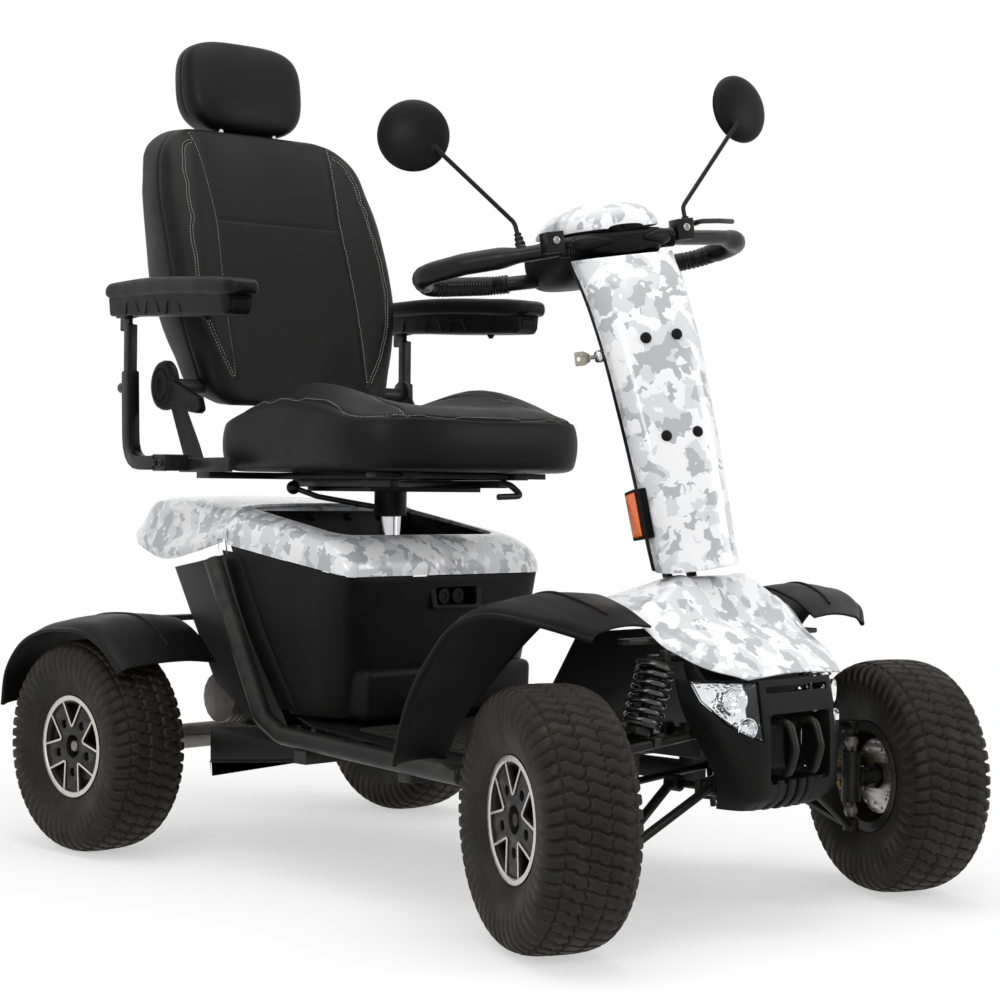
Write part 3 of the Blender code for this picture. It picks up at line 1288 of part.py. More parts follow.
def swivel_plate():
    """Plate on the seat post that carries the lower slide rails."""
    z = 0.660
    base = block((0.180, 0.200, 0.008), (POST_X, 0.0, z))
    rail_z = SEAT_UNDERSIDE - 2 * GAP - 0.012 - 0.00675
    rails = [block((0.330, 0.020, 0.0135), (-0.190, s * 0.115, rail_z)) for s in (-1, 1)]
    cross = [block((0.024, 0.236, 0.008), (x, 0.0, z)) for x in (-0.300, -0.110)]
    hub = rod((POST_X, 0.0, 0.612), (POST_X, 0.0, z), 0.030, 16)
    hollow = rod((POST_X, 0.0, 0.60), (POST_X, 0.0, z - 0.003), POST_RADIUS + 2 * GAP, 16)
    return worked(base, union=[rails[0], rails[1], *cross, hub], cut=[hollow])


def seat_post():
    """Chromed post that rises out of the frame's socket."""
    return rod((POST_X, 0.0, 0.300), (POST_X, 0.0, 0.6565), POST_RADIUS, 16)


def swivel_lever():
    """Ball-ended lever that frees the swivel, under the right side of the seat."""
    corners = [
        (-0.2065, -0.0351, 0.628), (-0.235, -0.075, 0.636),
        (-0.275, -0.118, 0.646), (-0.308, -0.150, 0.662),
    ]
    path = rounded(corners, 0.03, 3)
    return worked(tube(path, 0.0052), union=[ball(path[-1], 0.0125, 10), ball(path[0], 0.0058)])


def slide_lever():
    """Bent bar under the front left of the cushion that frees the slide."""
    corners = [(0.0105, 0.086, 0.6740), (0.036, 0.088, 0.6680), (0.044, 0.106, 0.6500), (0.044, 0.054, 0.6480)]
    return tube(rounded(corners, 0.010, 2), 0.0055)


# Tiller
def steering_stem():
    """Column from the pitman arm up through the bearing and the boot to the tilt joint's two cheeks."""
    column = rod(on_steering_axis(0.205), on_steering_axis(0.505), 0.014, 14)
    pin = pitman_pin()
    arm = bar(on_steering_axis(PITMAN_ROOT_Z), pin, 0.024, 0.010)
    pin_body = rod(pin - Vector((0, 0, 0.042)), pin + Vector((0, 0, 0.046)), 0.005, 10)
    boot = rod(on_steering_axis(0.462), on_steering_axis(0.512), 0.050, 20, 0.036)
    cheeks = []
    for s in (-1, 1):
        low, high = on_steering_axis(0.500), tilt_point + RAKE_UP * 0.010
        side = Vector((0.0, s * 0.0205, 0.0))
        cheeks.append(bar(low + side, high + side, 0.008, 0.022))
    hinge_pin = rod(tilt_point - Vector((0, 0.020, 0)), tilt_point + Vector((0, 0.020, 0)), 0.005, 10)
    return worked(column, union=[arm, pin_body, boot, *cheeks, hinge_pin])


def tiller_post():
    """The post inside the covers, from the tilt joint's eye up to the front bar."""
    low = [tuple(tilt_point), (0.512, 0.0, 0.600), (0.478, 0.0, 0.755)]
    high = [(0.444, 0.0, 0.906), (0.400, 0.0, 1.000), (FRONT_BAR[0], 0.0, FRONT_BAR[1])]
    return low + high


def tiller_front(z):
    """The tiller's front face at a height: x at its centre line."""
    return float(np.interp(z, (0.545, 0.753, 0.906, 0.990, 1.045), (0.589, 0.541, 0.505, 0.468, 0.428)))


def tiller_edge(z):
    """The line on the tiller's side where its white front meets its black rear: x and half width."""
    heights = (0.545, 0.716, 0.856, 0.960, 1.040)
    x = np.interp(z, heights, (0.533, 0.504, 0.470, 0.428, 0.377))
    half = np.interp(z, heights, (0.067, 0.0735, 0.0785, 0.082, 0.0857))
    return float(x), float(half)


TILLER_HEIGHTS = (0.545, 0.640, 0.753, 0.850, 0.930, 0.985, 1.020, 1.045)
TILLER_TOP = 1.0398


def above_tiller():
    """The space over the covers' flat top, where the control head sits."""
    return block((0.400, 0.400, 0.100), (0.400, 0.0, TILLER_TOP + 0.050))


def tiller_cover_front():
    """White front cover: a gently crowned panel with rounded flanks, curving back at its top."""
    rows = []
    for z in TILLER_HEIGHTS:
        edge_x, half = tiller_edge(z)
        nose = tiller_front(z)
        deep = nose - edge_x
        rows.append(
            [
                (nose, 0.0, z),
                (nose - deep * 0.05, half * 0.45, z),
                (nose - deep * 0.22, half * 0.78, z),
                (nose - deep * 0.55, half * 0.96, z),
                (edge_x, half, z),
            ]
        )
    shell = sheet(rows, 0.003, mirrored=True, inward=-1.0)
    studs = []
    for height in (0.7533, 0.9063):
        for s in (-1, 1):
            at = Vector((tiller_front(height), s * 0.0265, height))
            outward = Vector((math.cos(math.radians(13.5)), 0.0, math.sin(math.radians(13.5))))
            studs.append(rod(at - outward * 0.006, at + outward * 0.0035, 0.0085, 12))
    return worked(shell, union=studs, cut=[above_tiller()])


def tiller_cover_rear():
    """Black rear cover that closes the tiller behind the white one, with the lock's barrel."""
    rows = []
    for z in TILLER_HEIGHTS:
        edge_x, half = tiller_edge(z)
        back = edge_x - 0.050
        half = half - 0.0035
        rows.append(
            [
                (back, 0.0, z),
                (back + 0.002, half * 0.60, z),
                (back + 0.014, half * 0.90, z),
                (edge_x - 0.0005, half, z),
            ]
        )
    shell = sheet(rows, 0.003, mirrored=True, inward=1.0)
    barrel = rod((0.436, -0.0700, 0.885), (0.436, -0.0860, 0.885), 0.0095, 14)
    path = tiller_post()
    notch = rod(path[0], path[1], 0.0175, 12)
    return worked(shell, union=[barrel], cut=[notch, above_tiller()])


def console_shell():
    """Black control head: a deep under-body behind the tiller's top, with passages for the bars and the post."""
    rings = []
    for x, low, high, half in (
        (0.108, 1.012, 1.056, 0.056),
        (0.130, 0.998, 1.074, 0.070),
        (0.220, 0.996, 1.083, 0.078),
        (0.300, 1.000, 1.083, 0.082),
        (0.318, 1.0405, 1.083, 0.082),
        (0.392, 1.0405, 1.081, 0.076),
        (0.418, 1.0405, 1.078, 0.056),
    ):
        rings.append(
            [
                (x, -half * 0.7, low), (x, -half, (low * 2 + high) / 3), (x, -half * 0.96, high),
                (x, half * 0.96, high), (x, half, (low * 2 + high) / 3), (x, half * 0.7, low),
            ]
        )
    bulges = [rod((0.350, s * 0.046, 1.062), (0.424, s * 0.024, 1.060), 0.018, 12, 0.010) for s in (-1, 1)]
    passages = [rod((x, -0.12, z), (x, 0.12, z), BAR_RADIUS + GAP, 14) for x, z in (FRONT_BAR, REAR_BAR)]
    post_way = rod((0.400, 0.0, 1.000), (FRONT_BAR[0], 0.0, FRONT_BAR[1]), BAR_RADIUS + GAP, 14)
    return worked(loft(rings), union=bulges, cut=[*passages, post_way])


def console_dome():
    """White domed hood over the control head."""
    rings = []
    for x, base, top, half in (
        (0.176, 1.0836, 1.0980, 0.052),
        (0.200, 1.0836, 1.1120, 0.066),
        (0.260, 1.0836, 1.1290, 0.074),
        (0.330, 1.0836, 1.1330, 0.074),
        (0.390, 1.0836, 1.1220, 0.064),
        (0.416, 1.0836, 1.1080, 0.046),
    ):
        deep = top - base
        rings.append(
            [
                (x, -half, base),
                (x, -half * 0.93, base + deep * 0.45),
                (x, -half * 0.62, base + deep * 0.88),
                (x, 0.0, top),
                (x, half * 0.62, base + deep * 0.88),
                (x, half * 0.93, base + deep * 0.45),
                (x, half, base),
            ]
        )
    return loft(rings)


def handlebar():
    """Post, cross bars and a loop on each side, with grips at the rear, lever brackets and the mirrors' stems."""
    halves = {}
    fittings = []
    for s in (-1, 1):
        corners = [
            (FRONT_BAR[0], 0.0, FRONT_BAR[1]),
            (FRONT_BAR[0], s * 0.092, FRONT_BAR[1]),
            (0.285, s * 0.232, 1.056),
            (0.236, s * 0.292, 1.046),
            (0.146, s * 0.250, 1.028),
            (0.132, s * 0.130, REAR_BAR[1]),
            (REAR_BAR[0], s * 0.094, REAR_BAR[1]),
            (REAR_BAR[0], 0.0, REAR_BAR[1]),
        ]
        halves[s] = rounded(corners, 0.045, 2)
        grip = [p for p in halves[s] if p.x < 0.20 and abs(p.y) > 0.105]
        bracket = block((0.034, 0.030, 0.034), (0.380, s * 0.114, 1.072))
        fittings += [tube(grip, GRIP_RADIUS, 2), bracket, *mirror_stem(s)]
    loop = tube(halves[-1] + halves[1][-2:0:-1], BAR_RADIUS, closed=True)
    post = tube(tiller_post(), BAR_RADIUS - 0.0005)
    eye = rod(tilt_point - Vector((0, 0.0155, 0)), tilt_point + Vector((0, 0.0155, 0)), 0.014, 16)
    pin_way = rod(tilt_point - Vector((0, 0.03, 0)), tilt_point + Vector((0, 0.03, 0)), 0.005 + GAP, 12)
    return worked(loop, union=[*fittings, post, eye], cut=[pin_way])


def brake_lever():
    """Parking brake lever over the left front bar."""
    corners = [(0.3695, 0.1345, 1.0799), (0.362, 0.160, 1.0830), (0.335, 0.205, 1.0820), (0.305, 0.245, 1.0800)]
    return worked(tube(rounded(corners, 0.03, 3), 0.0046), union=[ball(corners[0], 0.0052)])


def throttle_lever():
    """Silver thumb lever inside the right loop."""
    outline = [
        (0.3255, -0.0845), (0.332, -0.094), (0.325, -0.125), (0.296, -0.150), (0.284, -0.140), (0.300, -0.110),
        (0.312, -0.092), (0.3185, -0.0845), (0.322, -0.0824),
    ]
    return plate(outline, 0.006, placed=Matrix.Translation((0.0, 0.0, 1.0560)))


def ignition_key():
    """Key in the lock on the tiller's right flank: blade, neck and a flat bow."""
    y = -0.0860 - GAP
    neck = rod((0.436, y, 0.885), (0.436, y - 0.010, 0.885), 0.0035, 8)
    bow = block((0.004, 0.026, 0.022), (0.436, y - 0.022, 0.885), bevel=0.001)
    return worked(neck, union=[bow])


def mirror_stem(s):
    """A wire stem that rises from a boss on the front bar and ends at the mirror's back."""
    top = (MIRROR_JOINT[0], s * MIRROR_JOINT[1], MIRROR_JOINT[2])
    corners = [(0.332, s * 0.148, 1.060), (0.318, s * 0.150, 1.112), top]
    stem = tube(rounded(corners, 0.018, 3), 0.0038)
    return [stem, rod(corners[0], (0.325, s * 0.149, 1.086), 0.0085), ball(top, 0.0055)]


def mirror_head(s):
    """A round mirror: dished black shell with a flat glass face toward the rider."""
    centre = Vector((0.2827, s * 0.2912, 1.2675))
    facing = Vector((-0.93, -s * 0.30, -0.12)).normalized()
    placed = Matrix.Translation(centre) @ facing.to_track_quat("Z", "Y").to_matrix().to_4x4()
    radius = MIRROR_RADIUS
    profile = [
        (0.0, 0.004), (radius - 0.002, 0.004), (radius, 0.001),
        (radius - 0.004, -0.008), (radius * 0.6, -0.015), (0.0, -0.018),
    ]
    joint = Vector((MIRROR_JOINT[0], s * MIRROR_JOINT[1], MIRROR_JOINT[2]))
    boss = rod(joint + facing * 0.0064, joint + facing * 0.0130, 0.0070)
    return worked(turned(profile[::-1], 18, placed), union=[boss])


# Assembly of the chassis
piece("chassis_frame", chassis, black_steel, chassis_frame())
piece("floor_pan", chassis, black_plastic, floor_pan())
piece("floor_mat", chassis, rubber, floor_mat())
piece("body_box", chassis, black_plastic, body_box())
piece("deck_cover", chassis, camouflage, deck_cover())
piece("tail_cover", chassis, camouflage, tail_cover())
piece("rear_panels", chassis, grey_plastic, rear_panels())
piece("battery_R", chassis, battery_case, battery(-1))
piece("battery_L", chassis, battery_case, battery(1))
piece("transaxle", chassis, cast_alloy, transaxle())
piece("hood", chassis, camouflage, hood())
piece("bumper", chassis, black_plastic, bumper())
piece("headlight_R", chassis, clear_lens, headlight_body())
piece("headlight_L", chassis, clear_lens, other_side(headlight_body()))
piece("front_fenders", chassis, black_plastic, front_fenders())
piece("rear_fenders", chassis, black_plastic, rear_fenders())

# Assembly of the wheels and the front suspension, one side after the other
turning = {}
for label, s in (("R", -1), ("L", 1)):
    y = s * KINGPIN_SPREAD / 2
    lower = pivot("lower_swing_" + label, (0.600, s * LOWER_PIVOT[0], LOWER_PIVOT[1]), chassis)
    upper = pivot("upper_swing_" + label, (0.600, s * UPPER_PIVOT[0], UPPER_PIVOT[1]), chassis)
    carrier = pivot("kingpin_swing_" + label, (front_axle, y, LOWER_BALL_Z), lower)
    turning[label] = pivot("knuckle_turn_" + label, (front_axle, y, TYRE_RADIUS), carrier)
    rod_end = pivot(
        "tie_rod_end_" + label, (front_axle - STEER_ARM[0], y - s * STEER_ARM[1], 0.199), turning[label]
    )
    front_spin = pivot("front_spin_" + label, (front_axle, s * FRONT_TRACK / 2, TYRE_RADIUS), turning[label])
    rear_spin = pivot("rear_spin_" + label, (rear_axle, s * REAR_TRACK / 2, TYRE_RADIUS), chassis)
    piece("coilover_" + label, chassis, black_steel, spring_coil(s))
    piece("lower_arm_" + label, lower, black_steel, lower_arm(s))
    piece("upper_arm_" + label, upper, black_steel, upper_arm(s))
    piece("kingpin_" + label, carrier, cast_alloy, kingpin(s))
    piece("knuckle_" + label, turning[label], black_steel, knuckle(s))
    piece("tie_rod_" + label, rod_end, black_steel, tie_rod(s))
    wheel_sets = ("front", front_spin, front_axle, FRONT_TRACK), ("rear", rear_spin, rear_axle, REAR_TRACK)
    for where, spin, x, track in wheel_sets:
        wheel_y = s * track / 2
        tyre_mesh = turned(tyre(s), WHEEL_STEPS, wheel_frame(x, wheel_y, s), math.pi / WHEEL_STEPS)
        piece(f"{where}_tyre_{label}", spin, rubber, tyre_mesh, 40.0)
        piece(f"{where}_rim_{label}", spin, black_alloy, rim(x, wheel_y, s), 30.0)

# Assembly of the seat
piece("seat_post", seat_lift, chrome, seat_post())
piece("swivel_plate", seat_turn, black_steel, swivel_plate())
lever_turn = pivot("swivel_lever_turn", (-0.2065, -0.0351, 0.628), seat_turn)
piece("swivel_lever", lever_turn, black_steel, swivel_lever())
piece("seat_frame", seat_track, black_steel, seat_frame())
piece("seat_cushion", seat_track, vinyl, cushion_body(), 60.0)
release = pivot("slide_release", (0.012, 0.086, 0.6735), seat_track)
piece("slide_lever", release, black_steel, slide_lever())
piece("backrest", recline, vinyl, backrest_body(), 60.0)
piece("headrest", head_track, vinyl, headrest_body(), 60.0)
lever_pivot = pivot("recline_release", (RECLINE_AXIS[0], -0.27, RECLINE_AXIS[1]), seat_track)
piece("recline_lever", lever_pivot, black_plastic, recline_lever())
for label, s in (("R", -1), ("L", 1)):
    flip = pivot("armrest_flip_" + label, (ARM_PIVOT[0], s * ARM_HALF_SPREAD, ARM_PIVOT[1]), seat_track)
    piece("armrest_post_" + label, seat_track, black_steel, armrest_post(s))
    piece("arm_pad_" + label, flip, vinyl, arm_pad(s))

# Assembly of the tiller
piece("steering_stem", steering, black_steel, steering_stem())
piece("tiller_cover_front", tiller, camouflage, tiller_cover_front())
piece("tiller_cover_rear", tiller, black_plastic, tiller_cover_rear())
piece("console", tiller, black_plastic, console_shell())
piece("console_dome", tiller, camouflage, console_dome())
piece("handlebar", tiller, black_plastic, handlebar())
piece("brake_lever", pivot("brake_pull", (0.3695, 0.1345, 1.0799), tiller), black_plastic, brake_lever())
piece("throttle_lever", pivot("throttle_push", (0.322, -0.0864, 1.0560), tiller), cast_alloy, throttle_lever())
piece("ignition_key", pivot("key_turn", (0.436, -0.090, 0.885), tiller), key_metal, ignition_key())
for label, s in (("R", -1), ("L", 1)):
    joint_at = (MIRROR_JOINT[0], s * MIRROR_JOINT[1], MIRROR_JOINT[2])
    ball_joint = pivot("mirror_turn_" + label, joint_at, tiller)
    piece("mirror_" + label, ball_joint, mirror_shell, mirror_head(s))

# Standing pose: wheels and tiller steered to the right, seat swivelled a little to the right
chassis.location = (-BOX_CENTRE_X, -BOX_CENTRE_Y, 0.0)
steering.rotation_quaternion = Matrix.Rotation(math.radians(TILLER_NOW), 3, RAKE_UP).to_quaternion()
seat_turn.rotation_quaternion = Matrix.Rotation(math.radians(SEAT_NOW), 3, "Z").to_quaternion()
for carrier in turning.values():
    carrier.rotation_quaternion = Matrix.Rotation(math.radians(WHEELS_NOW), 3, "Z").to_quaternion()
bpy.context.view_layer.update()
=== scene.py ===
import math

import bmesh
import bpy
import numpy as np
from mathutils import Matrix, Vector
from mathutils.bvhtree import BVHTree
from mathutils.kdtree import KDTree


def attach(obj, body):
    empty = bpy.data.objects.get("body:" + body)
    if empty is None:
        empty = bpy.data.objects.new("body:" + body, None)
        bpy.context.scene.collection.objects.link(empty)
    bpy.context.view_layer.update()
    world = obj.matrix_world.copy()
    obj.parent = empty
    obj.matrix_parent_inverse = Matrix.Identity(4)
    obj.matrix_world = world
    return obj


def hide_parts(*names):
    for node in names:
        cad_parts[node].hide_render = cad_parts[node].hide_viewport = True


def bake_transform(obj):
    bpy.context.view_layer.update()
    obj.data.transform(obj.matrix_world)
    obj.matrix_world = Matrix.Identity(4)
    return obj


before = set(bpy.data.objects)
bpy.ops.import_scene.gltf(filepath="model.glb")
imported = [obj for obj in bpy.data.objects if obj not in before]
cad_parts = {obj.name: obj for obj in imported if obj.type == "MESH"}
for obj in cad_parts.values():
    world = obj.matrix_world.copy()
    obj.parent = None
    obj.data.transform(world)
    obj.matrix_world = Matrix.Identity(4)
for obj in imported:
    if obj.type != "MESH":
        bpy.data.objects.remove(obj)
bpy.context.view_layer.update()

# The camera stands low at the scooter's front right corner, 3.6 m from the seat,
# level with the tiller's middle and rolled by half a degree.
yaw, pitch, roll = (math.radians(angle) for angle in (135.19, -0.113, 0.522))
aim = Vector((math.cos(pitch) * math.cos(yaw), math.cos(pitch) * math.sin(yaw), math.sin(pitch)))
level = aim.cross(Vector((0, 0, 1))).normalized()
above = level.cross(aim)
picture_right = level * math.cos(roll) + above * math.sin(roll)
picture_up = above * math.cos(roll) - level * math.sin(roll)
bpy.ops.object.camera_add(location=(2.60155, -2.4928, 0.650))
camera = bpy.context.object
turn = Matrix((picture_right, picture_up, -aim)).transposed().to_4x4()
camera.matrix_world = Matrix.Translation(camera.location) @ turn
camera.data.lens = 73.85
camera.data.sensor_width = 36.0
bpy.context.scene.camera = camera
bpy.context.scene.view_settings.view_transform = "Standard"

# The studio is a pale floor that fades into a white backdrop, with a wide soft box overhead,
# a softer lamp before the scooter's right side and a weak one before its left.


def node(tree, kind, inputs=None, **values):
    """A shader node with its values set and its sockets filled by numbers or by other sockets."""
    made = tree.nodes.new(kind)
    for key, value in values.items():
        setattr(made, key, value)
    for key, value in (inputs or {}).items():
        if isinstance(value, bpy.types.NodeSocket):
            tree.links.new(value, made.inputs[key])
        else:
            made.inputs[key].default_value = value
    return made


def seen_or_mirrored(tree):
    """1 for what the camera, a reflection or a view through glass sees, and 0 for light that falls on things."""
    path = node(tree, "ShaderNodeLightPath")
    either = node(tree, "ShaderNodeMath", {0: path.outputs["Is Camera Ray"], 1: path.outputs["Is Glossy Ray"]}, operation="MAXIMUM")
    return node(tree, "ShaderNodeMath", {0: either.outputs[0], 1: path.outputs["Is Transmission Ray"]}, operation="MAXIMUM").outputs[0]


world = bpy.data.worlds.new("studio")
bpy.context.scene.world = world
world.use_nodes = True
sky = world.node_tree
backdrop = sky.nodes["Background"]
strength = node(sky, "ShaderNodeMapRange", {"Value": seen_or_mirrored(sky), "To Min": 0.62, "To Max": 1.0})
sky.links.new(strength.outputs["Result"], backdrop.inputs["Strength"])
backdrop.inputs["Color"].default_value = (1.0, 1.0, 1.0, 1.0)

bpy.ops.mesh.primitive_circle_add(vertices=96, radius=14.0, fill_type="NGON", location=(0, 0, 0))
floor = bpy.context.object
floor.name = "studio_floor"
pale = bpy.data.materials.new("pale_floor")
pale.use_nodes = True
tree = pale.node_tree
tree.nodes.clear()
place = node(tree, "ShaderNodeTexCoord").outputs["Object"]
away = node(tree, "ShaderNodeVectorMath", {0: place}, operation="LENGTH").outputs["Value"]
fade = node(tree, "ShaderNodeMapRange", {"Value": away, "From Min": 0.9, "From Max": 1.9}, interpolation_type="SMOOTHSTEP")
matt = node(tree, "ShaderNodeBsdfDiffuse", {"Color": (0.50, 0.50, 0.50, 1.0)})
glow = node(tree, "ShaderNodeEmission", {"Color": (1, 1, 1, 1), "Strength": 0.52})
near_floor = node(tree, "ShaderNodeAddShader", {0: matt.outputs[0], 1: glow.outputs[0]})
white = node(tree, "ShaderNodeEmission", {"Color": (1, 1, 1, 1), "Strength": 1.0})
far_floor = node(tree, "ShaderNodeMixShader", {0: fade.outputs[0], 1: near_floor.outputs[0], 2: white.outputs[0]})
bounce = node(tree, "ShaderNodeBsdfDiffuse", {"Color": (0.72, 0.72, 0.72, 1.0)})
both = node(tree, "ShaderNodeMixShader", {0: seen_or_mirrored(tree), 1: bounce.outputs[0], 2: far_floor.outputs[0]})
node(tree, "ShaderNodeOutputMaterial", {"Surface": both.outputs[0]})
floor.data.materials.append(pale)

for lamp_name, at, towards, size, power in (
    ("overhead_box", (0.2, -0.3, 3.3), (0.0, 0.0, 0.4), 2.6, 46.0),
    ("right_lamp", (2.6, -4.2, 2.6), (0.0, 0.0, 0.6), 1.6, 62.0),
    ("left_lamp", (3.6, 2.2, 1.9), (0.0, 0.0, 0.6), 1.4, 34.0),
):
    bpy.ops.object.light_add(type="AREA", location=at)
    lamp = bpy.context.object
    lamp.name = lamp_name
    lamp.data.size = size
    lamp.data.energy = power
    lamp.rotation_euler = (Vector(towards) - Vector(at)).to_track_quat("-Z", "Y").to_euler()

# Tyres: low-pressure turf tyres of black rubber, brown with dust in their grooves. Three rows of
# interlocking blocks run round the crown, and long lugs wrap over each shoulder on to the wall.


def effect(name, inputs, outputs):
    """A new node group with named sockets, its input node and its output node."""
    group = bpy.data.node_groups.new(name, "ShaderNodeTree")
    for key, value in inputs.items():
        group.interface.new_socket(name=key, in_out="INPUT", socket_type="NodeSocketFloat").default_value = value
    for key in outputs:
        group.interface.new_socket(name=key, in_out="OUTPUT", socket_type="NodeSocketFloat")
    return group, node(group, "NodeGroupInput"), node(group, "NodeGroupOutput")


grain, given, result = effect("moulded grain", {"Scale": 600.0, "Cells": 0.5}, ["Height"])
place = node(grain, "ShaderNodeTexCoord").outputs["Object"]
pebbles = node(grain, "ShaderNodeTexVoronoi", {"Vector": place, "Scale": given.outputs["Scale"]}, feature="SMOOTH_F1")
mist = node(grain, "ShaderNodeTexNoise", {"Vector": place, "Scale": given.outputs["Scale"], "Detail": 3.0})
mixed = node(grain, "ShaderNodeMix", {0: given.outputs["Cells"], 2: mist.outputs["Fac"], 3: pebbles.outputs["Distance"]})
grain.links.new(mixed.outputs[0], result.inputs["Height"])

dust, given, result = effect("settled dust", {"Top": 0.5, "Amount": 0.5}, ["Mask"])
place = node(dust, "ShaderNodeTexCoord").outputs["Object"]
height = node(dust, "ShaderNodeSeparateXYZ", {0: place}).outputs["Z"]
low = node(dust, "ShaderNodeMapRange", {"Value": height, "From Min": 0.0, "From Max": given.outputs["Top"], "To Min": 1.0, "To Max": 0.0})
cloud = node(dust, "ShaderNodeTexNoise", {"Vector": place, "Scale": 18.0, "Detail": 6.0, "Roughness": 0.7})
patchy = node(dust, "ShaderNodeMapRange", {"Value": cloud.outputs["Fac"], "From Min": 0.42, "From Max": 0.72})
spread = node(dust, "ShaderNodeMath", {0: low.outputs[0], 1: patchy.outputs[0]}, operation="MULTIPLY")
scaled = node(dust, "ShaderNodeMath", {0: spread.outputs[0], 1: given.outputs["Amount"]}, operation="MULTIPLY", use_clamp=True)
dust.links.new(scaled.outputs[0], result.inputs["Mask"])

wear, given, result = effect("edge wear", {"Amount": 0.5}, ["Mask"])
point = node(wear, "ShaderNodeNewGeometry").outputs["Pointiness"]
edge = node(wear, "ShaderNodeMapRange", {"Value": point, "From Min": 0.52, "From Max": 0.60})
place = node(wear, "ShaderNodeTexCoord").outputs["Object"]
broken = node(wear, "ShaderNodeTexNoise", {"Vector": place, "Scale": 60.0, "Detail": 5.0})
worn = node(wear, "ShaderNodeMath", {0: edge.outputs[0], 1: broken.outputs["Fac"]}, operation="MULTIPLY")
scaled = node(wear, "ShaderNodeMath", {0: worn.outputs[0], 1: given.outputs["Amount"]}, operation="MULTIPLY", use_clamp=True)
wear.links.new(scaled.outputs[0], result.inputs["Mask"])


def use(tree, group, **inputs):
    """One of this file's node groups, placed in a material."""
    made = tree.nodes.new("ShaderNodeGroup")
    made.node_tree = group
    for key, value in inputs.items():
        made.inputs[key].default_value = value
    return made.outputs[0]


def finish(name, colour, roughness, metallic=0.0, specular=0.5, coat=0.0):
    """A material with its Principled shader, as (material, node tree, shader)."""
    made = bpy.data.materials.new(name)
    made.use_nodes = True
    shader = made.node_tree.nodes["Principled BSDF"]
    shader.inputs["Base Color"].default_value = (*colour, 1.0)
    shader.inputs["Roughness"].default_value = roughness
    shader.inputs["Metallic"].default_value = metallic
    shader.inputs["Specular IOR Level"].default_value = specular
    shader.inputs["Coat Weight"].default_value = coat
    shader.inputs["Coat Roughness"].default_value = 0.06
    return made, made.node_tree, shader


def tinted(tree, shader, under, over, mask):
    """Feeds the shader's colour from two colours and a mask; under may be another mix."""
    mix = node(tree, "ShaderNodeMix", {0: mask}, data_type="RGBA")
    for number, colour in ((6, under), (7, over)):
        if isinstance(colour, bpy.types.NodeSocket):
            tree.links.new(colour, mix.inputs[number])
        else:
            mix.inputs[number].default_value = (*colour, 1.0)
    tree.links.new(mix.outputs[2], shader.inputs["Base Color"])
    return mix.outputs[2]


def bumped(tree, shader, height, strength, distance):
    """Feeds the shader's normal from a height."""
    bump = node(tree, "ShaderNodeBump", {"Height": height, "Strength": strength, "Distance": distance})
    tree.links.new(bump.outputs[0], shader.inputs["Normal"])


def rough_cloud(tree, shader, low, high, scale):
    """Varies the shader's roughness in soft clouds."""
    place = node(tree, "ShaderNodeTexCoord").outputs["Object"]
    cloud = node(tree, "ShaderNodeTexNoise", {"Vector": place, "Scale": scale, "Detail": 5.0})
    ranged = node(tree, "ShaderNodeMapRange", {"Value": cloud.outputs["Fac"], "From Min": 0.3, "From Max": 0.7, "To Min": low, "To Max": high})
    tree.links.new(ranged.outputs[0], shader.inputs["Roughness"])


rubber, tree, shader = finish("dusty_rubber", (0.007, 0.0068, 0.0060), 0.62, specular=0.22)
groove = node(tree, "ShaderNodeAttribute", attribute_name="groove").outputs["Fac"]
settled = use(tree, dust, Top=0.9, Amount=0.35)
above = node(tree, "ShaderNodeMath", {0: 1.0, 1: groove}, operation="SUBTRACT")
edge = node(tree, "ShaderNodeMath", {0: groove, 1: above.outputs[0]}, operation="MULTIPLY")
dirt = node(tree, "ShaderNodeMath", {0: edge.outputs[0], 1: 1.7}, operation="MULTIPLY")
dirt = node(tree, "ShaderNodeMath", {0: dirt.outputs[0], 1: settled}, operation="ADD", use_clamp=True)
tinted(tree, shader, (0.0052, 0.0049, 0.0042), (0.050, 0.040, 0.025), dirt.outputs[0])
bumped(tree, shader, use(tree, grain, Scale=420.0, Cells=0.2), 0.35, 0.0006)
rough_cloud(tree, shader, 0.48, 0.70, 25.0)


def linked(name, mesh):
    """A new object for a mesh, in the scene and nothing else selected."""
    obj = bpy.data.objects.new(name, mesh)
    bpy.context.scene.collection.objects.link(obj)
    bpy.ops.object.select_all(action="DESELECT")
    obj.select_set(True)
    bpy.context.view_layer.objects.active = obj
    return obj


def smooth(obj, angle=38.0):
    """Shades a piece smooth, apart from its sharp edges."""
    obj.data.shade_smooth()
    obj.data.set_sharp_from_angle(angle=math.radians(angle))
    return obj


def put(obj, material, body, slot, *nodes):
    """Gives a finished piece its material and the body that it moves with, and hides the CAD nodes that it stands for.
    """
    obj.data.materials.clear()
    obj.data.materials.append(material)
    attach(obj, body)
    if nodes:
        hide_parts(*nodes)
    return obj


BLOCKS_ROUND = 54
LANE = 0.0345
GROOVE_DEPTH = 0.0070


def step(value, low, high):
    """A smooth step from 0 to 1."""
    t = np.clip((value - low) / (high - low), 0.0, 1.0)
    return t * t * (3.0 - 2.0 * t)


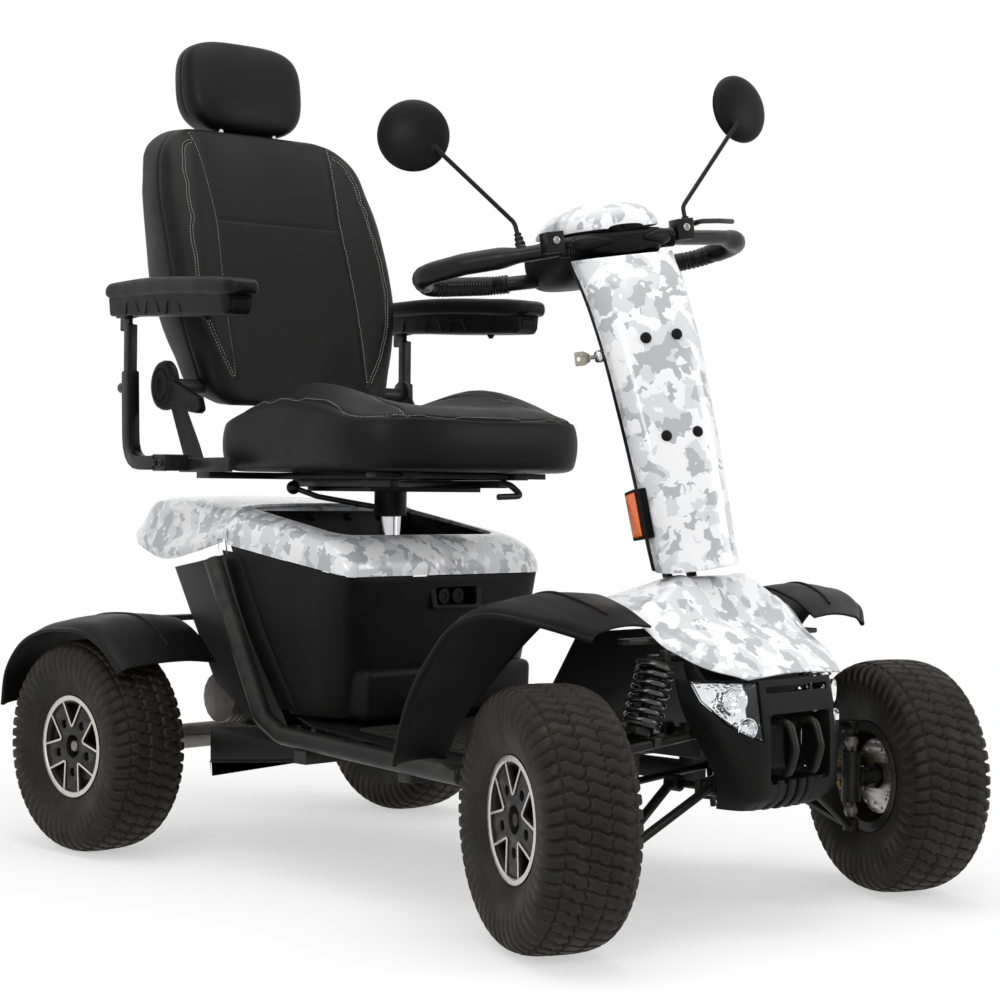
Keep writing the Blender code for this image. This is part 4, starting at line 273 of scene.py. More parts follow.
def tread_depth(turns, over):
    """How far the rubber lies below the blocks' tops, by turns in block pitches and metres across the crown."""
    pitch = 1.2045 / BLOCKS_ROUND
    wave = np.clip(1.7 * np.sin(2 * np.pi * turns), -1, 1)
    lane = (over + 0.0016 * wave) / LANE
    index = np.clip(np.round(lane), -1, 1)
    local = lane - index
    bend = 0.17 * np.clip(local * 7.0, -1, 1)
    phase = turns + 0.5 * np.abs(index) + bend
    cross = np.abs(phase - np.round(phase)) * pitch
    width = 0.0017 + 0.0016 * step(np.abs(local), 0.22, 0.34)
    cut = 1.0 - step(cross, width - 0.0007, width + 0.0011)
    lane_cut = 1.0 - step(np.abs(np.abs(local) - 0.5) * LANE, 0.0009, 0.0024)
    crown = np.maximum(cut, lane_cut)
    slant = turns + 0.25 + 4.0 * np.abs(over) + 0.08 * np.sin(40 * over)
    lug = np.abs(slant - np.round(slant)) * pitch
    lug_cut = (1.0 - step(lug, 0.0018, 0.0040)) * (1.0 - step(np.abs(over), 0.078, 0.100))
    rib_cut = 0.22 * (1.0 - step(lug, 0.0020, 0.0060)) * (1.0 - step(np.abs(over), 0.100, 0.122))
    edge_cut = 1.0 - step(np.abs(np.abs(over) - 1.5 * LANE), 0.0012, 0.0030)
    shoulder = np.maximum(np.maximum(lug_cut, rib_cut), edge_cut)
    outer = np.abs(over) > 1.5 * LANE
    return GROOVE_DEPTH * np.where(outer, shoulder, crown)


def tyre_mesh():
    """One tyre about the Y axis at the origin, with its groove depth kept as an attribute."""
    half = np.array([
        (0.19165, 0.0), (0.19150, 0.018), (0.19030, 0.036), (0.18740, 0.050), (0.1825, 0.0605), (0.1755, 0.0680),
        (0.1660, 0.0722), (0.1540, 0.0738), (0.1400, 0.0730), (0.1250, 0.0694), (0.1100, 0.0640), (0.0985, 0.0580),
        (0.0935, 0.0545), (0.0905, 0.0525),
    ])
    profile = np.concatenate([half[::-1] * (1, -1), half[1:]])
    length = np.concatenate([[0.0], np.cumsum(np.linalg.norm(np.diff(profile, axis=0), axis=1))])
    length -= length[-1] / 2
    fine = np.arange(-0.098, 0.0981, 0.00178)
    wall = np.linspace(0.101, length[-1], 17)
    over = np.concatenate([-wall[::-1], fine, wall])
    radius, across = np.interp(over, length, profile[:, 0]), np.interp(over, length, profile[:, 1])
    for _ in range(3):
        radius[1:-1] = (radius[:-2] + 2 * radius[1:-1] + radius[2:]) / 4
        across[1:-1] = (across[:-2] + 2 * across[1:-1] + across[2:]) / 4
    along = np.stack([np.gradient(radius), np.gradient(across)], axis=1)
    along /= np.linalg.norm(along, axis=1, keepdims=True)
    outward = np.stack([along[:, 1], -along[:, 0]], axis=1)
    around = BLOCKS_ROUND * 12
    turns = np.arange(around)[:, None] * BLOCKS_ROUND / around
    depth = tread_depth(turns, over[None, :])
    rings = 0.0004 * np.exp(-((np.abs(over) - 0.140) / 0.0015) ** 2) + 0.0004 * np.exp(-((np.abs(over) - 0.152) / 0.0015) ** 2)
    depth = depth + rings[None, :]
    r = radius[None, :] - depth * outward[None, :, 0]
    h = across[None, :] - depth * outward[None, :, 1]
    inner_r = np.tile([0.0790, 0.0773, 0.0773, 0.0790], (around, 1))
    inner_h = np.tile([0.0515, 0.0480, -0.0480, -0.0515], (around, 1))
    r, h = np.concatenate([r, inner_r], axis=1), np.concatenate([h, inner_h], axis=1)
    angle = 2 * np.pi * np.arange(around)[:, None] / around
    points = np.stack([r * np.cos(angle), h, r * np.sin(angle)], axis=2).reshape(-1, 3)
    wide = r.shape[1]
    i, j = np.meshgrid(np.arange(around), np.arange(wide), indexing="ij")
    a, b = i * wide + j, i * wide + (j + 1) % wide
    c, d = (i + 1) % around * wide + (j + 1) % wide, (i + 1) % around * wide + j
    faces = np.stack([a, b, c, d], axis=2).reshape(-1, 4)
    mesh = bpy.data.meshes.new("tyre")
    mesh.from_pydata(points.tolist(), [], faces.tolist())
    full = np.concatenate([depth / GROOVE_DEPTH, np.zeros((around, 4))], axis=1).ravel()
    mesh.attributes.new("groove", "FLOAT", "POINT").data.foreach_set("value", full.astype(np.float32))
    mesh.shade_smooth()
    return mesh


steered = Matrix.Rotation(math.radians(-22.9), 4, "Z")
wheels = {
    "rear_R": (Matrix.Translation((-0.56285, -0.3790, 0.1917)), -1, "rear_wheel_R"),
    "rear_L": (Matrix.Translation((-0.56285, 0.3790, 0.1917)), 1, "rear_wheel_L"),
    "front_R": (Matrix.Translation((0.57905, -0.38350, 0.1917)) @ steered, -1, "front_wheel_R"),
    "front_L": (Matrix.Translation((0.64325, 0.38350, 0.1917)) @ steered, 1, "front_wheel_L"),
}
turf = tyre_mesh()
outside_in = turf.polygons[0]
if outside_in.normal.dot(Vector(outside_in.center) - Vector((outside_in.center.x * 0.8, 0, outside_in.center.z * 0.8))) < 0:
    turf.flip_normals()
for label, (hub, side, body) in wheels.items():
    mesh = turf.copy()
    mesh.transform(hub @ Matrix.Rotation(0.05 * side, 4, "Y"))
    put(linked("turf_tyre_" + label, mesh), rubber, body, "tyre_rubber", label.split("_")[0] + "_tyre_" + label[-1])

# Rims: cast alloy in gloss black, their five V-shaped spokes and outer lip machined bright,
# with nuts in deep holes between the spokes and a steel brake disc behind.
gloss_black, tree, shader = finish("gloss_black_alloy", (0.004, 0.004, 0.004), 0.30, specular=0.16, coat=0.04)
settled = use(tree, dust, Top=0.8, Amount=0.25)
tinted(tree, shader, (0.009, 0.009, 0.009), (0.08, 0.065, 0.045), settled)
bumped(tree, shader, use(tree, grain, Scale=900.0, Cells=0.3), 0.1, 0.0002)
machined, tree, shader = finish("machined_alloy", (0.66, 0.64, 0.60), 0.34, metallic=1.0)
place = node(tree, "ShaderNodeTexCoord").outputs["Object"]
scratch = node(tree, "ShaderNodeTexNoise", {"Vector": place, "Scale": 160.0, "Detail": 6.0, "Roughness": 0.7})
tinted(tree, shader, (0.70, 0.68, 0.64), (0.46, 0.44, 0.40), scratch.outputs["Fac"])
rough_cloud(tree, shader, 0.26, 0.42, 90.0)
bumped(tree, shader, scratch.outputs["Fac"], 0.12, 0.0003)


def applied(obj):
    """Applies every modifier of a piece."""
    bpy.ops.object.select_all(action="DESELECT")
    obj.select_set(True)
    bpy.context.view_layer.objects.active = obj
    for item in list(obj.modifiers):
        bpy.ops.object.modifier_apply(modifier=item.name)
    return obj


def modifier(obj, kind, **values):
    """Adds a modifier and sets its values."""
    made = obj.modifiers.new(kind.title(), kind)
    for key, value in values.items():
        setattr(made, key, value)
    return made


def turned(name, profile, steps=64, placed=Matrix.Identity(4)):
    """A closed profile of (radius, height) turned about Z on a lathe, then placed."""
    mesh = bpy.data.meshes.new(name)
    count = len(profile)
    mesh.from_pydata([(r, 0.0, h) for r, h in profile], [(i, (i + 1) % count) for i in range(count)], [])
    obj = linked(name, mesh)
    modifier(obj, "SCREW", steps=steps, render_steps=steps, use_merge_vertices=True, merge_threshold=0.00002)
    applied(obj)
    faced_out(obj)
    obj.data.transform(placed)
    return smooth(obj)


def faced_out(obj):
    """Welds a piece and turns its faces outward."""
    bm = bmesh.new()
    bm.from_mesh(obj.data)
    bmesh.ops.remove_doubles(bm, verts=bm.verts, dist=0.00001)
    bmesh.ops.recalc_face_normals(bm, faces=bm.faces)
    if bm.calc_volume(signed=True) < 0:
        bmesh.ops.reverse_faces(bm, faces=bm.faces)
    bm.to_mesh(obj.data)
    bm.free()
    return obj


def flat_plate(name, outline, thickness, holes=(), placed=Matrix.Identity(4), rim=0.0006):
    """A flat outline with holes cut from sheet, its edges rounded, then placed."""
    curve = bpy.data.curves.new(name, "CURVE")
    curve.dimensions = "2D"
    curve.fill_mode = "BOTH"
    curve.extrude = max(thickness / 2 - rim, 0.00005)
    curve.bevel_depth = rim
    curve.bevel_resolution = 1
    curve.offset = -rim
    for loop in (outline, *holes):
        spline = curve.splines.new("POLY")
        spline.points.add(len(loop) - 1)
        for at, point in zip(spline.points, loop):
            at.co = (point[0], point[1], 0.0, 1.0)
        spline.use_cyclic_u = True
    obj = linked(name, curve)
    bpy.ops.object.convert(target="MESH")
    obj = bpy.context.object
    faced_out(obj)
    obj.data.transform(placed)
    return smooth(obj)


def polar(radius, degrees):
    """A point of a plane by radius and angle."""
    return radius * math.cos(math.radians(degrees)), radius * math.sin(math.radians(degrees))


def circle(radius, count=32, centre=(0.0, 0.0)):
    """Points of a circle in a plane."""
    return [(centre[0] + polar(radius, 360 * i / count)[0], centre[1] + polar(radius, 360 * i / count)[1]) for i in range(count)]


def softened(corners, radius, steps=5, closed=False):
    """A path through corners whose bends follow arcs; works in a plane or in space."""
    corners = [Vector(c) for c in corners]
    ring = [corners[-1], *corners, corners[0]] if closed else corners
    path = [] if closed else [corners[0]]
    for before, corner, after in zip(ring, ring[1:], ring[2:]):
        inward, outward = (before - corner).normalized(), (after - corner).normalized()
        half = max(inward.angle(outward) / 2, 0.01)
        reach = min(radius / math.tan(half), 0.45 * min((before - corner).length, (after - corner).length))
        first, last = corner + inward * reach, corner + outward * reach
        for number in range(steps + 1):
            t = number / steps
            path.append(first * (1 - t) ** 2 + corner * 2 * t * (1 - t) + last * t * t)
    return path if closed else path + [corners[-1]]


def joined(name, objects):
    """Several pieces made one."""
    bpy.ops.object.select_all(action="DESELECT")
    for obj in objects:
        obj.select_set(True)
    bpy.context.view_layer.objects.active = objects[0]
    if len(objects) > 1:
        bpy.ops.object.join()
    objects[0].name = name
    objects[0].data.name = name
    return objects[0]


def band(path, width):
    """The outline of a strip that follows a path in a plane."""
    left, right = [], []
    for index, point in enumerate(path):
        before, after = path[max(index - 1, 0)], path[min(index + 1, len(path) - 1)]
        along = (after - before).normalized()
        normal = Vector((-along.y, along.x))
        left.append(point + normal * width / 2)
        right.append(point - normal * width / 2)
    return left + right[::-1]


for label, (hub, side, body) in wheels.items():
    lying = hub @ Matrix.Rotation(-side * math.pi / 2, 4, "X")
    barrel = [
        (0.0912, 0.0545), (0.0912, 0.0520), (0.0800, 0.0500), (0.0762, 0.0440), (0.0762, -0.0480), (0.0800, -0.0510),
        (0.0912, -0.0535), (0.0912, -0.0552), (0.0760, -0.0552), (0.0725, -0.0500), (0.0725, 0.0370), (0.0810, 0.0450), (0.0830, 0.0545),
    ]
    rim_pieces = [turned("rim_barrel", barrel, 96, lying)]
    windows = [circle(0.0205, 40)]
    for spoke in range(5):
        middle = 90 + 72 * spoke
        corners = [polar(0.0375, middle), polar(0.0800, middle - 17.5), polar(0.0806, middle - 8), polar(0.0806, middle + 8), polar(0.0800, middle + 17.5)]
        windows.append(softened([Vector(c) for c in corners], 0.0030, 3, closed=True))
        windows.append(circle(0.0080, 24, polar(0.0470, middle + 36)))
    face = flat_plate("rim_face", circle(0.0825, 96), 0.0060, windows, lying @ Matrix.Translation((0, 0, 0.0480)), 0.0008)
    hub_ring = [(0.0262, 0.0480), (0.0262, -0.0200), (0.0205, -0.0200), (0.0205, 0.0500), (0.0212, 0.0512), (0.0250, 0.0512)]
    rim_pieces += [face, turned("rim_hub", hub_ring, 48, lying)]
    for spoke in range(5):
        nut = lying @ Matrix.Translation((*polar(0.0470, 126 + 72 * spoke), 0.0435))
        rim_pieces.append(turned("nut", [(0.0, 0.0035), (0.0045, 0.0030), (0.0060, 0.0010), (0.0060, -0.0020), (0.0, -0.0020)], 6, nut))
    rim = joined("alloy_rim_" + label, rim_pieces)
    put(rim, gloss_black, body, "black_alloy", label.split("_")[0] + "_rim_" + label[-1])
    lip = [(0.0915, 0.0548), (0.0915, 0.0556), (0.0905, 0.0562), (0.0842, 0.0562), (0.0822, 0.0544), (0.0822, 0.0530)]
    bright = [turned("rim_lip", lip, 96, lying)]
    for spoke in range(5):
        middle = 90 + 72 * spoke
        corners = [polar(0.0832, middle - 20.0), polar(0.0335, middle), polar(0.0832, middle + 20.0)]
        path = softened([Vector(c) for c in corners], 0.0045, 5)
        strip = flat_plate("spoke_edge", band(path, 0.0040), 0.0030, (), Matrix.Translation((0, 0, 0.0525)), 0.0007)
        strip.data.transform(lying)
        bright.append(strip)
    put(joined("machined_spokes_" + label, bright), machined, body, "cast_alloy")
    disc = flat_plate("brake_disc", circle(0.0620, 72), 0.0035, [circle(0.0205, 32)] + [circle(0.0025, 10, polar(0.046 + 0.008 * (n % 2), 24 * n)) for n in range(15)],
                      lying @ Matrix.Translation((0, 0, -0.0320)), 0.0004)
    disc.name = "brake_disc_" + label
    put(disc, machined, body, "cast_alloy")

# Chassis: square steel rails, shelves and brackets, powder-coated satin black; the floor's side
# tubes and the tow loops are bent round bar, welded on and coated with the rest.
steel, tree, shader = finish("powder_coated_steel", (0.004, 0.004, 0.004), 0.36, specular=0.18)
settled = use(tree, dust, Top=0.7, Amount=0.35)
worn = use(tree, wear, Amount=0.5)
under = tinted(tree, shader, (0.0038, 0.0038, 0.0038), (0.044, 0.037, 0.027), settled)
tinted(tree, shader, under, (0.09, 0.09, 0.088), worn)
bumped(tree, shader, use(tree, grain, Scale=500.0, Cells=0.25), 0.16, 0.0003)
rough_cloud(tree, shader, 0.28, 0.46, 30.0)


def dressed(node_name, name, width=0.0012, segments=2, angle=30.0, shade=40.0):
    """A copy of a CAD node with its faces joined again and its sharp edges rounded."""
    obj = linked(name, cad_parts[node_name].data.copy())
    obj.data.name = name
    bm = bmesh.new()
    bm.from_mesh(obj.data)
    bmesh.ops.remove_doubles(bm, verts=bm.verts, dist=0.00002)
    bmesh.ops.dissolve_limit(bm, angle_limit=math.radians(0.4), verts=bm.verts, edges=bm.edges)
    bm.to_mesh(obj.data)
    bm.free()
    modifier(obj, "BEVEL", width=width, segments=segments, limit_method="ANGLE", angle_limit=math.radians(angle),
             use_clamp_overlap=False, harden_normals=False)
    applied(obj)
    return smooth(obj, shade)


def round_bar(name, path, radius, sides=20, radii=None, closed=False, placed=None):
    """A round bar along a path of points, its ends capped; radii may vary it from point to point."""
    curve = bpy.data.curves.new(name, "CURVE")
    curve.dimensions = "3D"
    curve.bevel_depth = radius
    curve.bevel_resolution = max(sides // 4 - 1, 1)
    curve.use_fill_caps = not closed
    spline = curve.splines.new("POLY")
    spline.points.add(len(path) - 1)
    for number, (at, point) in enumerate(zip(spline.points, path)):
        at.co = (*point, 1.0)
        at.radius = 1.0 if radii is None else radii[number]
    spline.use_cyclic_u = closed
    obj = linked(name, curve)
    bpy.ops.object.convert(target="MESH")
    obj = bpy.context.object
    faced_out(obj)
    if placed is not None:
        obj.data.transform(placed)
    return smooth(obj, 50.0)


standing = Matrix.Translation((0.02415, 0.0, 0.0))
put(dressed("chassis_frame", "welded_frame", 0.0010, 1), steel, "frame", "black_steel", "chassis_frame")
for label, s in (("R", -1), ("L", 1)):
    corners = [(-0.398, s * 0.262, 0.530), (-0.236, s * 0.274, 0.262), (-0.170, s * 0.284, 0.238), (0.150, s * 0.305, 0.226), (0.316, s * 0.322, 0.222)]
    put(round_bar("side_tube_" + label, softened(corners, 0.05, 8), 0.0165, 24, placed=standing), steel, "frame", "black_steel")
    corners = [(0.652, s * 0.031, 0.316), (0.716, s * 0.031, 0.316), (0.728, s * 0.031, 0.277), (0.716, s * 0.031, 0.238), (0.652, s * 0.031, 0.238)]
    put(round_bar("tow_loop_" + label, softened(corners, 0.018, 7), 0.0062, 20, placed=standing), steel, "frame", "black_steel")

# Drive: a cast alloy gearbox and motor between the rear wheels, dull and dusty, and two sealed
# batteries in ribbed black cases under the deck.
cast, tree, shader = finish("cast_alloy", (0.30, 0.295, 0.285), 0.55, metallic=0.85)
tinted(tree, shader, (0.27, 0.265, 0.255), (0.12, 0.10, 0.075), use(tree, dust, Top=0.7, Amount=0.9))
bumped(tree, shader, use(tree, grain, Scale=420.0, Cells=0.6), 0.4, 0.0005)
put(dressed("transaxle", "drive_unit", 0.003, 3), cast, "frame", "cast_alloy", "transaxle")
fins = [turned("fin", [(0.0500, 0.0012), (0.0500, -0.0012), (0.0460, -0.0012), (0.0460, 0.0012)], 48,
               Matrix.Translation((-0.50285, y, 0.2667)) @ Matrix.Rotation(math.pi / 2, 4, "X")) for y in np.arange(-0.138, 0.066, 0.012)]
put(joined("motor_fins", fins), cast, "frame", "cast_alloy")
case_black, tree, shader = finish("battery_case", (0.02, 0.02, 0.022), 0.5, specular=0.35)
bumped(tree, shader, use(tree, grain, Scale=350.0, Cells=0.7), 0.25, 0.0004)
rough_cloud(tree, shader, 0.4, 0.6, 40.0)
for label in ("R", "L"):
    put(dressed("battery_" + label, "sealed_battery_" + label, 0.003, 3), case_black, "frame", "battery_case", "battery_" + label)

# Front suspension: welded A-arms on pins, coil-over units between the upper arms and the frame,
# kingpins with ball ends, and knuckles that carry gold-coated calipers over the discs.
gold, tree, shader = finish("gold_caliper", (0.24, 0.13, 0.022), 0.45, metallic=0.6)
tinted(tree, shader, (0.26, 0.145, 0.025), (0.07, 0.05, 0.025), use(tree, dust, Top=0.45, Amount=1.0))
bumped(tree, shader, use(tree, grain, Scale=500.0, Cells=0.4), 0.3, 0.0004)
spring_black, tree, shader = finish("gloss_black_spring", (0.008, 0.008, 0.008), 0.16, specular=0.6, coat=0.4)
tinted(tree, shader, (0.007, 0.007, 0.007), (0.05, 0.042, 0.03), use(tree, dust, Top=0.6, Amount=0.3))
hose_black, tree, shader = finish("corrugated_hose", (0.012, 0.012, 0.012), 0.5, specular=0.3)
bumped(tree, shader, use(tree, grain, Scale=700.0, Cells=0.3), 0.2, 0.0003)


def lathe_bar(name, profile, start, end, steps=32):
    """A turned shape whose profile runs as (radius, share of the way) from one point to another."""
    start, end = Vector(start), Vector(end)
    length = (end - start).length
    lie = Matrix.Translation(start) @ (end - start).to_track_quat("Z", "Y").to_matrix().to_4x4()
    closed = [(0.0, profile[0][1] * length)] + [(r, share * length) for r, share in profile] + [(0.0, profile[-1][1] * length)]
    return turned(name, closed, steps, lie)


for label, s in (("R", -1), ("L", 1)):
    base, top = Vector((0.60315, s * 0.212, 0.310)), Vector((0.60315, s * 0.178, 0.402))
    lie = Matrix.Translation(base) @ (top - base).to_track_quat("Z", "Y").to_matrix().to_4x4()
    length = (top - base).length
    turns = 6.5
    coil = []
    for number in range(int(turns * 28) + 1):
        share = number / (turns * 28)
        angle = 2 * math.pi * turns * share
        rise = 0.0060 + (length - 0.0120) * min(max(share * 1.08 - 0.04, 0.0), 1.0)
        coil.append(lie @ Vector((0.0270 * math.cos(angle), 0.0270 * math.sin(angle), rise)))
    spring = round_bar("coil_spring_" + label, coil, 0.0043, 12)
    put(spring, spring_black, "frame", "black_steel", "coilover_" + label)
    damper = lathe_bar("damper_" + label, [(0.0300, 0.0), (0.0305, 0.03), (0.0290, 0.06), (0.0075, 0.065), (0.0070, 0.40), (0.0130, 0.41),
                                          (0.0140, 0.44), (0.0140, 0.92), (0.0290, 0.94), (0.0305, 0.97), (0.0300, 1.0)], base, top, 36)
    put(damper, steel, "frame", "black_steel")
    for moving in (spring, damper):
        moving.parent = None
        moving.matrix_world = Matrix.Identity(4)
        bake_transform(moving)
    put(dressed("lower_arm_" + label, "lower_a_arm_" + label, 0.0008), steel, "lower_link_" + label, "black_steel", "lower_arm_" + label)
    put(dressed("upper_arm_" + label, "upper_a_arm_" + label, 0.0008), steel, "upper_link_" + label, "black_steel", "upper_arm_" + label)
    put(dressed("kingpin_" + label, "ball_pin_" + label, 0.0006), cast, "carrier_" + label, "cast_alloy", "kingpin_" + label)
    put(dressed("knuckle_" + label, "steering_knuckle_" + label, 0.0012), steel, "steered_" + label, "black_steel", "knuckle_" + label)
    put(dressed("tie_rod_" + label, "track_rod_bar_" + label, 0.0008), steel, "track_rod_" + label, "black_steel", "tie_rod_" + label)
    knuckle_home = Vector((0.61115, s * 0.3075, 0.1917))
    on_knuckle = Matrix.Translation(knuckle_home) @ steered
    bpy.ops.mesh.primitive_cube_add(size=1.0)
    caliper = bpy.context.object
    caliper.data.transform(Matrix.Diagonal((0.034, 0.026, 0.062, 1.0)))
    modifier(caliper, "BEVEL", width=0.006, segments=3)
    applied(caliper)
    caliper.data.transform(on_knuckle @ Matrix.Translation((-0.0520, s * 0.0270, 0.0)))
    smooth(caliper)
    halves = [caliper]
    for rise in (-0.018, 0.018):
        bolt_at = on_knuckle @ Matrix.Translation((-0.0520, s * 0.0130, rise)) @ Matrix.Rotation(math.pi / 2, 4, "X")
        halves.append(turned("caliper_bolt", [(0.0, 0.006), (0.0062, 0.006), (0.0070, 0.005), (0.0070, -0.006), (0.0, -0.006)], 6, bolt_at))
    put(joined("brake_caliper_" + label, halves), gold, "steered_" + label, "cast_alloy")

# Body box: a satin black moulded skin of fine grain round the batteries. Its front and sides meet in
# soft corners; a foot step juts out below, and a framed charging port is sunk in the front.
plastic, tree, shader = finish("grained_black_plastic", (0.0034, 0.0034, 0.0034), 0.46, specular=0.12)
settled = use(tree, dust, Top=0.6, Amount=0.10)
worn = use(tree, wear, Amount=0.22)
under = tinted(tree, shader, (0.0032, 0.0032, 0.0032), (0.036, 0.031, 0.024), settled)
tinted(tree, shader, under, (0.030, 0.030, 0.030), worn)
bumped(tree, shader, use(tree, grain, Scale=650.0, Cells=0.6), 0.30, 0.0004)
rough_cloud(tree, shader, 0.40, 0.54, 14.0)


def eased(values, steps, breaks=()):
    """Points along a grid's first axis, joined by cubics that don't overshoot; breaks stay sharp."""
    values = np.asarray(values, float)
    chords = np.linalg.norm(np.diff(values, axis=0), axis=-1)
    place = np.concatenate([[0.0], np.cumsum(chords.reshape(len(chords), -1).mean(axis=1) + 1e-9)])
    made = []
    stops = [0, *breaks, len(values) - 1]
    for first, last in zip(stops, stops[1:]):
        t, v = place[first:last + 1], values[first:last + 1]
        h = np.diff(t).reshape((-1,) + (1,) * (v.ndim - 1))
        slope = np.diff(v, axis=0) / h
        m = np.empty_like(v)
        m[0], m[-1] = slope[0], slope[-1]
        if len(v) > 2:
            a, b = slope[:-1], slope[1:]
            wa, wb = h[1:], h[:-1]
            middle = (a * wa + b * wb) / (wa + wb)
            limit = 2.6 * np.minimum(np.abs(a), np.abs(b))
            m[1:-1] = np.where(a * b > 0, np.clip(middle, -limit, limit), 0.0)
        for number in range(len(v) - 1):
            s = (np.arange(steps) / steps).reshape((-1,) + (1,) * (v.ndim - 1))
            gap = h[number]
            made.append((2 * s ** 3 - 3 * s ** 2 + 1) * v[number] + (s ** 3 - 2 * s ** 2 + s) * gap * m[number]
                        + (3 * s ** 2 - 2 * s ** 3) * v[number + 1] + (s ** 3 - s ** 2) * gap * m[number + 1])
    made.append(values[-1:])
    return np.concatenate(made)


def faired(rows, along, across, breaks_along=(), breaks_across=()):
    """A dense grid through a coarse one, along its rows and across them."""
    dense = eased(np.array(rows, float), along, breaks_along)
    return eased(dense.swapaxes(0, 1), across, breaks_across).swapaxes(0, 1)


def mirrored(grid):
    """A grid that starts on the middle line, with its other half added."""
    return np.concatenate([(grid[:, 1:] * (1, -1, 1))[:, ::-1], grid], axis=1)


def shell(name, grid, thickness, outside, rim=0.0008, placed=standing, shade=38.0):
    """A thin moulded wall behind a grid of points, its rim rounded; outside is the way its face looks."""
    high, wide = grid.shape[:2]
    faces = [(r * wide + i, r * wide + i + 1, (r + 1) * wide + i + 1, (r + 1) * wide + i) for r in range(high - 1) for i in range(wide - 1)]
    mesh = bpy.data.meshes.new(name)
    mesh.from_pydata(grid.reshape(-1, 3).tolist(), [], faces)
    mesh.update()
    looks = sum((p.normal * p.area for p in mesh.polygons), Vector())
    if looks.dot(Vector(outside)) < 0:
        mesh.flip_normals()
    obj = linked(name, mesh)
    modifier(obj, "SOLIDIFY", thickness=thickness, offset=-1.0, use_even_offset=True)
    if rim:
        modifier(obj, "BEVEL", width=rim, segments=2, limit_method="ANGLE", angle_limit=math.radians(60), use_clamp_overlap=False)
    applied(obj)
    obj.data.transform(placed)
    return smooth(obj, shade)


def rounded_block(name, size, at, bevel, segments=4, placed=standing, tilt=0.0, yaw=0.0):
    """A block with all its edges rounded, tilted about Y and turned about Z."""
    bpy.ops.mesh.primitive_cube_add(size=1.0)
    obj = bpy.context.object
    obj.name = name
    obj.data.name = name
    obj.data.transform(Matrix.Diagonal((*size, 1.0)))
    modifier(obj, "BEVEL", width=bevel, segments=segments)
    applied(obj)
    obj.data.transform(placed @ Matrix.Translation(at) @ Matrix.Rotation(yaw, 4, "Z") @ Matrix.Rotation(tilt, 4, "Y"))
    return smooth(obj)


def cut(obj, *tools):
    """Cuts tools out of a piece and removes them."""
    for tool in tools:
        modifier(obj, "BOOLEAN", operation="DIFFERENCE", object=tool, solver="EXACT")
    applied(obj)
    for tool in tools:
        bpy.data.objects.remove(tool, do_unlink=True)
    return smooth(obj)


low = [(-0.212, 0.232, 0.268), (-0.180, 0.234, 0.268), (-0.140, 0.229, 0.267), (-0.104, 0.209, 0.266), (-0.086, 0.170, 0.2655), (-0.084, 0.10, 0.265), (-0.084, 0.0, 0.265)]
high = [(-0.378, 0.238, 0.556), (-0.120, 0.2385, 0.5180), (-0.078, 0.2360, 0.5115), (-0.063, 0.2240, 0.5095), (-0.058, 0.190, 0.5085), (-0.056, 0.11, 0.508), (-0.055, 0.0, 0.508)]
rows = []
for share in (0.0, 0.12, 0.35, 0.65, 1.0):
    swell = 0.006 * math.sin(math.pi * share)
    rows.append([(a[0] * (1 - share) + b[0] * share, a[1] * (1 - share) + b[1] * share + (swell if n < 3 else 0.0), a[2] * (1 - share) + b[2] * share)
                 for n, (a, b) in enumerate(zip(low, high))])
grid = faired(rows, 8, 6)[:, ::-1]
box_skin = shell("battery_box_skin", mirrored(grid), 0.0035, (1, 0, 0))
port_hole = rounded_block("port_hole", (0.060, 0.100, 0.034), (-0.055, 0.018, 0.472), 0.006)
cut(box_skin, port_hole)
put(box_skin, plastic, "frame", "black_plastic", "body_box")
put(rounded_block("foot_step", (0.062, 0.402, 0.090), (-0.0785, 0.0, 0.308), 0.014, 5, tilt=math.radians(2)), plastic, "frame", "black_plastic")
port_loop = softened([Vector(c) for c in ((-0.058, -0.023), (0.058, -0.023), (0.064, 0.023), (-0.064, 0.023))], 0.007, 4, closed=True)
port_inner = softened([Vector(c) for c in ((-0.048, -0.016), (0.048, -0.016), (0.050, 0.016), (-0.050, 0.016))], 0.006, 4, closed=True)
facing_front = Matrix.Rotation(math.pi / 2, 4, "Z") @ Matrix.Rotation(math.pi / 2, 4, "X")
lean = Matrix.Rotation(math.radians(-6.5), 4, "Y")
at_port = standing @ Matrix.Translation((-0.0590, 0.018, 0.4720)) @ lean
port_frame = flat_plate("charging_port_frame", port_loop, 0.005, [port_inner], at_port @ facing_front, 0.0012)
port_back = rounded_block("charging_port_well", (0.004, 0.124, 0.056), (-0.082, 0.018, 0.472), 0.001, 2)
sockets = [turned("port_socket", [(0.0, 0.010), (0.0060, 0.010), (0.0070, 0.012), (0.0130, 0.012), (0.0140, 0.010), (0.0140, 0.0), (0.0, 0.0)], 40,
                  standing @ Matrix.Translation((-0.082, 0.018 + y, 0.472)) @ Matrix.Rotation(math.pi / 2, 4, "Y")) for y in (-0.018, 0.016)]
put(joined("charging_port", [port_frame, port_back, *sockets]), plastic, "frame", "black_plastic")
for label, s in (("R", -1), ("L", 1)):
    strip = np.array([[(-0.402, s * 0.2400, 0.5480), (-0.352, s * 0.2395, 0.5440)], [(-0.3190, s * 0.2480, 0.4120), (-0.2720, s * 0.2440, 0.4120)],
                      [(-0.2350, s * 0.2390, 0.2750), (-0.1900, s * 0.2360, 0.2750)]])
    trim = shell("side_trim_" + label, faired(strip, 8, 3), 0.005, (0, s, 0), 0.0015)
    put(trim, plastic, "frame", "black_plastic")

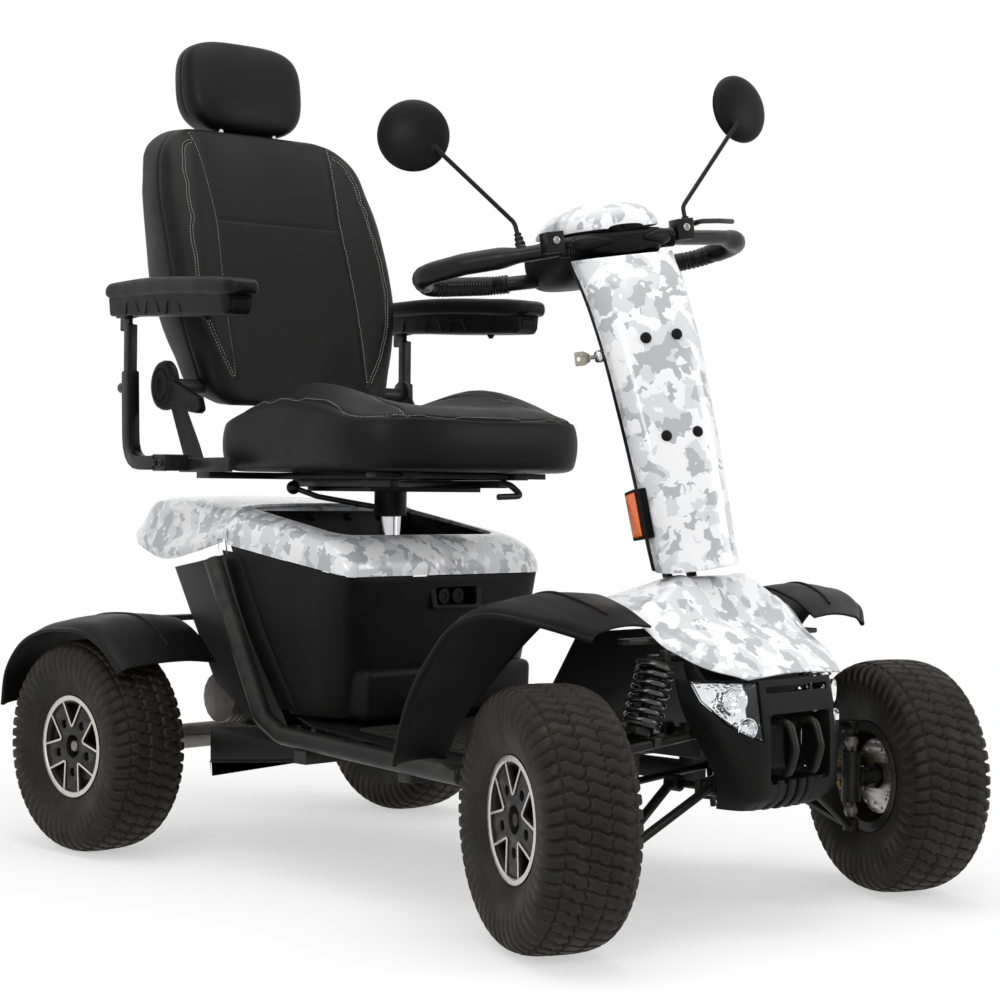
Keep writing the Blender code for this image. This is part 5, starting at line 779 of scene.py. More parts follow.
# Floor: a pressed pan that turns up into a toe board, and a rubber mat with slanting ribs and
# arrow-shaped pads, held down along its edges.
put(dressed("floor_pan", "pressed_floor", 0.0014, 3, 20.0), plastic, "frame", "black_plastic", "floor_pan")
mat_rubber, tree, shader = finish("mat_rubber", (0.011, 0.011, 0.0105), 0.7, specular=0.18)
settled = use(tree, dust, Top=0.45, Amount=0.35)
tinted(tree, shader, (0.0100, 0.0100, 0.0096), (0.060, 0.054, 0.043), settled)
bumped(tree, shader, use(tree, grain, Scale=380.0, Cells=0.3), 0.4, 0.0006)
slope = math.radians(3.3)


def on_floor(x, y, lift):
    """A place over the tilted floor: a matrix that lies flat on it."""
    z = 0.262 - math.tan(slope) * (x + 0.212)
    return standing @ Matrix.Translation((x, y, z + lift)) @ Matrix.Rotation(slope, 4, "Y")


outline = softened([Vector(c) for c in ((-0.150, -0.234), (0.150, -0.240), (0.150, 0.240), (-0.150, 0.234))], 0.020, 5, closed=True)
mat_pieces = [flat_plate("mat_base", outline, 0.005, (), on_floor(0.114, 0.0, 0.0030), 0.0012)]
for number in range(23):
    y = (number - 11) * 0.0195
    mat_pieces.append(flat_plate("mat_rib", softened([Vector(c) for c in ((-0.128, -0.0035), (0.128, -0.0035), (0.128, 0.0035), (-0.128, 0.0035))], 0.002, 2, closed=True),
                                 0.0020, (), on_floor(0.112, y, 0.0060), 0.0007))
for x in (0.030, 0.115, 0.200):
    for s in (-1, 1):
        arrow = [Vector((a, s * b)) for a, b in ((-0.016, 0.0), (0.0, 0.030), (0.016, 0.030), (0.002, 0.0), (0.016, -0.030), (0.0, -0.030))]
        mat_pieces.append(flat_plate("mat_arrow", arrow if s > 0 else arrow[::-1], 0.0030, (), on_floor(x, s * 0.205, 0.0060), 0.0007))
mat = joined("ribbed_mat", mat_pieces)
put(mat, mat_rubber, "frame", "mat_rubber", "floor_mat")
grey_panel, tree, shader = finish("satin_grey_panel", (0.012, 0.012, 0.013), 0.42, specular=0.25)
tinted(tree, shader, (0.012, 0.012, 0.013), (0.05, 0.043, 0.033), use(tree, dust, Top=0.6, Amount=0.25))
bumped(tree, shader, use(tree, grain, Scale=650.0, Cells=0.6), 0.22, 0.0003)
put(dressed("rear_panels", "raked_rear_panels", 0.0012, 2), grey_panel, "frame", "grey_plastic", "rear_panels")

# Mudguards: thick satin black mouldings that arch over the tyres, with a rolled outer lip
# and a raised rib near the inner edge.
front_rows = []
for x, z, inner, outer, droop in (
    (0.272, 0.248, 0.318, 0.425, 0.006), (0.288, 0.300, 0.306, 0.430, 0.010), (0.318, 0.370, 0.262, 0.436, 0.016),
    (0.362, 0.440, 0.222, 0.438, 0.024), (0.418, 0.490, 0.206, 0.434, 0.028), (0.478, 0.508, 0.208, 0.424, 0.030),
    (0.535, 0.494, 0.206, 0.394, 0.026), (0.590, 0.464, 0.200, 0.330, 0.020),
):
    wide, lean_x = outer - inner, 0.35 if x < 0.40 else 0.0
    front_rows.append([(x + lean_x * 0.004, inner, z - 0.004), (x, inner + wide * 0.35, z), (x + lean_x * droop * 0.25, inner + wide * 0.75, z - droop * 0.25),
                       (x + lean_x * droop * 0.7, outer - 0.008, z - droop * 0.62), (x + lean_x * droop, outer, z - droop)])
rear_rows = [[(x, 0.240, z - 0.006), (x, 0.310, z), (x, 0.398, z - droop * 0.25), (x, 0.436, z - droop * 0.62), (x, 0.448, z - droop)] for x, z, droop in (
    (-0.795, 0.262, 0.010), (-0.782, 0.330, 0.016), (-0.735, 0.388, 0.022), (-0.655, 0.422, 0.026), (-0.560, 0.428, 0.026), (-0.475, 0.402, 0.022), (-0.415, 0.352, 0.016))]
for where, rows, side_axis in (("front", front_rows, 1), ("rear", rear_rows, 1)):
    grid = faired(rows, 9, 5)
    guards = []
    for s in (-1, 1):
        flipped = grid * (1, s, 1)
        guards.append(shell("mudguard", flipped, 0.004, (0, 0, 1), 0.0012))
        lip = [Vector(p) for p in flipped[:, -1]]
        guards.append(round_bar("rolled_lip", lip, 0.0042, 12, placed=standing))
        rib = [Vector(p) + Vector((0, 0, 0.0005)) for p in flipped[4:-4, 6]]
        guards.append(round_bar("crest_rib", rib, 0.0026, 10, placed=standing))
    guard = joined(where + "_mudguards", guards)
    put(guard, plastic, "frame", "black_plastic", where + "_fenders")
for name, size, at in (("front_guard_brace", (0.026, 0.460, 0.008), (0.5600, 0.0, 0.4360)), ("rear_guard_brace", (0.030, 0.520, 0.010), (-0.5600, 0.0, 0.4180))):
    put(rounded_block(name, size, at, 0.002, 2), steel, "frame", "black_steel")

# White panels: gloss shells printed with a winter camouflage of two greys over white, under a clear
# coat. The hood has a flat panel between two ridges and two pressed flutes on each flank.
camo, tree, shader = finish("winter_camouflage", (0.86, 0.86, 0.87), 0.30, specular=0.5, coat=0.85)
place = node(tree, "ShaderNodeTexCoord").outputs["Object"]
bent = node(tree, "ShaderNodeTexNoise", {"Vector": place, "Scale": 60.0, "Detail": 2.0})
shift = node(tree, "ShaderNodeMix", {0: 0.012, 4: place, 5: bent.outputs["Color"]}, data_type="VECTOR")
paint = None
for number, (scale, offset, threshold, colour) in enumerate((
    (22.0, (0.0, 0.0, 0.0), 0.480, (0.66, 0.665, 0.68)), (28.0, (3.1, 1.7, 5.3), 0.535, (0.43, 0.435, 0.45)), (36.0, (7.7, 2.9, 1.1), 0.585, (0.86, 0.86, 0.87)),
)):
    moved = node(tree, "ShaderNodeMapping", {"Vector": shift.outputs[1], "Location": offset})
    blots = node(tree, "ShaderNodeTexNoise", {"Vector": moved.outputs[0], "Scale": scale, "Detail": 2.5, "Roughness": 0.50, "Distortion": 0.2})
    mask = node(tree, "ShaderNodeMapRange", {"Value": blots.outputs["Fac"], "From Min": threshold, "From Max": threshold + 0.008})
    paint = tinted(tree, shader, (0.86, 0.86, 0.87) if paint is None else paint, colour, mask.outputs[0])
fine = node(tree, "ShaderNodeTexNoise", {"Vector": place, "Scale": 240.0, "Detail": 3.0})
bumped(tree, shader, fine.outputs["Fac"], 0.03, 0.0003)

rows = []
for x, ridge_z, ridge_y, shoulder, side, hem in (
    (0.392, 0.487, 0.070, (0.125, 0.480), (0.172, 0.462), (0.178, 0.448)), (0.455, 0.507, 0.072, (0.132, 0.500), (0.192, 0.478), (0.198, 0.455)),
    (0.538, 0.527, 0.075, (0.130, 0.505), (0.188, 0.476), (0.194, 0.466)), (0.598, 0.458, 0.078, (0.138, 0.450), (0.172, 0.436), (0.178, 0.428)),
    (0.655, 0.426, 0.078, (0.130, 0.416), (0.152, 0.407), (0.156, 0.400)), (0.704, 0.388, 0.060, (0.096, 0.386), (0.110, 0.385), (0.112, 0.3845)),
):
    rows.append([(x, 0.0, ridge_z + 0.002), (x, ridge_y * 0.6, ridge_z + 0.0015), (x, ridge_y, ridge_z), (x, *shoulder), (x, *side), (x, *hem)])
grid = faired(rows, 12, 9)
x, y = grid[..., 0], grid[..., 1]
ridge_line = np.interp(x, (0.392, 0.538, 0.600, 0.640), (0.078, 0.074, 0.050, 0.040))
fade = np.clip((0.655 - x) / 0.05, 0.0, 1.0)
grid[..., 2] += 0.0042 * fade * np.exp(-((y - ridge_line) / 0.0075) ** 2)
for middle, far in ((0.110, 0.150), (0.142, 0.176)):
    flute = np.interp(x, (0.392, 0.600), (middle, far))
    held = np.clip((x - 0.400) / 0.04, 0, 1) * np.clip((0.620 - x) / 0.05, 0, 1)
    grid[..., 2] -= 0.0030 * held * np.exp(-((y - flute) / 0.0050) ** 2)
hood = shell("nose_hood", mirrored(grid), 0.0035, (0, 0, 1), 0.0010)
rake = math.radians(19.2)
rake_up = Vector((-math.sin(rake), 0.0, math.cos(rake)))


def on_steering_axis(z):
    """The point of the steering axis at a height."""
    return Vector((0.500, 0.0, 0.450)) + rake_up * ((z - 0.450) / math.cos(rake))


way = lathe_bar("column_way", [(0.054, 0.0), (0.054, 1.0)], standing @ on_steering_axis(0.440), standing @ on_steering_axis(0.640))
cut(hood, way)
put(hood, camo, "frame", "camouflage", "hood")

rows = []
for x, top, half, lip, lip_half in ((-0.752, 0.585, 0.150, 0.560, 0.165), (-0.738, 0.618, 0.170, 0.556, 0.190), (-0.690, 0.642, 0.190, 0.546, 0.214),
                                    (-0.600, 0.646, 0.200, 0.526, 0.224), (-0.500, 0.640, 0.208, 0.540, 0.236), (-0.4008, 0.628, 0.214, 0.562, 0.243)):
    rows.append([(x, 0.0, top), (x, half * 0.6, top - 0.002), (x, half - 0.012, top - 0.010), (x, half, top - 0.030), (x, half + 0.006, (top + lip) / 2),
                 (x, lip_half, lip + 0.014), (x, lip_half - 0.002, lip)])
grid = faired(rows, 9, 7)
put(shell("tail_hump", mirrored(grid), 0.0035, (0, 0, 1), 0.0010), camo, "frame", "camouflage", "tail_cover")
hoop = [Vector(p) + Vector((0.004, 0, 0.0015)) for p in mirrored(grid)[-1]]
hoop = [Vector((p.x, p.y * 1.004, p.z)) for p in hoop]
hoop_rows = np.array([[(p.x + dx, p.y * (1 + dy), p.z + dz) for p in hoop] for dx, dy, dz in ((-0.015, 0.002, 0.0), (-0.011, 0.018, 0.0042), (0.011, 0.018, 0.0042), (0.015, 0.002, 0.0))])
put(shell("deck_hoop", eased(hoop_rows, 4), 0.003, (0, 0, 1), 0.0008), camo, "frame", "camouflage")


def deck_ring(z_front, z_rear, x_front, x_rear, half, corner):
    """A closed loop round the deck at one level, its front corners rounded."""
    right = [(x_front, half * share) for share in np.linspace(0.0, (half - corner) / half, 7)]
    right += [(x_front - corner * (1 - math.cos(a)), half - corner + corner * math.sin(a)) for a in np.linspace(0, math.pi / 2, 9)[1:]]
    right += [(x, half) for x in np.linspace(x_front - corner, x_rear + 0.008, 12)[1:]]
    right += [(x_rear, half - 0.008)] + [(x_rear, half * share) for share in (0.7, 0.35, 0.0)]
    loop = right + [(x, -y) for x, y in right[::-1][1:-1]]
    run = (x_front - x_rear) or 1.0
    return [(x, y, z_front + (z_rear - z_front) * min(max((x_front - x) / run, 0.0), 1.0)) for x, y in loop]


def ringed(name, rings, thickness, steps, breaks=()):
    """A shell through closed loops, from outside to inside."""
    dense = eased(np.array(rings, float), steps, breaks)
    closed = np.concatenate([dense, dense[:, :1]], axis=1)
    obj = shell(name, closed, thickness, (0, 0, 1), 0.0, standing)
    return faced_out(obj)


outer_rings = [deck_ring(0.5105, 0.5600, -0.0540, -0.4000, 0.2400, 0.030), deck_ring(0.5300, 0.5780, -0.0560, -0.4000, 0.2405, 0.034),
               deck_ring(0.5600, 0.6080, -0.0780, -0.4000, 0.2320, 0.040), deck_ring(0.5780, 0.6260, -0.1150, -0.4000, 0.2050, 0.036),
               deck_ring(0.5795, 0.6270, -0.1250, -0.3920, 0.1920, 0.034), deck_ring(0.5740, 0.6190, -0.1310, -0.3880, 0.1850, 0.032)]
deck = ringed("deck_shell", outer_rings, 0.0032, 6)
put(smooth(deck), camo, "frame", "camouflage", "deck_cover")
well_rings = [deck_ring(0.5755, 0.6205, -0.1300, -0.3890, 0.1860, 0.030), deck_ring(0.5600, 0.6000, -0.1400, -0.3840, 0.1740, 0.026),
              deck_ring(0.5460, 0.5620, -0.1480, -0.3780, 0.1620, 0.022), deck_ring(0.5440, 0.5460, -0.1560, -0.3600, 0.1500, 0.022), deck_ring(0.5432, 0.5432, -0.1780, -0.2560, 0.0480, 0.020)]
liner = ringed("deck_well", well_rings, 0.0025, 5, (2,))
put(smooth(liner), plastic, "frame", "black_plastic")
deck_screws = [turned("deck_screw", [(0.0, 0.0045), (0.0045, 0.0045), (0.0070, 0.0030), (0.0075, -0.004), (0.0, -0.004)], 20,
                      standing @ Matrix.Translation((-0.3820, y, 0.6080)) @ Matrix.Rotation(math.pi / 2, 4, "Y")) for y in (-0.125, -0.045, 0.045, 0.125)]
put(joined("deck_screws", deck_screws), plastic, "frame", "black_plastic")

# Bumper: a black moulded nose with a sunken bay for the tow loops, a slot under the hood,
# pockets for the lamps and a ribbed skid that rolls under.
rows = []
for z, nose, near, far, corner in (
    (0.3810, 0.704, (0.701, 0.085), (0.650, 0.150), (0.606, 0.168)), (0.3400, 0.711, (0.708, 0.086), (0.662, 0.150), (0.618, 0.166)),
    (0.2850, 0.716, (0.713, 0.086), (0.684, 0.134), (0.640, 0.150)), (0.2400, 0.716, (0.713, 0.086), (0.690, 0.118), (0.650, 0.128)),
    (0.2050, 0.710, (0.706, 0.084), (0.684, 0.108), (0.644, 0.114)), (0.1850, 0.686, (0.682, 0.074), (0.668, 0.096), (0.634, 0.102)),
):
    rows.append([(nose, 0.0, z), (nose - 0.0010, near[1] * 0.6, z), (near[0], near[1], z), (far[0], far[1], z), (corner[0], corner[1], z)])
nose_grid = faired(rows, 8, 7)
bumper = shell("nose_bumper", mirrored(nose_grid), 0.004, (1, 0, 0), 0.0012)


def lamp_rings(grow, s):
    """The back and front corner loops of one lamp, grown sideways for its pocket."""
    front = np.array([(0.698, -0.088, 0.3780), (0.712, -0.088, 0.2900), (0.680, -0.136, 0.3180), (0.650, -0.157, 0.3500), (0.634, -0.162, 0.3780)])
    back = np.array([(0.668, -0.082, 0.3780), (0.680, -0.082, 0.2960), (0.652, -0.122, 0.3220), (0.624, -0.141, 0.3510), (0.612, -0.144, 0.3780)])
    for ring in (front, back):
        away = ring - ring.mean(axis=0)
        ring += away / np.linalg.norm(away, axis=1, keepdims=True) * grow
    return front * (1, -s, 1), back * (1, -s, 1)


def closed_loft(name, rings, placed=standing):
    """A closed body through loops of equal point counts."""
    rings = np.array(rings, float)
    high, wide = rings.shape[:2]
    faces = [(r * wide + i, r * wide + (i + 1) % wide, (r + 1) * wide + (i + 1) % wide, (r + 1) * wide + i) for r in range(high - 1) for i in range(wide)]
    faces += [tuple(range(wide))[::-1], tuple(range((high - 1) * wide, high * wide))]
    mesh = bpy.data.meshes.new(name)
    mesh.from_pydata(rings.reshape(-1, 3).tolist(), [], faces)
    obj = linked(name, mesh)
    faced_out(obj)
    obj.data.transform(placed)
    return smooth(obj)


pockets = []
for s in (-1, 1):
    front, back = lamp_rings(0.0018, s)
    pockets.append(closed_loft("lamp_pocket", [back - (0.004, 0, 0), front, front + (0.030, s * 0.012, 0.0)]))
bay = rounded_block("bay_hole", (0.060, 0.146, 0.104), (0.712, 0.0, 0.278), 0.010, 5)
slot = rounded_block("slot_hole", (0.030, 0.150, 0.010), (0.704, 0.0, 0.366), 0.002, 2)
cut(bumper, bay, slot, *pockets)
put(bumper, plastic, "frame", "black_plastic", "bumper")
bay_rows = np.array([
    [(0.7130, 0.0, 0.3320), (0.7110, 0.0735, 0.3320)], [(0.6800, 0.0, 0.3240), (0.6780, 0.0680, 0.3240)], [(0.6680, 0.0, 0.3100), (0.6660, 0.0650, 0.3100)],
    [(0.6700, 0.0, 0.2480), (0.6680, 0.0640, 0.2480)], [(0.6800, 0.0, 0.2340), (0.6780, 0.0660, 0.2340)], [(0.7130, 0.0, 0.2250), (0.7110, 0.0735, 0.2250)]])
bay_liner = shell("tow_bay", mirrored(faired(bay_rows, 5, 6)), 0.002, (1, 0, 0), 0.0)
sides = [shell("tow_bay_side", faired(np.array([[(0.7120, s * 0.0728, 0.3300), (0.6660, s * 0.0650, 0.3180)], [(0.7120, s * 0.0728, 0.2270), (0.6660, s * 0.0650, 0.2420)]]), 6, 6),
               0.002, (0, -s, 0), 0.0) for s in (-1, 1)]
bay_ribs = [rounded_block("tow_bay_rib", (0.012, 0.014, 0.076), (0.672, s * 0.031, 0.277), 0.003, 3) for s in (-1, 1)]
put(joined("tow_bay", [bay_liner, *sides, *bay_ribs]), plastic, "frame", "black_plastic")
skid = []
profile = [(0.7165, 0.2320), (0.7150, 0.2200), (0.7105, 0.2055), (0.7000, 0.1930), (0.6860, 0.1850)]
for number in range(7):
    y = (number - 3) * 0.0235
    drop = 0.0032 * (abs(number - 3) / 3) ** 2 * 3
    rib = np.array([[(px - drop, y - 0.0095, pz), (px - drop + 0.0016, y - 0.004, pz - 0.0002), (px - drop + 0.0016, y + 0.004, pz - 0.0002), (px - drop, y + 0.0095, pz)] for px, pz in profile])
    skid.append(shell("skid_rib", faired(rib, 6, 3) + (0.0018, 0.0, -0.0006), 0.004, (1, 0, 0), 0.0012))
put(joined("skid_ribs", skid), plastic, "frame", "black_plastic")

# Headlamps: two round reflectors with clear bulbs in a black housing on each corner, one over the
# other, behind a wrap-round lens of clear polycarbonate.
glass, tree, shader = finish("clear_polycarbonate", (0.97, 0.98, 0.99), 0.03, specular=0.5)
shader.inputs["Transmission Weight"].default_value = 1.0
shader.inputs["IOR"].default_value = 1.32
place = node(tree, "ShaderNodeTexCoord").outputs["Object"]
flow = node(tree, "ShaderNodeTexNoise", {"Vector": place, "Scale": 30.0, "Detail": 1.0})
bumped(tree, shader, flow.outputs["Fac"], 0.02, 0.001)
silvered, tree, shader = finish("silvered_reflector", (0.86, 0.87, 0.88), 0.10, metallic=1.0)
place = node(tree, "ShaderNodeTexCoord").outputs["Object"]
facets = node(tree, "ShaderNodeTexVoronoi", {"Vector": place, "Scale": 190.0})
bumped(tree, shader, facets.outputs["Distance"], 0.5, 0.0012)
for label, s in (("R", -1), ("L", 1)):
    front, back = lamp_rings(0.0, s)
    centre = front.mean(axis=0) + (0.0070, s * 0.0060, 0.0)
    count = 10
    dense_front = np.concatenate([[front[i] + (front[(i + 1) % 5] - front[i]) * k / count for k in range(count)] for i in range(5)])
    dense_back = np.concatenate([[back[i] + (back[(i + 1) % 5] - back[i]) * k / count for k in range(count)] for i in range(5)])
    rings = [dense_back, dense_back + (dense_front - dense_back) * 0.5]
    for share in (0.0, 0.06, 0.16, 0.34, 0.6, 0.85):
        bulge = math.sqrt(1 - (1 - share) ** 2) * 0.5
        ring = dense_front + (front.mean(axis=0) - dense_front) * share
        rings.append(ring + (centre - front.mean(axis=0)) * bulge)
    lens_rows = np.concatenate([np.array(rings), np.array(rings)[:, :1]], axis=1)
    lens = shell("lens", lens_rows, 0.0016, (1, s * 0.7, 0), 0.0)
    faced_out(lens)
    lens.name = "lamp_lens_" + label
    put(lens, glass, "frame", "clear_lens", "headlight_" + label)
    inner_front, inner_back = lamp_rings(-0.006, s)
    housing = closed_loft("lamp_housing_" + label, [inner_back - (0.006, 0, 0), inner_back + (inner_front - inner_back) * 0.12])
    put(housing, silvered, "frame", "chrome")
    bowls, bulbs = [], []
    for x, y, z, size in ((0.676, s * 0.1170, 0.3520, 0.0185), (0.690, s * 0.1060, 0.3110, 0.0150)):
        facing = Vector((0.93, s * 0.37, -0.03)).normalized()
        lie = standing @ Matrix.Translation((x, y, z)) @ facing.to_track_quat("Z", "Y").to_matrix().to_4x4()
        bowl = [(size, 0.010), (size + 0.0012, 0.010), (size + 0.0012, 0.006), (size * 0.8, -0.003), (size * 0.4, -0.009), (0.0, -0.010),
                (0.0, -0.009), (size * 0.4, -0.0075), (size * 0.8, -0.001), (size - 0.001, 0.007)]
        bowls.append(turned("bowl", bowl, 48, lie))
        bulbs.append(turned("bulb", [(0.0, 0.008), (0.004, 0.0065), (0.0060, 0.002), (0.0055, -0.003), (0.0035, -0.007), (0.0, -0.007)], 32, lie))
    put(joined("lamp_reflectors_" + label, bowls), silvered, "frame", "chrome")
    put(joined("lamp_bulbs_" + label, bulbs), glass, "frame", "clear_lens")
# Seat stem: a chromed post in the frame's socket carries a turntable plate that a ball-ended handle
# frees; pressed channels let the seat slide once the bent bar at its front left is pulled.
seated = standing @ Matrix.Translation((-0.215, 0.0, 0.0)) @ Matrix.Rotation(math.radians(-8.75), 4, "Z") @ Matrix.Translation((0.215, 0.0, 0.0))
chrome, tree, shader = finish("bright_chrome", (0.60, 0.60, 0.61), 0.12, metallic=1.0)
rough_cloud(tree, shader, 0.07, 0.20, 70.0)
smears = node(tree, "ShaderNodeTexNoise", {"Vector": node(tree, "ShaderNodeTexCoord").outputs["Object"], "Scale": 35.0, "Detail": 6.0})
bumped(tree, shader, smears.outputs["Fac"], 0.03, 0.0003)
post = lathe_bar("chromed_post", [(0.0190, 0.0), (0.0190, 0.982), (0.0182, 0.994), (0.0170, 1.0)], standing @ Vector((-0.215, 0.0, 0.300)),
                 standing @ Vector((-0.215, 0.0, 0.6565)), 48)
put(post, chrome, "post", "chrome", "seat_post")
put(dressed("swivel_plate", "turntable_plate", 0.0010), steel, "turntable", "black_steel", "swivel_plate")
handle_path = softened([(-0.2065, -0.0351, 0.628), (-0.235, -0.075, 0.636), (-0.275, -0.118, 0.646), (-0.308, -0.150, 0.662)], 0.03, 6)
knob = [(0.0125 * math.sin(math.pi * n / 18), 0.0125 * (1 - math.cos(math.pi * n / 18))) for n in range(1, 18)]
ball_at = seated @ handle_path[-1]
ball_knob = turned("ball_knob", [(0.0, 0.0), *knob, (0.0, 0.025)], 32, Matrix.Translation(ball_at - Vector((0, 0, 0.0125))))
put(joined("swivel_handle_bar", [round_bar("handle_bar", handle_path, 0.0052, 16, placed=seated), ball_knob]), steel, "swivel_handle", "black_steel", "swivel_lever")
slide_path = softened([(0.0105, 0.086, 0.6740), (0.036, 0.088, 0.6680), (0.044, 0.106, 0.6500), (0.044, 0.054, 0.6480)], 0.010, 5)
put(round_bar("slide_bar", slide_path, 0.0055, 16, placed=seated), steel, "slide_handle", "black_steel", "slide_lever")
frame_steel = dressed("seat_frame", "welded_seat_frame", 0.0012, 2)
put(frame_steel, steel, "seat", "black_steel", "seat_frame")

# Cushion, backrest and headrest: moulded foam under black vinyl. The cover is sewn from panels; the
# seams are drawn down into the foam and topstitched in pale grey thread, in pairs along the bolsters.
vinyl, tree, shader = finish("black_vinyl", (0.0046, 0.0046, 0.0044), 0.46, specular=0.14)
place = node(tree, "ShaderNodeTexCoord").outputs["Object"]
seam_shade = node(tree, "ShaderNodeAttribute", attribute_name="seam_shade").outputs["Fac"]
# Painted shade: the vinyl's colour is darkened along each seam's groove, where shadow falls.
tinted(tree, shader, (0.0048, 0.0048, 0.0046), (0.0012, 0.0012, 0.0012), seam_shade)
pores = use(tree, grain, Scale=820.0, Cells=0.75)
rumple = node(tree, "ShaderNodeTexNoise", {"Vector": place, "Scale": 16.0, "Detail": 4.0, "Roughness": 0.6})
fine = node(tree, "ShaderNodeMath", {0: pores, 1: 0.16}, operation="MULTIPLY")
relief = node(tree, "ShaderNodeMath", {0: fine.outputs[0], 1: rumple.outputs["Fac"]}, operation="ADD")
bumped(tree, shader, relief.outputs[0], 0.22, 0.0018)
rough_cloud(tree, shader, 0.40, 0.54, 9.0)
thread, tree, shader = finish("pale_grey_thread", (0.40, 0.40, 0.38), 0.8, specular=0.2)
twist = node(tree, "ShaderNodeTexNoise", {"Vector": node(tree, "ShaderNodeTexCoord").outputs["Object"], "Scale": 900.0, "Detail": 2.0})
tinted(tree, shader, (0.32, 0.32, 0.30), (0.55, 0.55, 0.52), twist.outputs["Fac"])
bumped(tree, shader, twist.outputs["Fac"], 0.4, 0.0004)


def squircle(u, v, power):
    """How far a square's point moves in to lie on a rounded square."""
    return max(abs(u), abs(v)) / ((abs(u) ** power + abs(v) ** power) ** (1 / power) or 1.0)


def gridded_cube(name, cuts):
    """A cube from -1 to 1 with an even grid on every side."""
    bpy.ops.mesh.primitive_cube_add(size=2.0)
    obj = bpy.context.object
    obj.name = name
    obj.data.name = name
    bpy.ops.object.mode_set(mode="EDIT")
    bpy.ops.mesh.select_all(action="SELECT")
    bpy.ops.mesh.subdivide(number_cuts=cuts)
    bpy.ops.object.mode_set(mode="OBJECT")
    return obj


cushion = gridded_cube("seat_cushion_pad", 22)
for vert in cushion.data.vertices:
    u, v, w = vert.co
    edge = max(abs(u), abs(v))
    inset = 0.006 * w * w + 0.002
    reach = squircle(u, v, 5.0 if u > 0 else 8.0)
    bolster = math.exp(-((abs(v) - 0.72) / 0.26) ** 2) * math.exp(-((u + 0.05) / 0.62) ** 2)
    crown = 0.046 * bolster + 0.012 * (1 - u * u) * (1 - v * v)
    top = 0.797 + crown - 0.012 * edge ** 10 - 0.006
    vert.co = (-0.1800 + u * reach * (0.2840 - inset), v * reach * (0.253 - inset), 0.693 + (top - 0.693) * (w + 1) / 2)

lean_z = (0.800, 0.866, 1.060, 1.182, 1.300, 1.362, 1.390)
lean_x = (-0.520, -0.537, -0.588, -0.625, -0.676, -0.708, -0.728)
rings = []
for z, half, thick, wing in (
    (0.815, 0.165, 0.070, 0.000), (0.835, 0.195, 0.105, 0.010), (0.900, 0.218, 0.130, 0.022), (0.980, 0.238, 0.142, 0.030), (1.060, 0.248, 0.145, 0.032),
    (1.160, 0.246, 0.142, 0.028), (1.260, 0.236, 0.132, 0.020), (1.340, 0.212, 0.112, 0.010), (1.366, 0.180, 0.088, 0.002), (1.377, 0.140, 0.056, 0.000),
):
    front = float(np.interp(z, lean_z, lean_x)) - 0.005
    half, thick = half - 0.003, thick - 0.005
    shape = [(0.0, 0.0), (0.30, 0.0), (0.55, 0.001), (0.70, wing * 0.6), (0.80, wing), (0.90, wing * 0.92), (0.97, wing * 0.35), (1.0, -0.030),
             (1.0, -thick * 0.78), (0.980, -thick + 0.008), (0.90, -thick), (0.50, -thick), (0.0, -thick)]
    rings.append([(front + d, half * f, z - d * math.tan(math.radians(19.0)) * 0.35) for f, d in shape])
grid = faired(rings, 8, 5)
whole = np.concatenate([grid, (grid * (1, -1, 1))[:, -2:0:-1]], axis=1)
levels, around = whole.shape[:2]
mesh = bpy.data.meshes.new("backrest_pad")
faces = [(r * around + i, r * around + (i + 1) % around, (r + 1) * around + (i + 1) % around, (r + 1) * around + i) for r in range(levels - 1) for i in range(around)]
mesh.from_pydata(whole.reshape(-1, 3).tolist(), [], [*faces, list(range(around)), list(range((levels - 1) * around, levels * around))])
back = faced_out(linked("backrest_pad", mesh))

head = gridded_cube("headrest_pad", 12)
for vert in head.data.vertices:
    u, v, w = vert.co
    power = 3.6
    size = (abs(u) ** power + abs(v) ** power + abs(w) ** power) ** (1 / power)
    squeeze = max(abs(u), abs(v), abs(w)) / size
    u, v, w = u * squeeze, v * squeeze, w * squeeze
    rise = 0.09275 * (1 + w)
    vert.co = (-0.790 - 0.10 * rise + u * (0.056 - 0.006 * w), v * (0.134 - 0.012 * max(-w, 0.0) ** 2), 1.3780 + rise * 1.035)

def calmed(pad, field, rounds):
    """A field of vectors on a pad's points, each round averaged half way to its neighbours."""
    ends = np.empty(len(pad.data.edges) * 2, dtype=int)
    pad.data.edges.foreach_get("vertices", ends)
    one, two = ends.reshape(-1, 2).T
    count = np.bincount(ends, minlength=len(field))[:, None]
    for _ in range(rounds):
        around = np.stack([np.bincount(one, field[two, k], len(field)) + np.bincount(two, field[one, k], len(field)) for k in range(3)], axis=1)
        field = (field + around / count) / 2
    return field


pads = {"cushion": (cushion, 0.006), "back": (back, 0.005), "head": (head, 0.005)}
before = {}
for label, (pad, cap) in pads.items():
    modifier(pad, "REMESH", mode="VOXEL", voxel_size=0.006 if label != "head" else 0.005, adaptivity=0.0)
    applied(pad)
    modifier(pad, "SMOOTH", factor=0.5, iterations=4)
    applied(pad)
    before[label] = np.array([v.co for v in pad.data.vertices])
for pad, cap in pads.values():
    cloth = modifier(pad, "CLOTH")
    cloth.settings.quality = 4
    cloth.settings.mass = 0.3
    cloth.settings.tension_stiffness = 40.0
    cloth.settings.compression_stiffness = 40.0
    cloth.settings.bending_stiffness = 8.0
    cloth.settings.use_pressure = True
    cloth.settings.uniform_pressure_force = 4.0
    cloth.settings.effector_weights.gravity = 0.0
    cloth.collision_settings.use_collision = False
    cloth.point_cache.frame_start = 1
    cloth.point_cache.frame_end = 20
for number in range(1, 21):
    bpy.context.scene.frame_set(number)
for pad, cap in pads.values():
    applied(pad)
bpy.context.scene.frame_set(1)
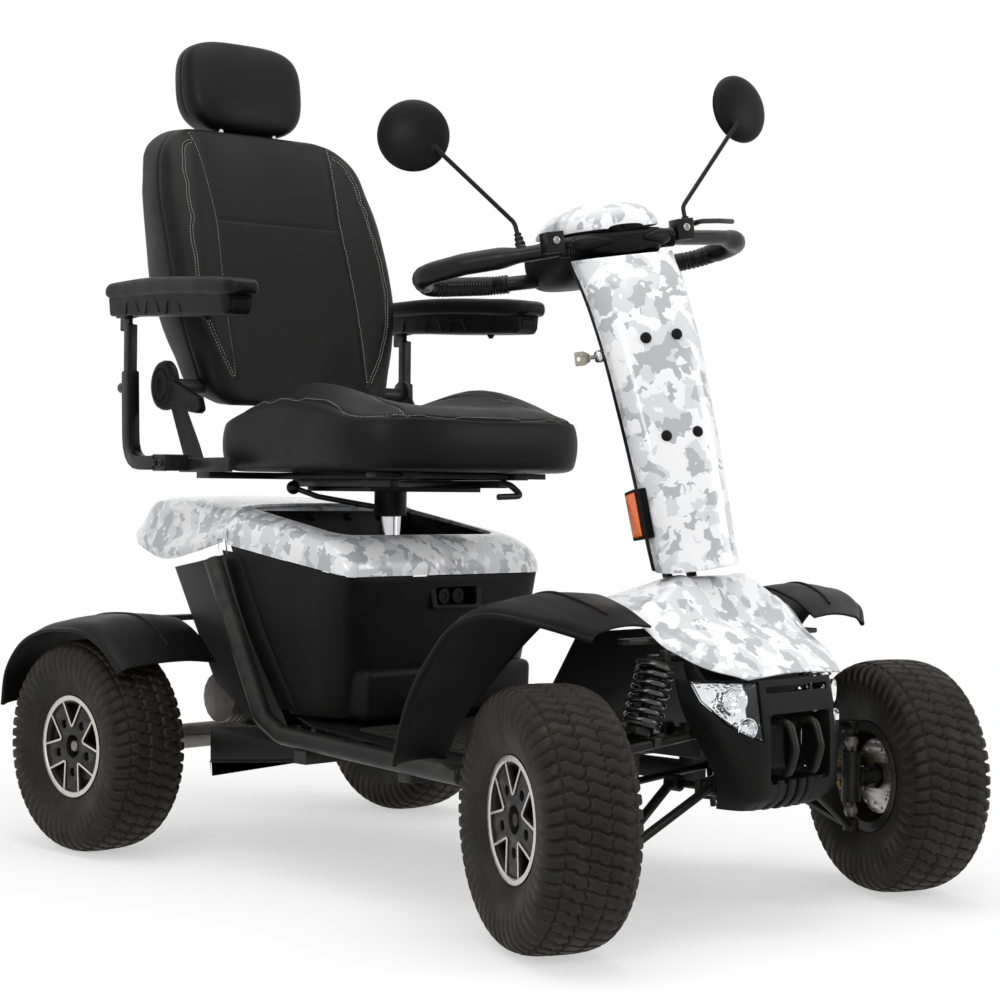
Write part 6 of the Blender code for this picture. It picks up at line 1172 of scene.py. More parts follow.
for label, (pad, cap) in pads.items():
    swollen = np.array([v.co for v in pad.data.vertices])
    moved = swollen - before[label]
    moved -= moved.mean(axis=0)
    far = np.linalg.norm(moved, axis=1, keepdims=True)
    moved *= np.minimum(1.0, cap / np.maximum(far, 1e-9))
    shape = before[label] + calmed(pad, moved, 60)
    if label == "cushion":
        shape[:, 2] = np.maximum(shape[:, 2], 0.6905)
    pad.data.vertices.foreach_set("co", shape.ravel())
    modifier(pad, "SMOOTH", factor=0.5, iterations=9)
    modifier(pad, "SUBSURF", levels=1, render_levels=1)
    applied(pad)
    # Each pad gets an attribute that holds the painted shade along its seams.
    pad.data.attributes.new("seam_shade", "FLOAT", "POINT")


def traced(pad, points, spacing=0.0015):
    """A path of points laid on a pad's surface, at even steps, with the surface's normals."""
    surface = BVHTree.FromObject(pad, bpy.context.evaluated_depsgraph_get())
    laid = []
    for start, end in zip(points, points[1:]):
        count = max(int((Vector(end) - Vector(start)).length / spacing), 1)
        laid += [Vector(start).lerp(Vector(end), n / count) for n in range(count)]
    laid = np.array([surface.find_nearest(point)[0] for point in [*laid, Vector(points[-1])]])
    for _ in range(5):
        padded_path = np.concatenate([np.repeat(laid[:1], 6, axis=0), laid, np.repeat(laid[-1:], 6, axis=0)])
        calm = sum(padded_path[n:n + len(laid)] for n in range(13)) / 13
        laid = np.array([surface.find_nearest(Vector(point))[0] for point in calm])
    return [surface.find_nearest(Vector(point))[:2] for point in laid]


def sewn(pad, points, depth=0.0028, width=0.0032):
    """Draws a seam into a pad: the cover sinks along the path, and the groove is darkened with painted shade."""
    path = traced(pad, points)
    near = KDTree(len(path))
    for number, (at, _) in enumerate(path):
        near.insert(at, number)
    near.balance()
    count = len(pad.data.vertices)
    places, normals, shade = np.empty(count * 3), np.empty(count * 3), np.empty(count)
    pad.data.vertices.foreach_get("co", places)
    pad.data.vertices.foreach_get("normal", normals)
    pad.data.attributes["seam_shade"].data.foreach_get("value", shade)
    places, normals = places.reshape(-1, 3), normals.reshape(-1, 3)
    away = np.array([near.find(place)[2] for place in places])
    places -= normals * (depth * np.exp(-(away / width) ** 2))[:, None]
    pad.data.vertices.foreach_set("co", places.ravel())
    # This attribute holds the painted shade along the groove, which darkens the vinyl there.
    pad.data.attributes["seam_shade"].data.foreach_set("value", np.maximum(shade, np.exp(-(away / 0.0012) ** 2)))
    pad.data.update()


stitch_shape = [(-0.0018, 0.0, 0.0), (-0.0012, 0.00055, 0.0), (0.0012, 0.00055, 0.0), (0.0018, 0.0, 0.0), (0.0012, -0.00055, 0.0), (-0.0012, -0.00055, 0.0),
                (-0.0010, 0.0, 0.00062), (0.0010, 0.0, 0.00062)]
stitch_faces = [(0, 1, 6), (1, 2, 7, 6), (2, 3, 7), (3, 4, 7), (4, 5, 6, 7), (5, 0, 6), (0, 5, 4, 3, 2, 1)]


def stitched(pad, points, aside, pitch=0.0050):
    """Short raised stitches along a seam, set aside from it by a distance across the path."""
    path = traced(pad, points)
    surface = BVHTree.FromObject(pad, bpy.context.evaluated_depsgraph_get())
    verts, faces = [], []
    walked, due = 0.0, 0.0
    for index, ((start, normal), (end, _)) in enumerate(zip(path, path[1:])):
        walked += (end - start).length
        along = path[min(index + 5, len(path) - 1)][0] - path[max(index - 4, 0)][0]
        if walked < due or along.length < 1e-6:
            continue
        due = walked + pitch
        along.normalize()
        at, up, _, _ = surface.find_nearest(start + along.cross(normal).normalized() * aside)
        along = (along - up * along.dot(up)).normalized()
        across = up.cross(along)
        first = len(verts)
        verts += [at + along * a + across * b + up * (c + 0.0001) for a, b, c in stitch_shape]
        faces += [tuple(first + n for n in face) for face in stitch_faces]
    mesh = bpy.data.meshes.new("stitches")
    mesh.from_pydata(verts, [], faces)
    return faced_out(linked("stitches", mesh))


back_rows, cushion_rows, head_rows = [], [], []
for s in (-1, 1):
    inner = [(-0.716, s * 0.155, 1.372), (-0.700, s * 0.152, 1.350), (-0.665, s * 0.146, 1.270), (-0.627, s * 0.139, 1.186), (-0.610, s * 0.1415, 1.140),
             (-0.585, s * 0.147, 1.050), (-0.560, s * 0.149, 0.960), (-0.534, s * 0.146, 0.860)]
    loop = softened([(-0.690, s * 0.153, 1.346), (-0.682, s * 0.178, 1.350), (-0.640, s * 0.196, 1.285), (-0.590, s * 0.208, 1.180), (-0.556, s * 0.212, 1.060),
                     (-0.545, s * 0.202, 0.985), (-0.536, s * 0.176, 0.915), (-0.530, s * 0.150, 0.866)], 0.05, 6)
    flank = softened([(-0.755, s * 0.168, 1.372), (-0.725, s * 0.205, 1.345), (-0.690, s * 0.234, 1.260), (-0.640, s * 0.246, 1.160), (-0.602, s * 0.248, 1.060),
                      (-0.582, s * 0.238, 0.980), (-0.572, s * 0.218, 0.900), (-0.565, s * 0.196, 0.845)], 0.05, 6)
    for path, depth, width in ((inner, 0.0040, 0.0042), (loop, 0.0026, 0.0034), (flank, 0.0022, 0.0030)):
        sewn(back, path, depth, width)
    back_rows += [stitched(back, inner, -s * 0.0034), stitched(back, loop, 0.0033), stitched(back, loop, -0.0033)]
    side = softened([(-0.455, s * 0.226, 0.8065), (-0.300, s * 0.236, 0.822), (-0.070, s * 0.240, 0.822), (0.030, s * 0.236, 0.797), (0.079, s * 0.190, 0.787)], 0.05, 6)
    ridge = softened([(-0.455, s * 0.120, 0.812), (-0.320, s * 0.128, 0.822), (-0.150, s * 0.138, 0.826), (-0.020, s * 0.148, 0.818), (0.060, s * 0.158, 0.800),
                      (0.090, s * 0.162, 0.788)], 0.05, 6)
    for path, depth in ((side, 0.0026), (ridge, 0.0034)):
        sewn(cushion, path, depth, 0.0034)
    cushion_rows += [stitched(cushion, side, s * 0.0032), stitched(cushion, ridge, -s * 0.0032)]
    sewn(head, softened([(-0.790, s * 0.118, 1.405), (-0.795, s * 0.133, 1.470), (-0.803, s * 0.120, 1.548), (-0.806, s * 0.060, 1.566), (-0.806, 0.0, 1.568)], 0.03, 5), 0.0018, 0.0026)
sewn(back, [(-0.627, y, 1.184) for y in (-0.139, 0.0, 0.139)], 0.0026, 0.0040)
front_seam = softened([(0.079, -0.192, 0.787), (0.090, -0.150, 0.787), (0.098, 0.0, 0.787), (0.090, 0.150, 0.787), (0.079, 0.192, 0.787)], 0.04, 6)
sewn(cushion, front_seam, 0.0026, 0.0034)
cushion_rows.append(stitched(cushion, front_seam, -0.0032))
for pad, rows, body, node_name in ((cushion, cushion_rows, "seat", "seat_cushion"), (back, back_rows, "back", "backrest"), (head, [], "head", "headrest")):
    pad.data.transform(seated)
    smooth(pad, 180.0)
    put(pad, vinyl, body, "vinyl", node_name)
    if rows:
        stitches = joined(pad.name.replace("pad", "stitches"), rows)
        stitches.data.transform(seated)
        put(stitches, thread, body, "vinyl")
rods = [lathe_bar("head_rod", [(0.0060, 0.0), (0.0060, 1.0)], (-0.745, s * 0.06, 1.300), (-0.768, s * 0.06, 1.410), 24) for s in (-1, 1)]
guides = joined("headrest_rods", rods)
guides.data.transform(seated)
put(guides, chrome, "head", "chrome")
hinge_bar = lathe_bar("recline_hinge_bar", [(0.0140, 0.0), (0.0140, 1.0)], (-0.579, -0.2575, 0.853), (-0.579, 0.2575, 0.853), 32)
hinge_bar.data.transform(seated)
put(hinge_bar, steel, "back", "black_steel")

# Armrests: square steel tubes bent up behind the backrest, clamped in the seat's brackets, and padded
# tops in soft black over hard housings with raised ribs along each side.
soft_black, tree, shader = finish("soft_arm_pad", (0.0034, 0.0034, 0.0034), 0.38, specular=0.14)
bumped(tree, shader, use(tree, grain, Scale=900.0, Cells=0.8), 0.22, 0.0003)
rough_cloud(tree, shader, 0.34, 0.50, 16.0)
bolt_head = [(0.0, 0.0), (0.0052, 0.0), (0.0060, 0.0010), (0.0060, 0.0035), (0.0048, 0.0046), (0.0026, 0.0048), (0.0024, 0.0030), (0.0, 0.0030)]
for label, s in (("R", -1), ("L", 1)):
    y = s * 0.312
    put(dressed("armrest_post_" + label, "arm_tube_" + label, 0.0026, 3, 35.0), steel, "seat", "black_steel", "armrest_post_" + label)
    looking_out = Matrix.Rotation(-s * math.pi / 2, 4, "X")
    bolts = [turned("bolt", bolt_head, 24, seated @ Matrix.Translation((x, s * 0.3243, 0.706)) @ looking_out) for x in (-0.512, -0.488)]
    put(joined("arm_clamp_bolts_" + label, bolts), steel, "seat", "black_steel")
    rows = []
    for x, low, high, half in ((-0.7000, 1.0290, 1.0350, 0.014), (-0.6985, 1.0262, 1.0395, 0.0250), (-0.6900, 1.0225, 1.0455, 0.0320), (-0.6700, 1.0200, 1.0495, 0.0345),
                               (-0.5600, 1.0150, 1.0490, 0.0360), (-0.4500, 1.0100, 1.0440, 0.0360), (-0.3200, 1.0010, 1.0340, 0.0358), (-0.2300, 0.9940, 1.0255, 0.0340),
                               (-0.2050, 0.9945, 1.0210, 0.0290), (-0.1940, 0.9985, 1.0155, 0.0200), (-0.1915, 1.0020, 1.0110, 0.0100)):
        deep = high - low
        rows.append([(x, half * f, low + deep * g) for f, g in ((0.0, 0.0), (0.80, 0.0), (0.95, 0.16), (1.0, 0.42), (0.97, 0.72), (0.84, 0.93), (0.50, 0.995), (0.0, 1.0))])
    grid = faired(rows, 6, 5)
    ring = np.concatenate([grid, (grid * (1, -1, 1))[:, -2:0:-1]], axis=1)
    levels, around = ring.shape[:2]
    mesh = bpy.data.meshes.new("arm_pad_top")
    faces = [(r * around + i, r * around + (i + 1) % around, (r + 1) * around + (i + 1) % around, (r + 1) * around + i) for r in range(levels - 1) for i in range(around)]
    mesh.from_pydata(ring.reshape(-1, 3).tolist(), [], [*faces, list(range(around)), list(range((levels - 1) * around, levels * around))])
    top = faced_out(linked("arm_pad_top_" + label, mesh))
    top.data.transform(seated @ Matrix.Translation((0.0, y, 0.0)))
    smooth(top, 60.0)
    put(top, soft_black, "arm_" + label, "vinyl", "arm_pad_" + label)
    rows = []
    for x, low, high, half in ((-0.6900, 0.9870, 1.0215, 0.0255), (-0.6380, 0.9850, 1.0195, 0.0290), (-0.4500, 0.9725, 1.0130, 0.0318), (-0.2600, 0.9620, 1.0005, 0.0300),
                               (-0.2320, 0.9610, 0.9985, 0.0290), (-0.2180, 0.9680, 0.9970, 0.0250)):
        rows.append([(x, half * f, low + (high - low) * g) for f, g in ((0.0, 0.0), (0.70, 0.0), (0.86, 0.06), (0.94, 0.5), (1.0, 1.0), (0.0, 1.0))])
    grid = faired(rows, 6, 4, (), (4,))
    ring = np.concatenate([grid, (grid * (1, -1, 1))[:, -2:0:-1]], axis=1)
    levels, around = ring.shape[:2]
    mesh = bpy.data.meshes.new("arm_housing")
    faces = [(r * around + i, r * around + (i + 1) % around, (r + 1) * around + (i + 1) % around, (r + 1) * around + i) for r in range(levels - 1) for i in range(around)]
    mesh.from_pydata(ring.reshape(-1, 3).tolist(), [], [*faces, list(range(around)), list(range((levels - 1) * around, levels * around))])
    housing = faced_out(linked("arm_housing_" + label, mesh))
    modifier(housing, "BEVEL", width=0.0016, segments=2, limit_method="ANGLE", angle_limit=math.radians(40))
    applied(housing)
    pieces = [housing]
    for side in (-1, 1):
        for rib_x in (-0.585, -0.500, -0.415):
            lift = 0.022 * (rib_x + 0.585) / -0.17 * -1
            base_z = 1.0085 - 0.030 * (rib_x + 0.585) / 0.17 * 0.35
            arch = softened([(rib_x - 0.026, base_z - 0.0230), (rib_x - 0.018, base_z), (rib_x + 0.018, base_z), (rib_x + 0.030, base_z - 0.0230)], 0.010, 5)
            path = []
            for px, pz in arch:
                wide = float(np.interp(px, (-0.690, -0.638, -0.450, -0.260), (0.0255, 0.0290, 0.0318, 0.0300)))
                share = np.clip((1.015 - pz) / 0.035, 0.0, 1.0)
                path.append(Vector((px, side * wide * (0.985 - 0.055 * share), pz)))
            pieces.append(round_bar("housing_rib", path, 0.0014, 8))
    nose = rounded_block("housing_nose", (0.020, 0.0340, 0.0200), (-0.2250, 0.0, 0.9800), 0.003, 3, Matrix.Identity(4), math.radians(14))
    screw = turned("housing_screw", [(0.0, 0.0), (0.0070, 0.0), (0.0070, -0.0040), (0.0045, -0.0055), (0.0045, -0.0080), (0.0, -0.0080)], 24, Matrix.Translation((-0.3400, 0.0, 0.9665)))
    whole_housing = joined("arm_housing_" + label, [*pieces, nose, screw])
    whole_housing.data.transform(seated @ Matrix.Translation((0.0, y, 0.0)))
    put(smooth(whole_housing, 45.0), plastic, "arm_" + label, "black_plastic")
    forks = []
    for side in (-1, 1):
        fork = softened([Vector(c) for c in ((-0.680, 0.982), (-0.620, 0.985), (-0.620, 1.016), (-0.690, 1.019))], 0.006, 3, closed=True)
        upright_plate = Matrix.Translation((0.0, y + side * 0.0115, 0.0)) @ Matrix.Rotation(math.pi / 2, 4, "X")
        forks.append(flat_plate("fork", fork, 0.006, [circle(0.0056, 20, (-0.668, 0.992))[::-1]], seated @ upright_plate))
    put(joined("arm_fork_" + label, forks), steel, "arm_" + label, "black_steel")

# Recline hinge: a round moulded cover over the right hinge with a ring groove, and a flat release
# lever that sticks out forward with a raised border.
x, z, y = -0.579, 0.853, -0.2658
facing_right = Matrix.Translation((x, y, z)) @ Matrix.Rotation(math.pi / 2, 4, "X")
cover = turned("hinge_cover", [(0.0, 0.0), (0.0470, 0.0), (0.0470, 0.0080), (0.0440, 0.0140), (0.0400, 0.0165), (0.0320, 0.0175), (0.0312, 0.0160), (0.0290, 0.0160),
                               (0.0282, 0.0178), (0.0120, 0.0180), (0.0110, 0.0165), (0.0, 0.0165)], 72, seated @ facing_right)
outline = softened([Vector(c) for c in ((x + 0.020, z + 0.014), (-0.432, 0.826), (-0.422, 0.802), (-0.436, 0.796), (x + 0.010, z - 0.040))], 0.006, 4, closed=True)
inner = [Vector((-0.500 + (c.x + 0.500) * 0.86, 0.826 + (c.y - 0.826) * 0.70)) for c in outline]
upright_lever = Matrix.Translation((0.0, y - 0.009, 0.0)) @ Matrix.Rotation(math.pi / 2, 4, "X")
lever = flat_plate("release_lever", outline, 0.0120, (), seated @ upright_lever, 0.0020)
border = flat_plate("release_border", outline, 0.0140, [inner[::-1]], seated @ upright_lever, 0.0010)
put(joined("recline_release", [cover, lever, border]), plastic, "recline_handle", "black_plastic", "recline_lever")

# Steering column: a steel column with a pitman arm at its foot, a ribbed rubber boot where it leaves
# the hood, and two cheeks that hold the tiller's tilt joint.
turned_bars = standing @ Matrix.Translation((0.5, 0.0, 0.45)) @ Matrix.Rotation(math.radians(-26.0), 4, rake_up) @ Matrix.Translation((-0.5, 0.0, -0.45))
put(dressed("steering_stem", "steering_column", 0.0008, 2), steel, "column", "black_steel", "steering_stem")
pleats = []
for number in range(49):
    share = number / 48
    pleats.append((0.0495 - 0.0135 * share + 0.0016 * math.cos(2 * math.pi * 6 * share), share))
boot = lathe_bar("column_boot", pleats, standing @ on_steering_axis(0.4615), standing @ on_steering_axis(0.5135), 64)
put(boot, rubber, "column", "tyre_rubber")

# Tiller covers: a gently crowned white front that curves back at its top, over a black rear half;
# four black plugs close the screw holes, and an amber reflector sits low on the right flank.
cover_front, cover_back = [], []
for z in (0.545, 0.580, 0.640, 0.700, 0.753, 0.800, 0.850, 0.895, 0.930, 0.960, 0.985, 1.005, 1.020, 1.0395):
    nose_x = float(np.interp(z, (0.545, 0.753, 0.906, 0.990, 1.045), (0.589, 0.541, 0.505, 0.468, 0.428)))
    heights = (0.545, 0.716, 0.856, 0.960, 1.040)
    edge_x = float(np.interp(z, heights, (0.533, 0.504, 0.470, 0.428, 0.377)))
    half = float(np.interp(z, heights, (0.067, 0.0735, 0.0785, 0.082, 0.0857)))
    deep = nose_x - edge_x
    cover_front.append([(nose_x, 0.0, z), (nose_x - deep * 0.05, half * 0.45, z), (nose_x - deep * 0.22, half * 0.78, z), (nose_x - deep * 0.55, half * 0.96, z), (edge_x, half, z)])
    half -= 0.0035
    cover_back.append([(edge_x - 0.050, 0.0, z), (edge_x - 0.048, half * 0.60, z), (edge_x - 0.036, half * 0.90, z), (edge_x - 0.0005, half, z)])
weights = np.array([0.25, 0.5, 0.25])
for rows in (cover_front, cover_back):
    lines = np.array(rows, float)
    for _ in range(2):
        inside = lines[1:-1, :, 0].copy()
        lines[1:-1, :, 0] = weights[0] * lines[:-2, :, 0] + weights[1] * inside + weights[2] * lines[2:, :, 0]
    rows[:] = lines.tolist()
front_shell = shell("tiller_front_shell", mirrored(faired(cover_front, 6, 9)), 0.003, (1, 0, 0), 0.0010, turned_bars)
put(front_shell, camo, "tiller", "camouflage", "tiller_cover_front")
back_shell = shell("tiller_back_shell", mirrored(faired(cover_back, 6, 7)), 0.003, (-1, 0, 0), 0.0010, turned_bars)
tilt_at = on_steering_axis(0.545)
cut(back_shell, lathe_bar("post_way", [(0.0260, 0.0), (0.0260, 1.0)], turned_bars @ on_steering_axis(0.500), turned_bars @ Vector((0.520, 0.0, 0.612)), 24))
put(back_shell, plastic, "tiller", "black_plastic", "tiller_cover_rear")
plugs = []
for z, y in ((0.7533, 0.0265), (0.7533, -0.0265), (0.9063, 0.0265), (0.9063, -0.0265)):
    nose_x = float(np.interp(z, (0.545, 0.753, 0.906, 0.990, 1.045), (0.589, 0.541, 0.505, 0.468, 0.428)))
    lie = turned_bars @ Matrix.Translation((nose_x - 0.0020, y, z)) @ Matrix.Rotation(math.radians(76.5), 4, "Y")
    plugs.append(turned("plug", [(0.0, -0.004), (0.0088, -0.004), (0.0088, 0.0018), (0.0080, 0.0030), (0.0060, 0.0038), (0.0030, 0.0042), (0.0, 0.0043)], 40, lie))
put(joined("cover_plugs", plugs), plastic, "tiller", "black_plastic")
amber, tree, shader = finish("amber_reflector", (0.80, 0.165, 0.006), 0.22, specular=0.5, coat=0.6)
cells = node(tree, "ShaderNodeTexVoronoi", {"Vector": node(tree, "ShaderNodeTexCoord").outputs["Object"], "Scale": 420.0})
tinted(tree, shader, (1.0, 0.20, 0.0), (0.86, 0.12, 0.0), cells.outputs["Distance"])
bumped(tree, shader, cells.outputs["Distance"], 0.5, 0.0006)
corners = [Vector(c) for c in ((0.494, 0.671), (0.534, 0.679), (0.548, 0.6015), (0.509, 0.596))]
middle = sum(corners, Vector((0.0, 0.0))) / 4
bezel = softened(corners, 0.004, 4, closed=True)
lens = [middle + (c - middle) * 0.88 for c in bezel]
bezel_pieces = []
for name, y, thick, holes in (("reflector_frame", -0.0785, 0.0200, [lens[::-1]]), ("reflector_back", -0.0750, 0.0120, [])):
    on_flank = turned_bars @ Matrix.Translation((0.0, y, 0.0)) @ Matrix.Rotation(math.pi / 2, 4, "X")
    bezel_pieces.append(flat_plate(name, bezel, thick, holes, on_flank, 0.0010))
put(joined("reflector_bezel", bezel_pieces), plastic, "tiller", "black_plastic")
on_flank = turned_bars @ Matrix.Translation((0.0, -0.0865, 0.0)) @ Matrix.Rotation(math.pi / 2, 4, "X")
put(flat_plate("reflector_lens", lens, 0.0060, (), on_flank, 0.0010), amber, "tiller", "clear_lens")

# Control head: a black moulded saddle behind the tiller's top, with two swellings toward the front,
# under a domed white lid that is printed as the other panels are.
rings = []
for x, low, high, half in ((0.1085, 1.026, 1.046, 0.036), (0.112, 1.014, 1.054, 0.050), (0.130, 1.000, 1.072, 0.068), (0.170, 0.996, 1.079, 0.074), (0.220, 0.996, 1.082, 0.078),
                           (0.280, 0.999, 1.083, 0.081), (0.330, 1.010, 1.083, 0.082), (0.370, 1.0255, 1.082, 0.0800), (0.395, 1.0400, 1.080, 0.0740), (0.412, 1.0410, 1.078, 0.0600), (0.4178, 1.0440, 1.072, 0.0440)):
    deep = high - low
    rings.append([(x, half * f, low + deep * g) for f, g in ((0.0, 0.0), (0.45, 0.02), (0.78, 0.12), (0.96, 0.38), (1.0, 0.62), (0.97, 0.86), (0.88, 0.985), (0.70, 1.0), (0.0, 1.0))])
grid = faired(rings, 6, 5)
ring = np.concatenate([grid, (grid * (1, -1, 1))[:, -2:0:-1]], axis=1)
levels, around = ring.shape[:2]
mesh = bpy.data.meshes.new("control_head")
faces = [(r * around + i, r * around + (i + 1) % around, (r + 1) * around + (i + 1) % around, (r + 1) * around + i) for r in range(levels - 1) for i in range(around)]
mesh.from_pydata(ring.reshape(-1, 3).tolist(), [], [*faces, list(range(around)), list(range((levels - 1) * around, levels * around))])
saddle = faced_out(linked("control_head", mesh))
saddle.data.transform(turned_bars)
smooth(saddle, 50.0)
swellings = []
for s in (-1, 1):
    profile = [(0.0135 * math.sin(math.pi * (n / 20) ** 0.7) ** 0.7, n / 20) for n in range(1, 20)]
    start, end = Vector((0.389, s * 0.086, 1.0640)), Vector((0.4215, s * 0.026, 1.0640))
    swellings.append(lathe_bar("swelling", profile, turned_bars @ start, turned_bars @ end, 40))
put(joined("control_head", [saddle, *swellings]), plastic, "tiller", "black_plastic", "console")
rings = []
for x, top, half in ((0.1765, 1.0865, 0.030), (0.179, 1.0930, 0.043), (0.187, 1.1035, 0.056), (0.200, 1.1120, 0.066), (0.230, 1.1220, 0.0715), (0.260, 1.1285, 0.074), (0.330, 1.1328, 0.074),
                     (0.370, 1.1275, 0.069), (0.395, 1.1190, 0.0610), (0.408, 1.1090, 0.0510), (0.414, 1.0990, 0.0400), (0.4155, 1.0890, 0.0280)):
    deep = top - 1.0836
    half *= 1.07
    rings.append([(x, half * f, 1.0836 + deep * g) for f, g in ((0.0, 1.0), (0.32, 0.965), (0.60, 0.86), (0.82, 0.66), (0.95, 0.38), (1.0, 0.06), (1.0, 0.0))])
lid = shell("domed_lid", mirrored(faired(rings, 6, 5)), 0.0025, (0, 0, 1), 0.0008, turned_bars)
put(lid, camo, "tiller", "camouflage", "console_dome")

# Handlebar: one loop of coated steel tube on each side, thickly wrapped round its outer bend, with
# ribbed grips at the rear, square clamp blocks, and a wire stem for each mirror in a ribbed boot.
silver, tree, shader = finish("satin_silver", (0.30, 0.285, 0.265), 0.36, metallic=0.9)
rough_cloud(tree, shader, 0.24, 0.40, 120.0)
bumped(tree, shader, use(tree, grain, Scale=700.0, Cells=0.4), 0.10, 0.0002)
bars = []
sides = {}
for s in (-1, 1):
    corners = [(0.372, 0.0, 1.062), (0.372, s * 0.092, 1.062), (0.285, s * 0.232, 1.056), (0.236, s * 0.292, 1.046), (0.146, s * 0.250, 1.028), (0.132, s * 0.130, 1.020),
               (0.155, s * 0.094, 1.020), (0.155, 0.0, 1.020)]
    dense = []
    bends = softened(corners, 0.050, 8)
    for start, end in zip(bends, bends[1:]):
        count = max(int((end - start).length / 0.004), 1)
        dense += [start.lerp(end, n / count) for n in range(count)]
    sides[s] = [*dense, bends[-1]]
    radii = []
    for p in sides[s]:
        outer = np.clip((abs(p.y) - (0.150 if s < 0 else 0.232)) / 0.035, 0.0, 1.0) * np.clip((p.x - 0.160) / 0.03, 0.0, 1.0)
        radii.append(1.0 + 0.42 * float(outer * outer * (3 - 2 * outer)))
    bars.append(round_bar("loop", sides[s], 0.0125, 28, radii, placed=turned_bars))
    grip = [p for p in sides[s] if p.x < 0.215 and abs(p.y) > 0.105]
    finer = []
    for start, end in zip(grip, grip[1:]):
        finer += [start.lerp(end, n / 4) for n in range(4)]
    ribs = [1.0 + 0.055 * math.cos(2 * math.pi * n / 5) for n in range(len(finer))]
    bars.append(round_bar("ribbed_grip", finer, 0.0156, 28, ribs, placed=turned_bars))
    bars.append(rounded_block("clamp_block", (0.034, 0.030, 0.034), (0.380, s * 0.114, 1.072), 0.0022, 3, turned_bars))
    facing_front_bolt = turned_bars @ Matrix.Translation((0.3965, s * 0.114, 1.0745)) @ Matrix.Rotation(math.pi / 2, 4, "Y")
    sleeve = [Vector((0.372, s * y, 1.062)) for y in np.arange(0.074, 0.101, 0.0008)]
    bars.append(round_bar("ribbed_sleeve", sleeve, 0.0150, 24, [1.0 + 0.06 * math.cos(2 * math.pi * n / 6) for n in range(len(sleeve))], placed=turned_bars))
    stem_path = softened([(0.332, s * 0.148, 1.060), (0.318, s * 0.150, 1.112), (0.3155, s * 0.2690, 1.2430)], 0.018, 6)
    bars.append(round_bar("mirror_stem", stem_path, 0.0038, 14, placed=turned_bars))
    cone = [(0.0105 - 0.0050 * n / 24 + 0.0008 * math.cos(2 * math.pi * 4 * n / 24), n / 24) for n in range(25)]
    bars.append(lathe_bar("stem_boot", cone, turned_bars @ Vector((0.332, s * 0.148, 1.062)), turned_bars @ Vector((0.3235, s * 0.1492, 1.094)), 28))
    bolt = turned("clamp_bolt_" + ("R" if s < 0 else "L"), bolt_head, 32, facing_front_bolt)
    put(bolt, silver, "tiller", "chrome")
tube_path = softened([tuple(on_steering_axis(0.575)), (0.512, 0.0, 0.600), (0.478, 0.0, 0.755), (0.444, 0.0, 0.906), (0.400, 0.0, 1.000), (0.372, 0.0, 1.062)], 0.05, 5)
bars.append(round_bar("inner_post", tube_path, 0.0120, 20, placed=turned_bars))
wrapped, tree, shader = finish("wrapped_bar", (0.0038, 0.0038, 0.0038), 0.34, specular=0.22)
bumped(tree, shader, use(tree, grain, Scale=900.0, Cells=0.5), 0.14, 0.0003)
rough_cloud(tree, shader, 0.26, 0.42, 40.0)
put(joined("handlebar_loops", bars), wrapped, "tiller", "black_steel", "handlebar")

# Levers and key: a cast silver thumb lever inside the right loop, a flat brake lever over the left
# bar, and a plated key with a pierced bow in a chromed lock barrel.
put(dressed("throttle_lever", "thumb_paddle", 0.0016, 3), silver, "thumb_lever", "cast_alloy", "throttle_lever")
put(dressed("brake_lever", "parking_brake_lever", 0.0008, 2), steel, "brake_handle", "black_steel", "brake_lever")
barrel = turned("lock_barrel", [(0.0, 0.0), (0.0100, 0.0), (0.0100, 0.0125), (0.0085, 0.0150), (0.0060, 0.0158), (0.0, 0.0158)], 40,
                turned_bars @ Matrix.Translation((0.436, -0.0700, 0.885)) @ Matrix.Rotation(math.pi / 2, 4, "X"))
put(barrel, chrome, "tiller", "chrome")
key_metal, tree, shader = finish("plated_key", (0.44, 0.41, 0.35), 0.28, metallic=1.0)
scuffs = node(tree, "ShaderNodeTexNoise", {"Vector": node(tree, "ShaderNodeTexCoord").outputs["Object"], "Scale": 300.0, "Detail": 6.0})
tinted(tree, shader, (0.46, 0.43, 0.37), (0.24, 0.22, 0.19), scuffs.outputs["Fac"])
rough_cloud(tree, shader, 0.2, 0.4, 200.0)
bow = softened([Vector(c) for c in ((-0.0960, -0.0060), (-0.0960, 0.0060), (-0.1060, 0.0112), (-0.1210, 0.0112), (-0.1210, -0.0112), (-0.1060, -0.0112))], 0.003, 4, closed=True)
in_yz = turned_bars @ Matrix.Translation((0.436, 0.0, 0.885)) @ Matrix.Rotation(math.pi / 2, 4, "Z") @ Matrix.Rotation(math.pi / 2, 4, "X")
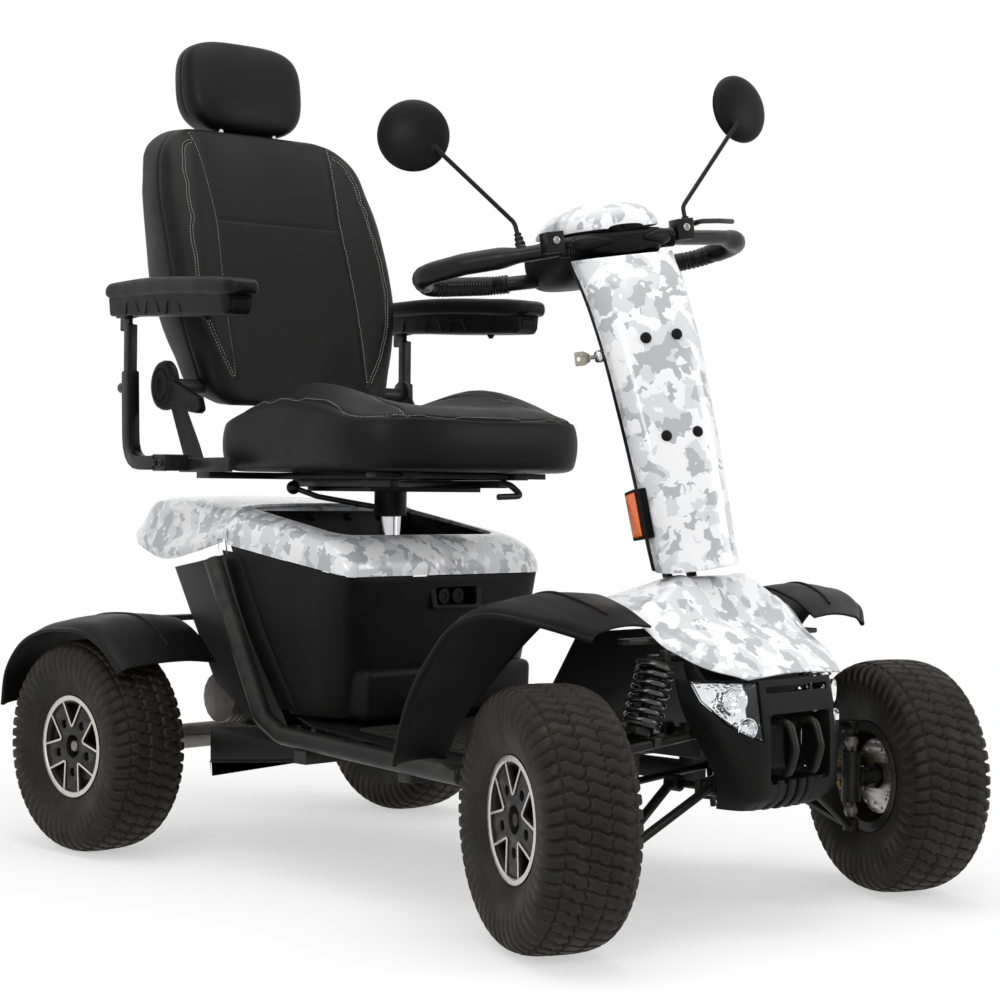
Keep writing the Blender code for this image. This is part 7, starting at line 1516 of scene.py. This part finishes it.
key_bow = flat_plate("key_bow", bow, 0.0026, [circle(0.0035, 20, (-0.1150, 0.0))[::-1]], in_yz, 0.0004)
neck = turned("key_neck", [(0.0, 0.0), (0.0033, 0.0), (0.0033, 0.0100), (0.0022, 0.0112), (0.0, 0.0112)], 20,
              turned_bars @ Matrix.Translation((0.436, -0.0864, 0.885)) @ Matrix.Rotation(math.pi / 2, 4, "X"))
put(joined("pierced_key", [key_bow, neck]), key_metal, "key", "key_metal", "ignition_key")

# Mirrors: round black shells with a convex back and a slightly convex glass toward the rider, each
# on a small ball boss at the stem's end.
mirror_glass, tree, shader = finish("mirror_glass", (0.80, 0.81, 0.82), 0.06, metallic=1.0)
rough_cloud(tree, shader, 0.04, 0.09, 30.0)
for label, s in (("R", -1), ("L", 1)):
    facing = Vector((-0.93, -s * 0.30, -0.12)).normalized()
    lie = turned_bars @ Matrix.Translation((0.2827, s * 0.2912, 1.2675)) @ facing.to_track_quat("Z", "Y").to_matrix().to_4x4()
    profile = [(0.0, 0.0030), (0.0535, 0.0030), (0.0545, 0.0042), (0.0568, 0.0042), (0.0580, 0.0022)]
    profile += [(0.0580 * math.cos(math.pi / 2 * n / 14), 0.0010 - 0.0190 * math.sin(math.pi / 2 * n / 14)) for n in range(15)]
    back_cap = turned("mirror_shell_" + label, profile, 72, lie)
    joint = Vector((0.3155, s * 0.2690, 1.2430))
    boss = lathe_bar("mirror_boss", [(0.0050, 0.0), (0.0072, 0.20), (0.0072, 1.0)], turned_bars @ (joint + facing * 0.0064), turned_bars @ (joint + facing * 0.0130), 24)
    put(joined("mirror_shell_" + label, [back_cap, boss]), plastic, "mirror_head_" + label, "mirror_shell", "mirror_" + label)
    glass_face = [(0.0, 0.0031)] + [(0.0532 * n / 8, 0.0046 - 0.0013 * (n / 8) ** 2) for n in range(8, -1, -1)]
    put(turned("mirror_glass_" + label, glass_face[1:] + [(0.0, 0.0031), (0.0532, 0.0031)], 72, lie), mirror_glass, "mirror_head_" + label, "chrome")
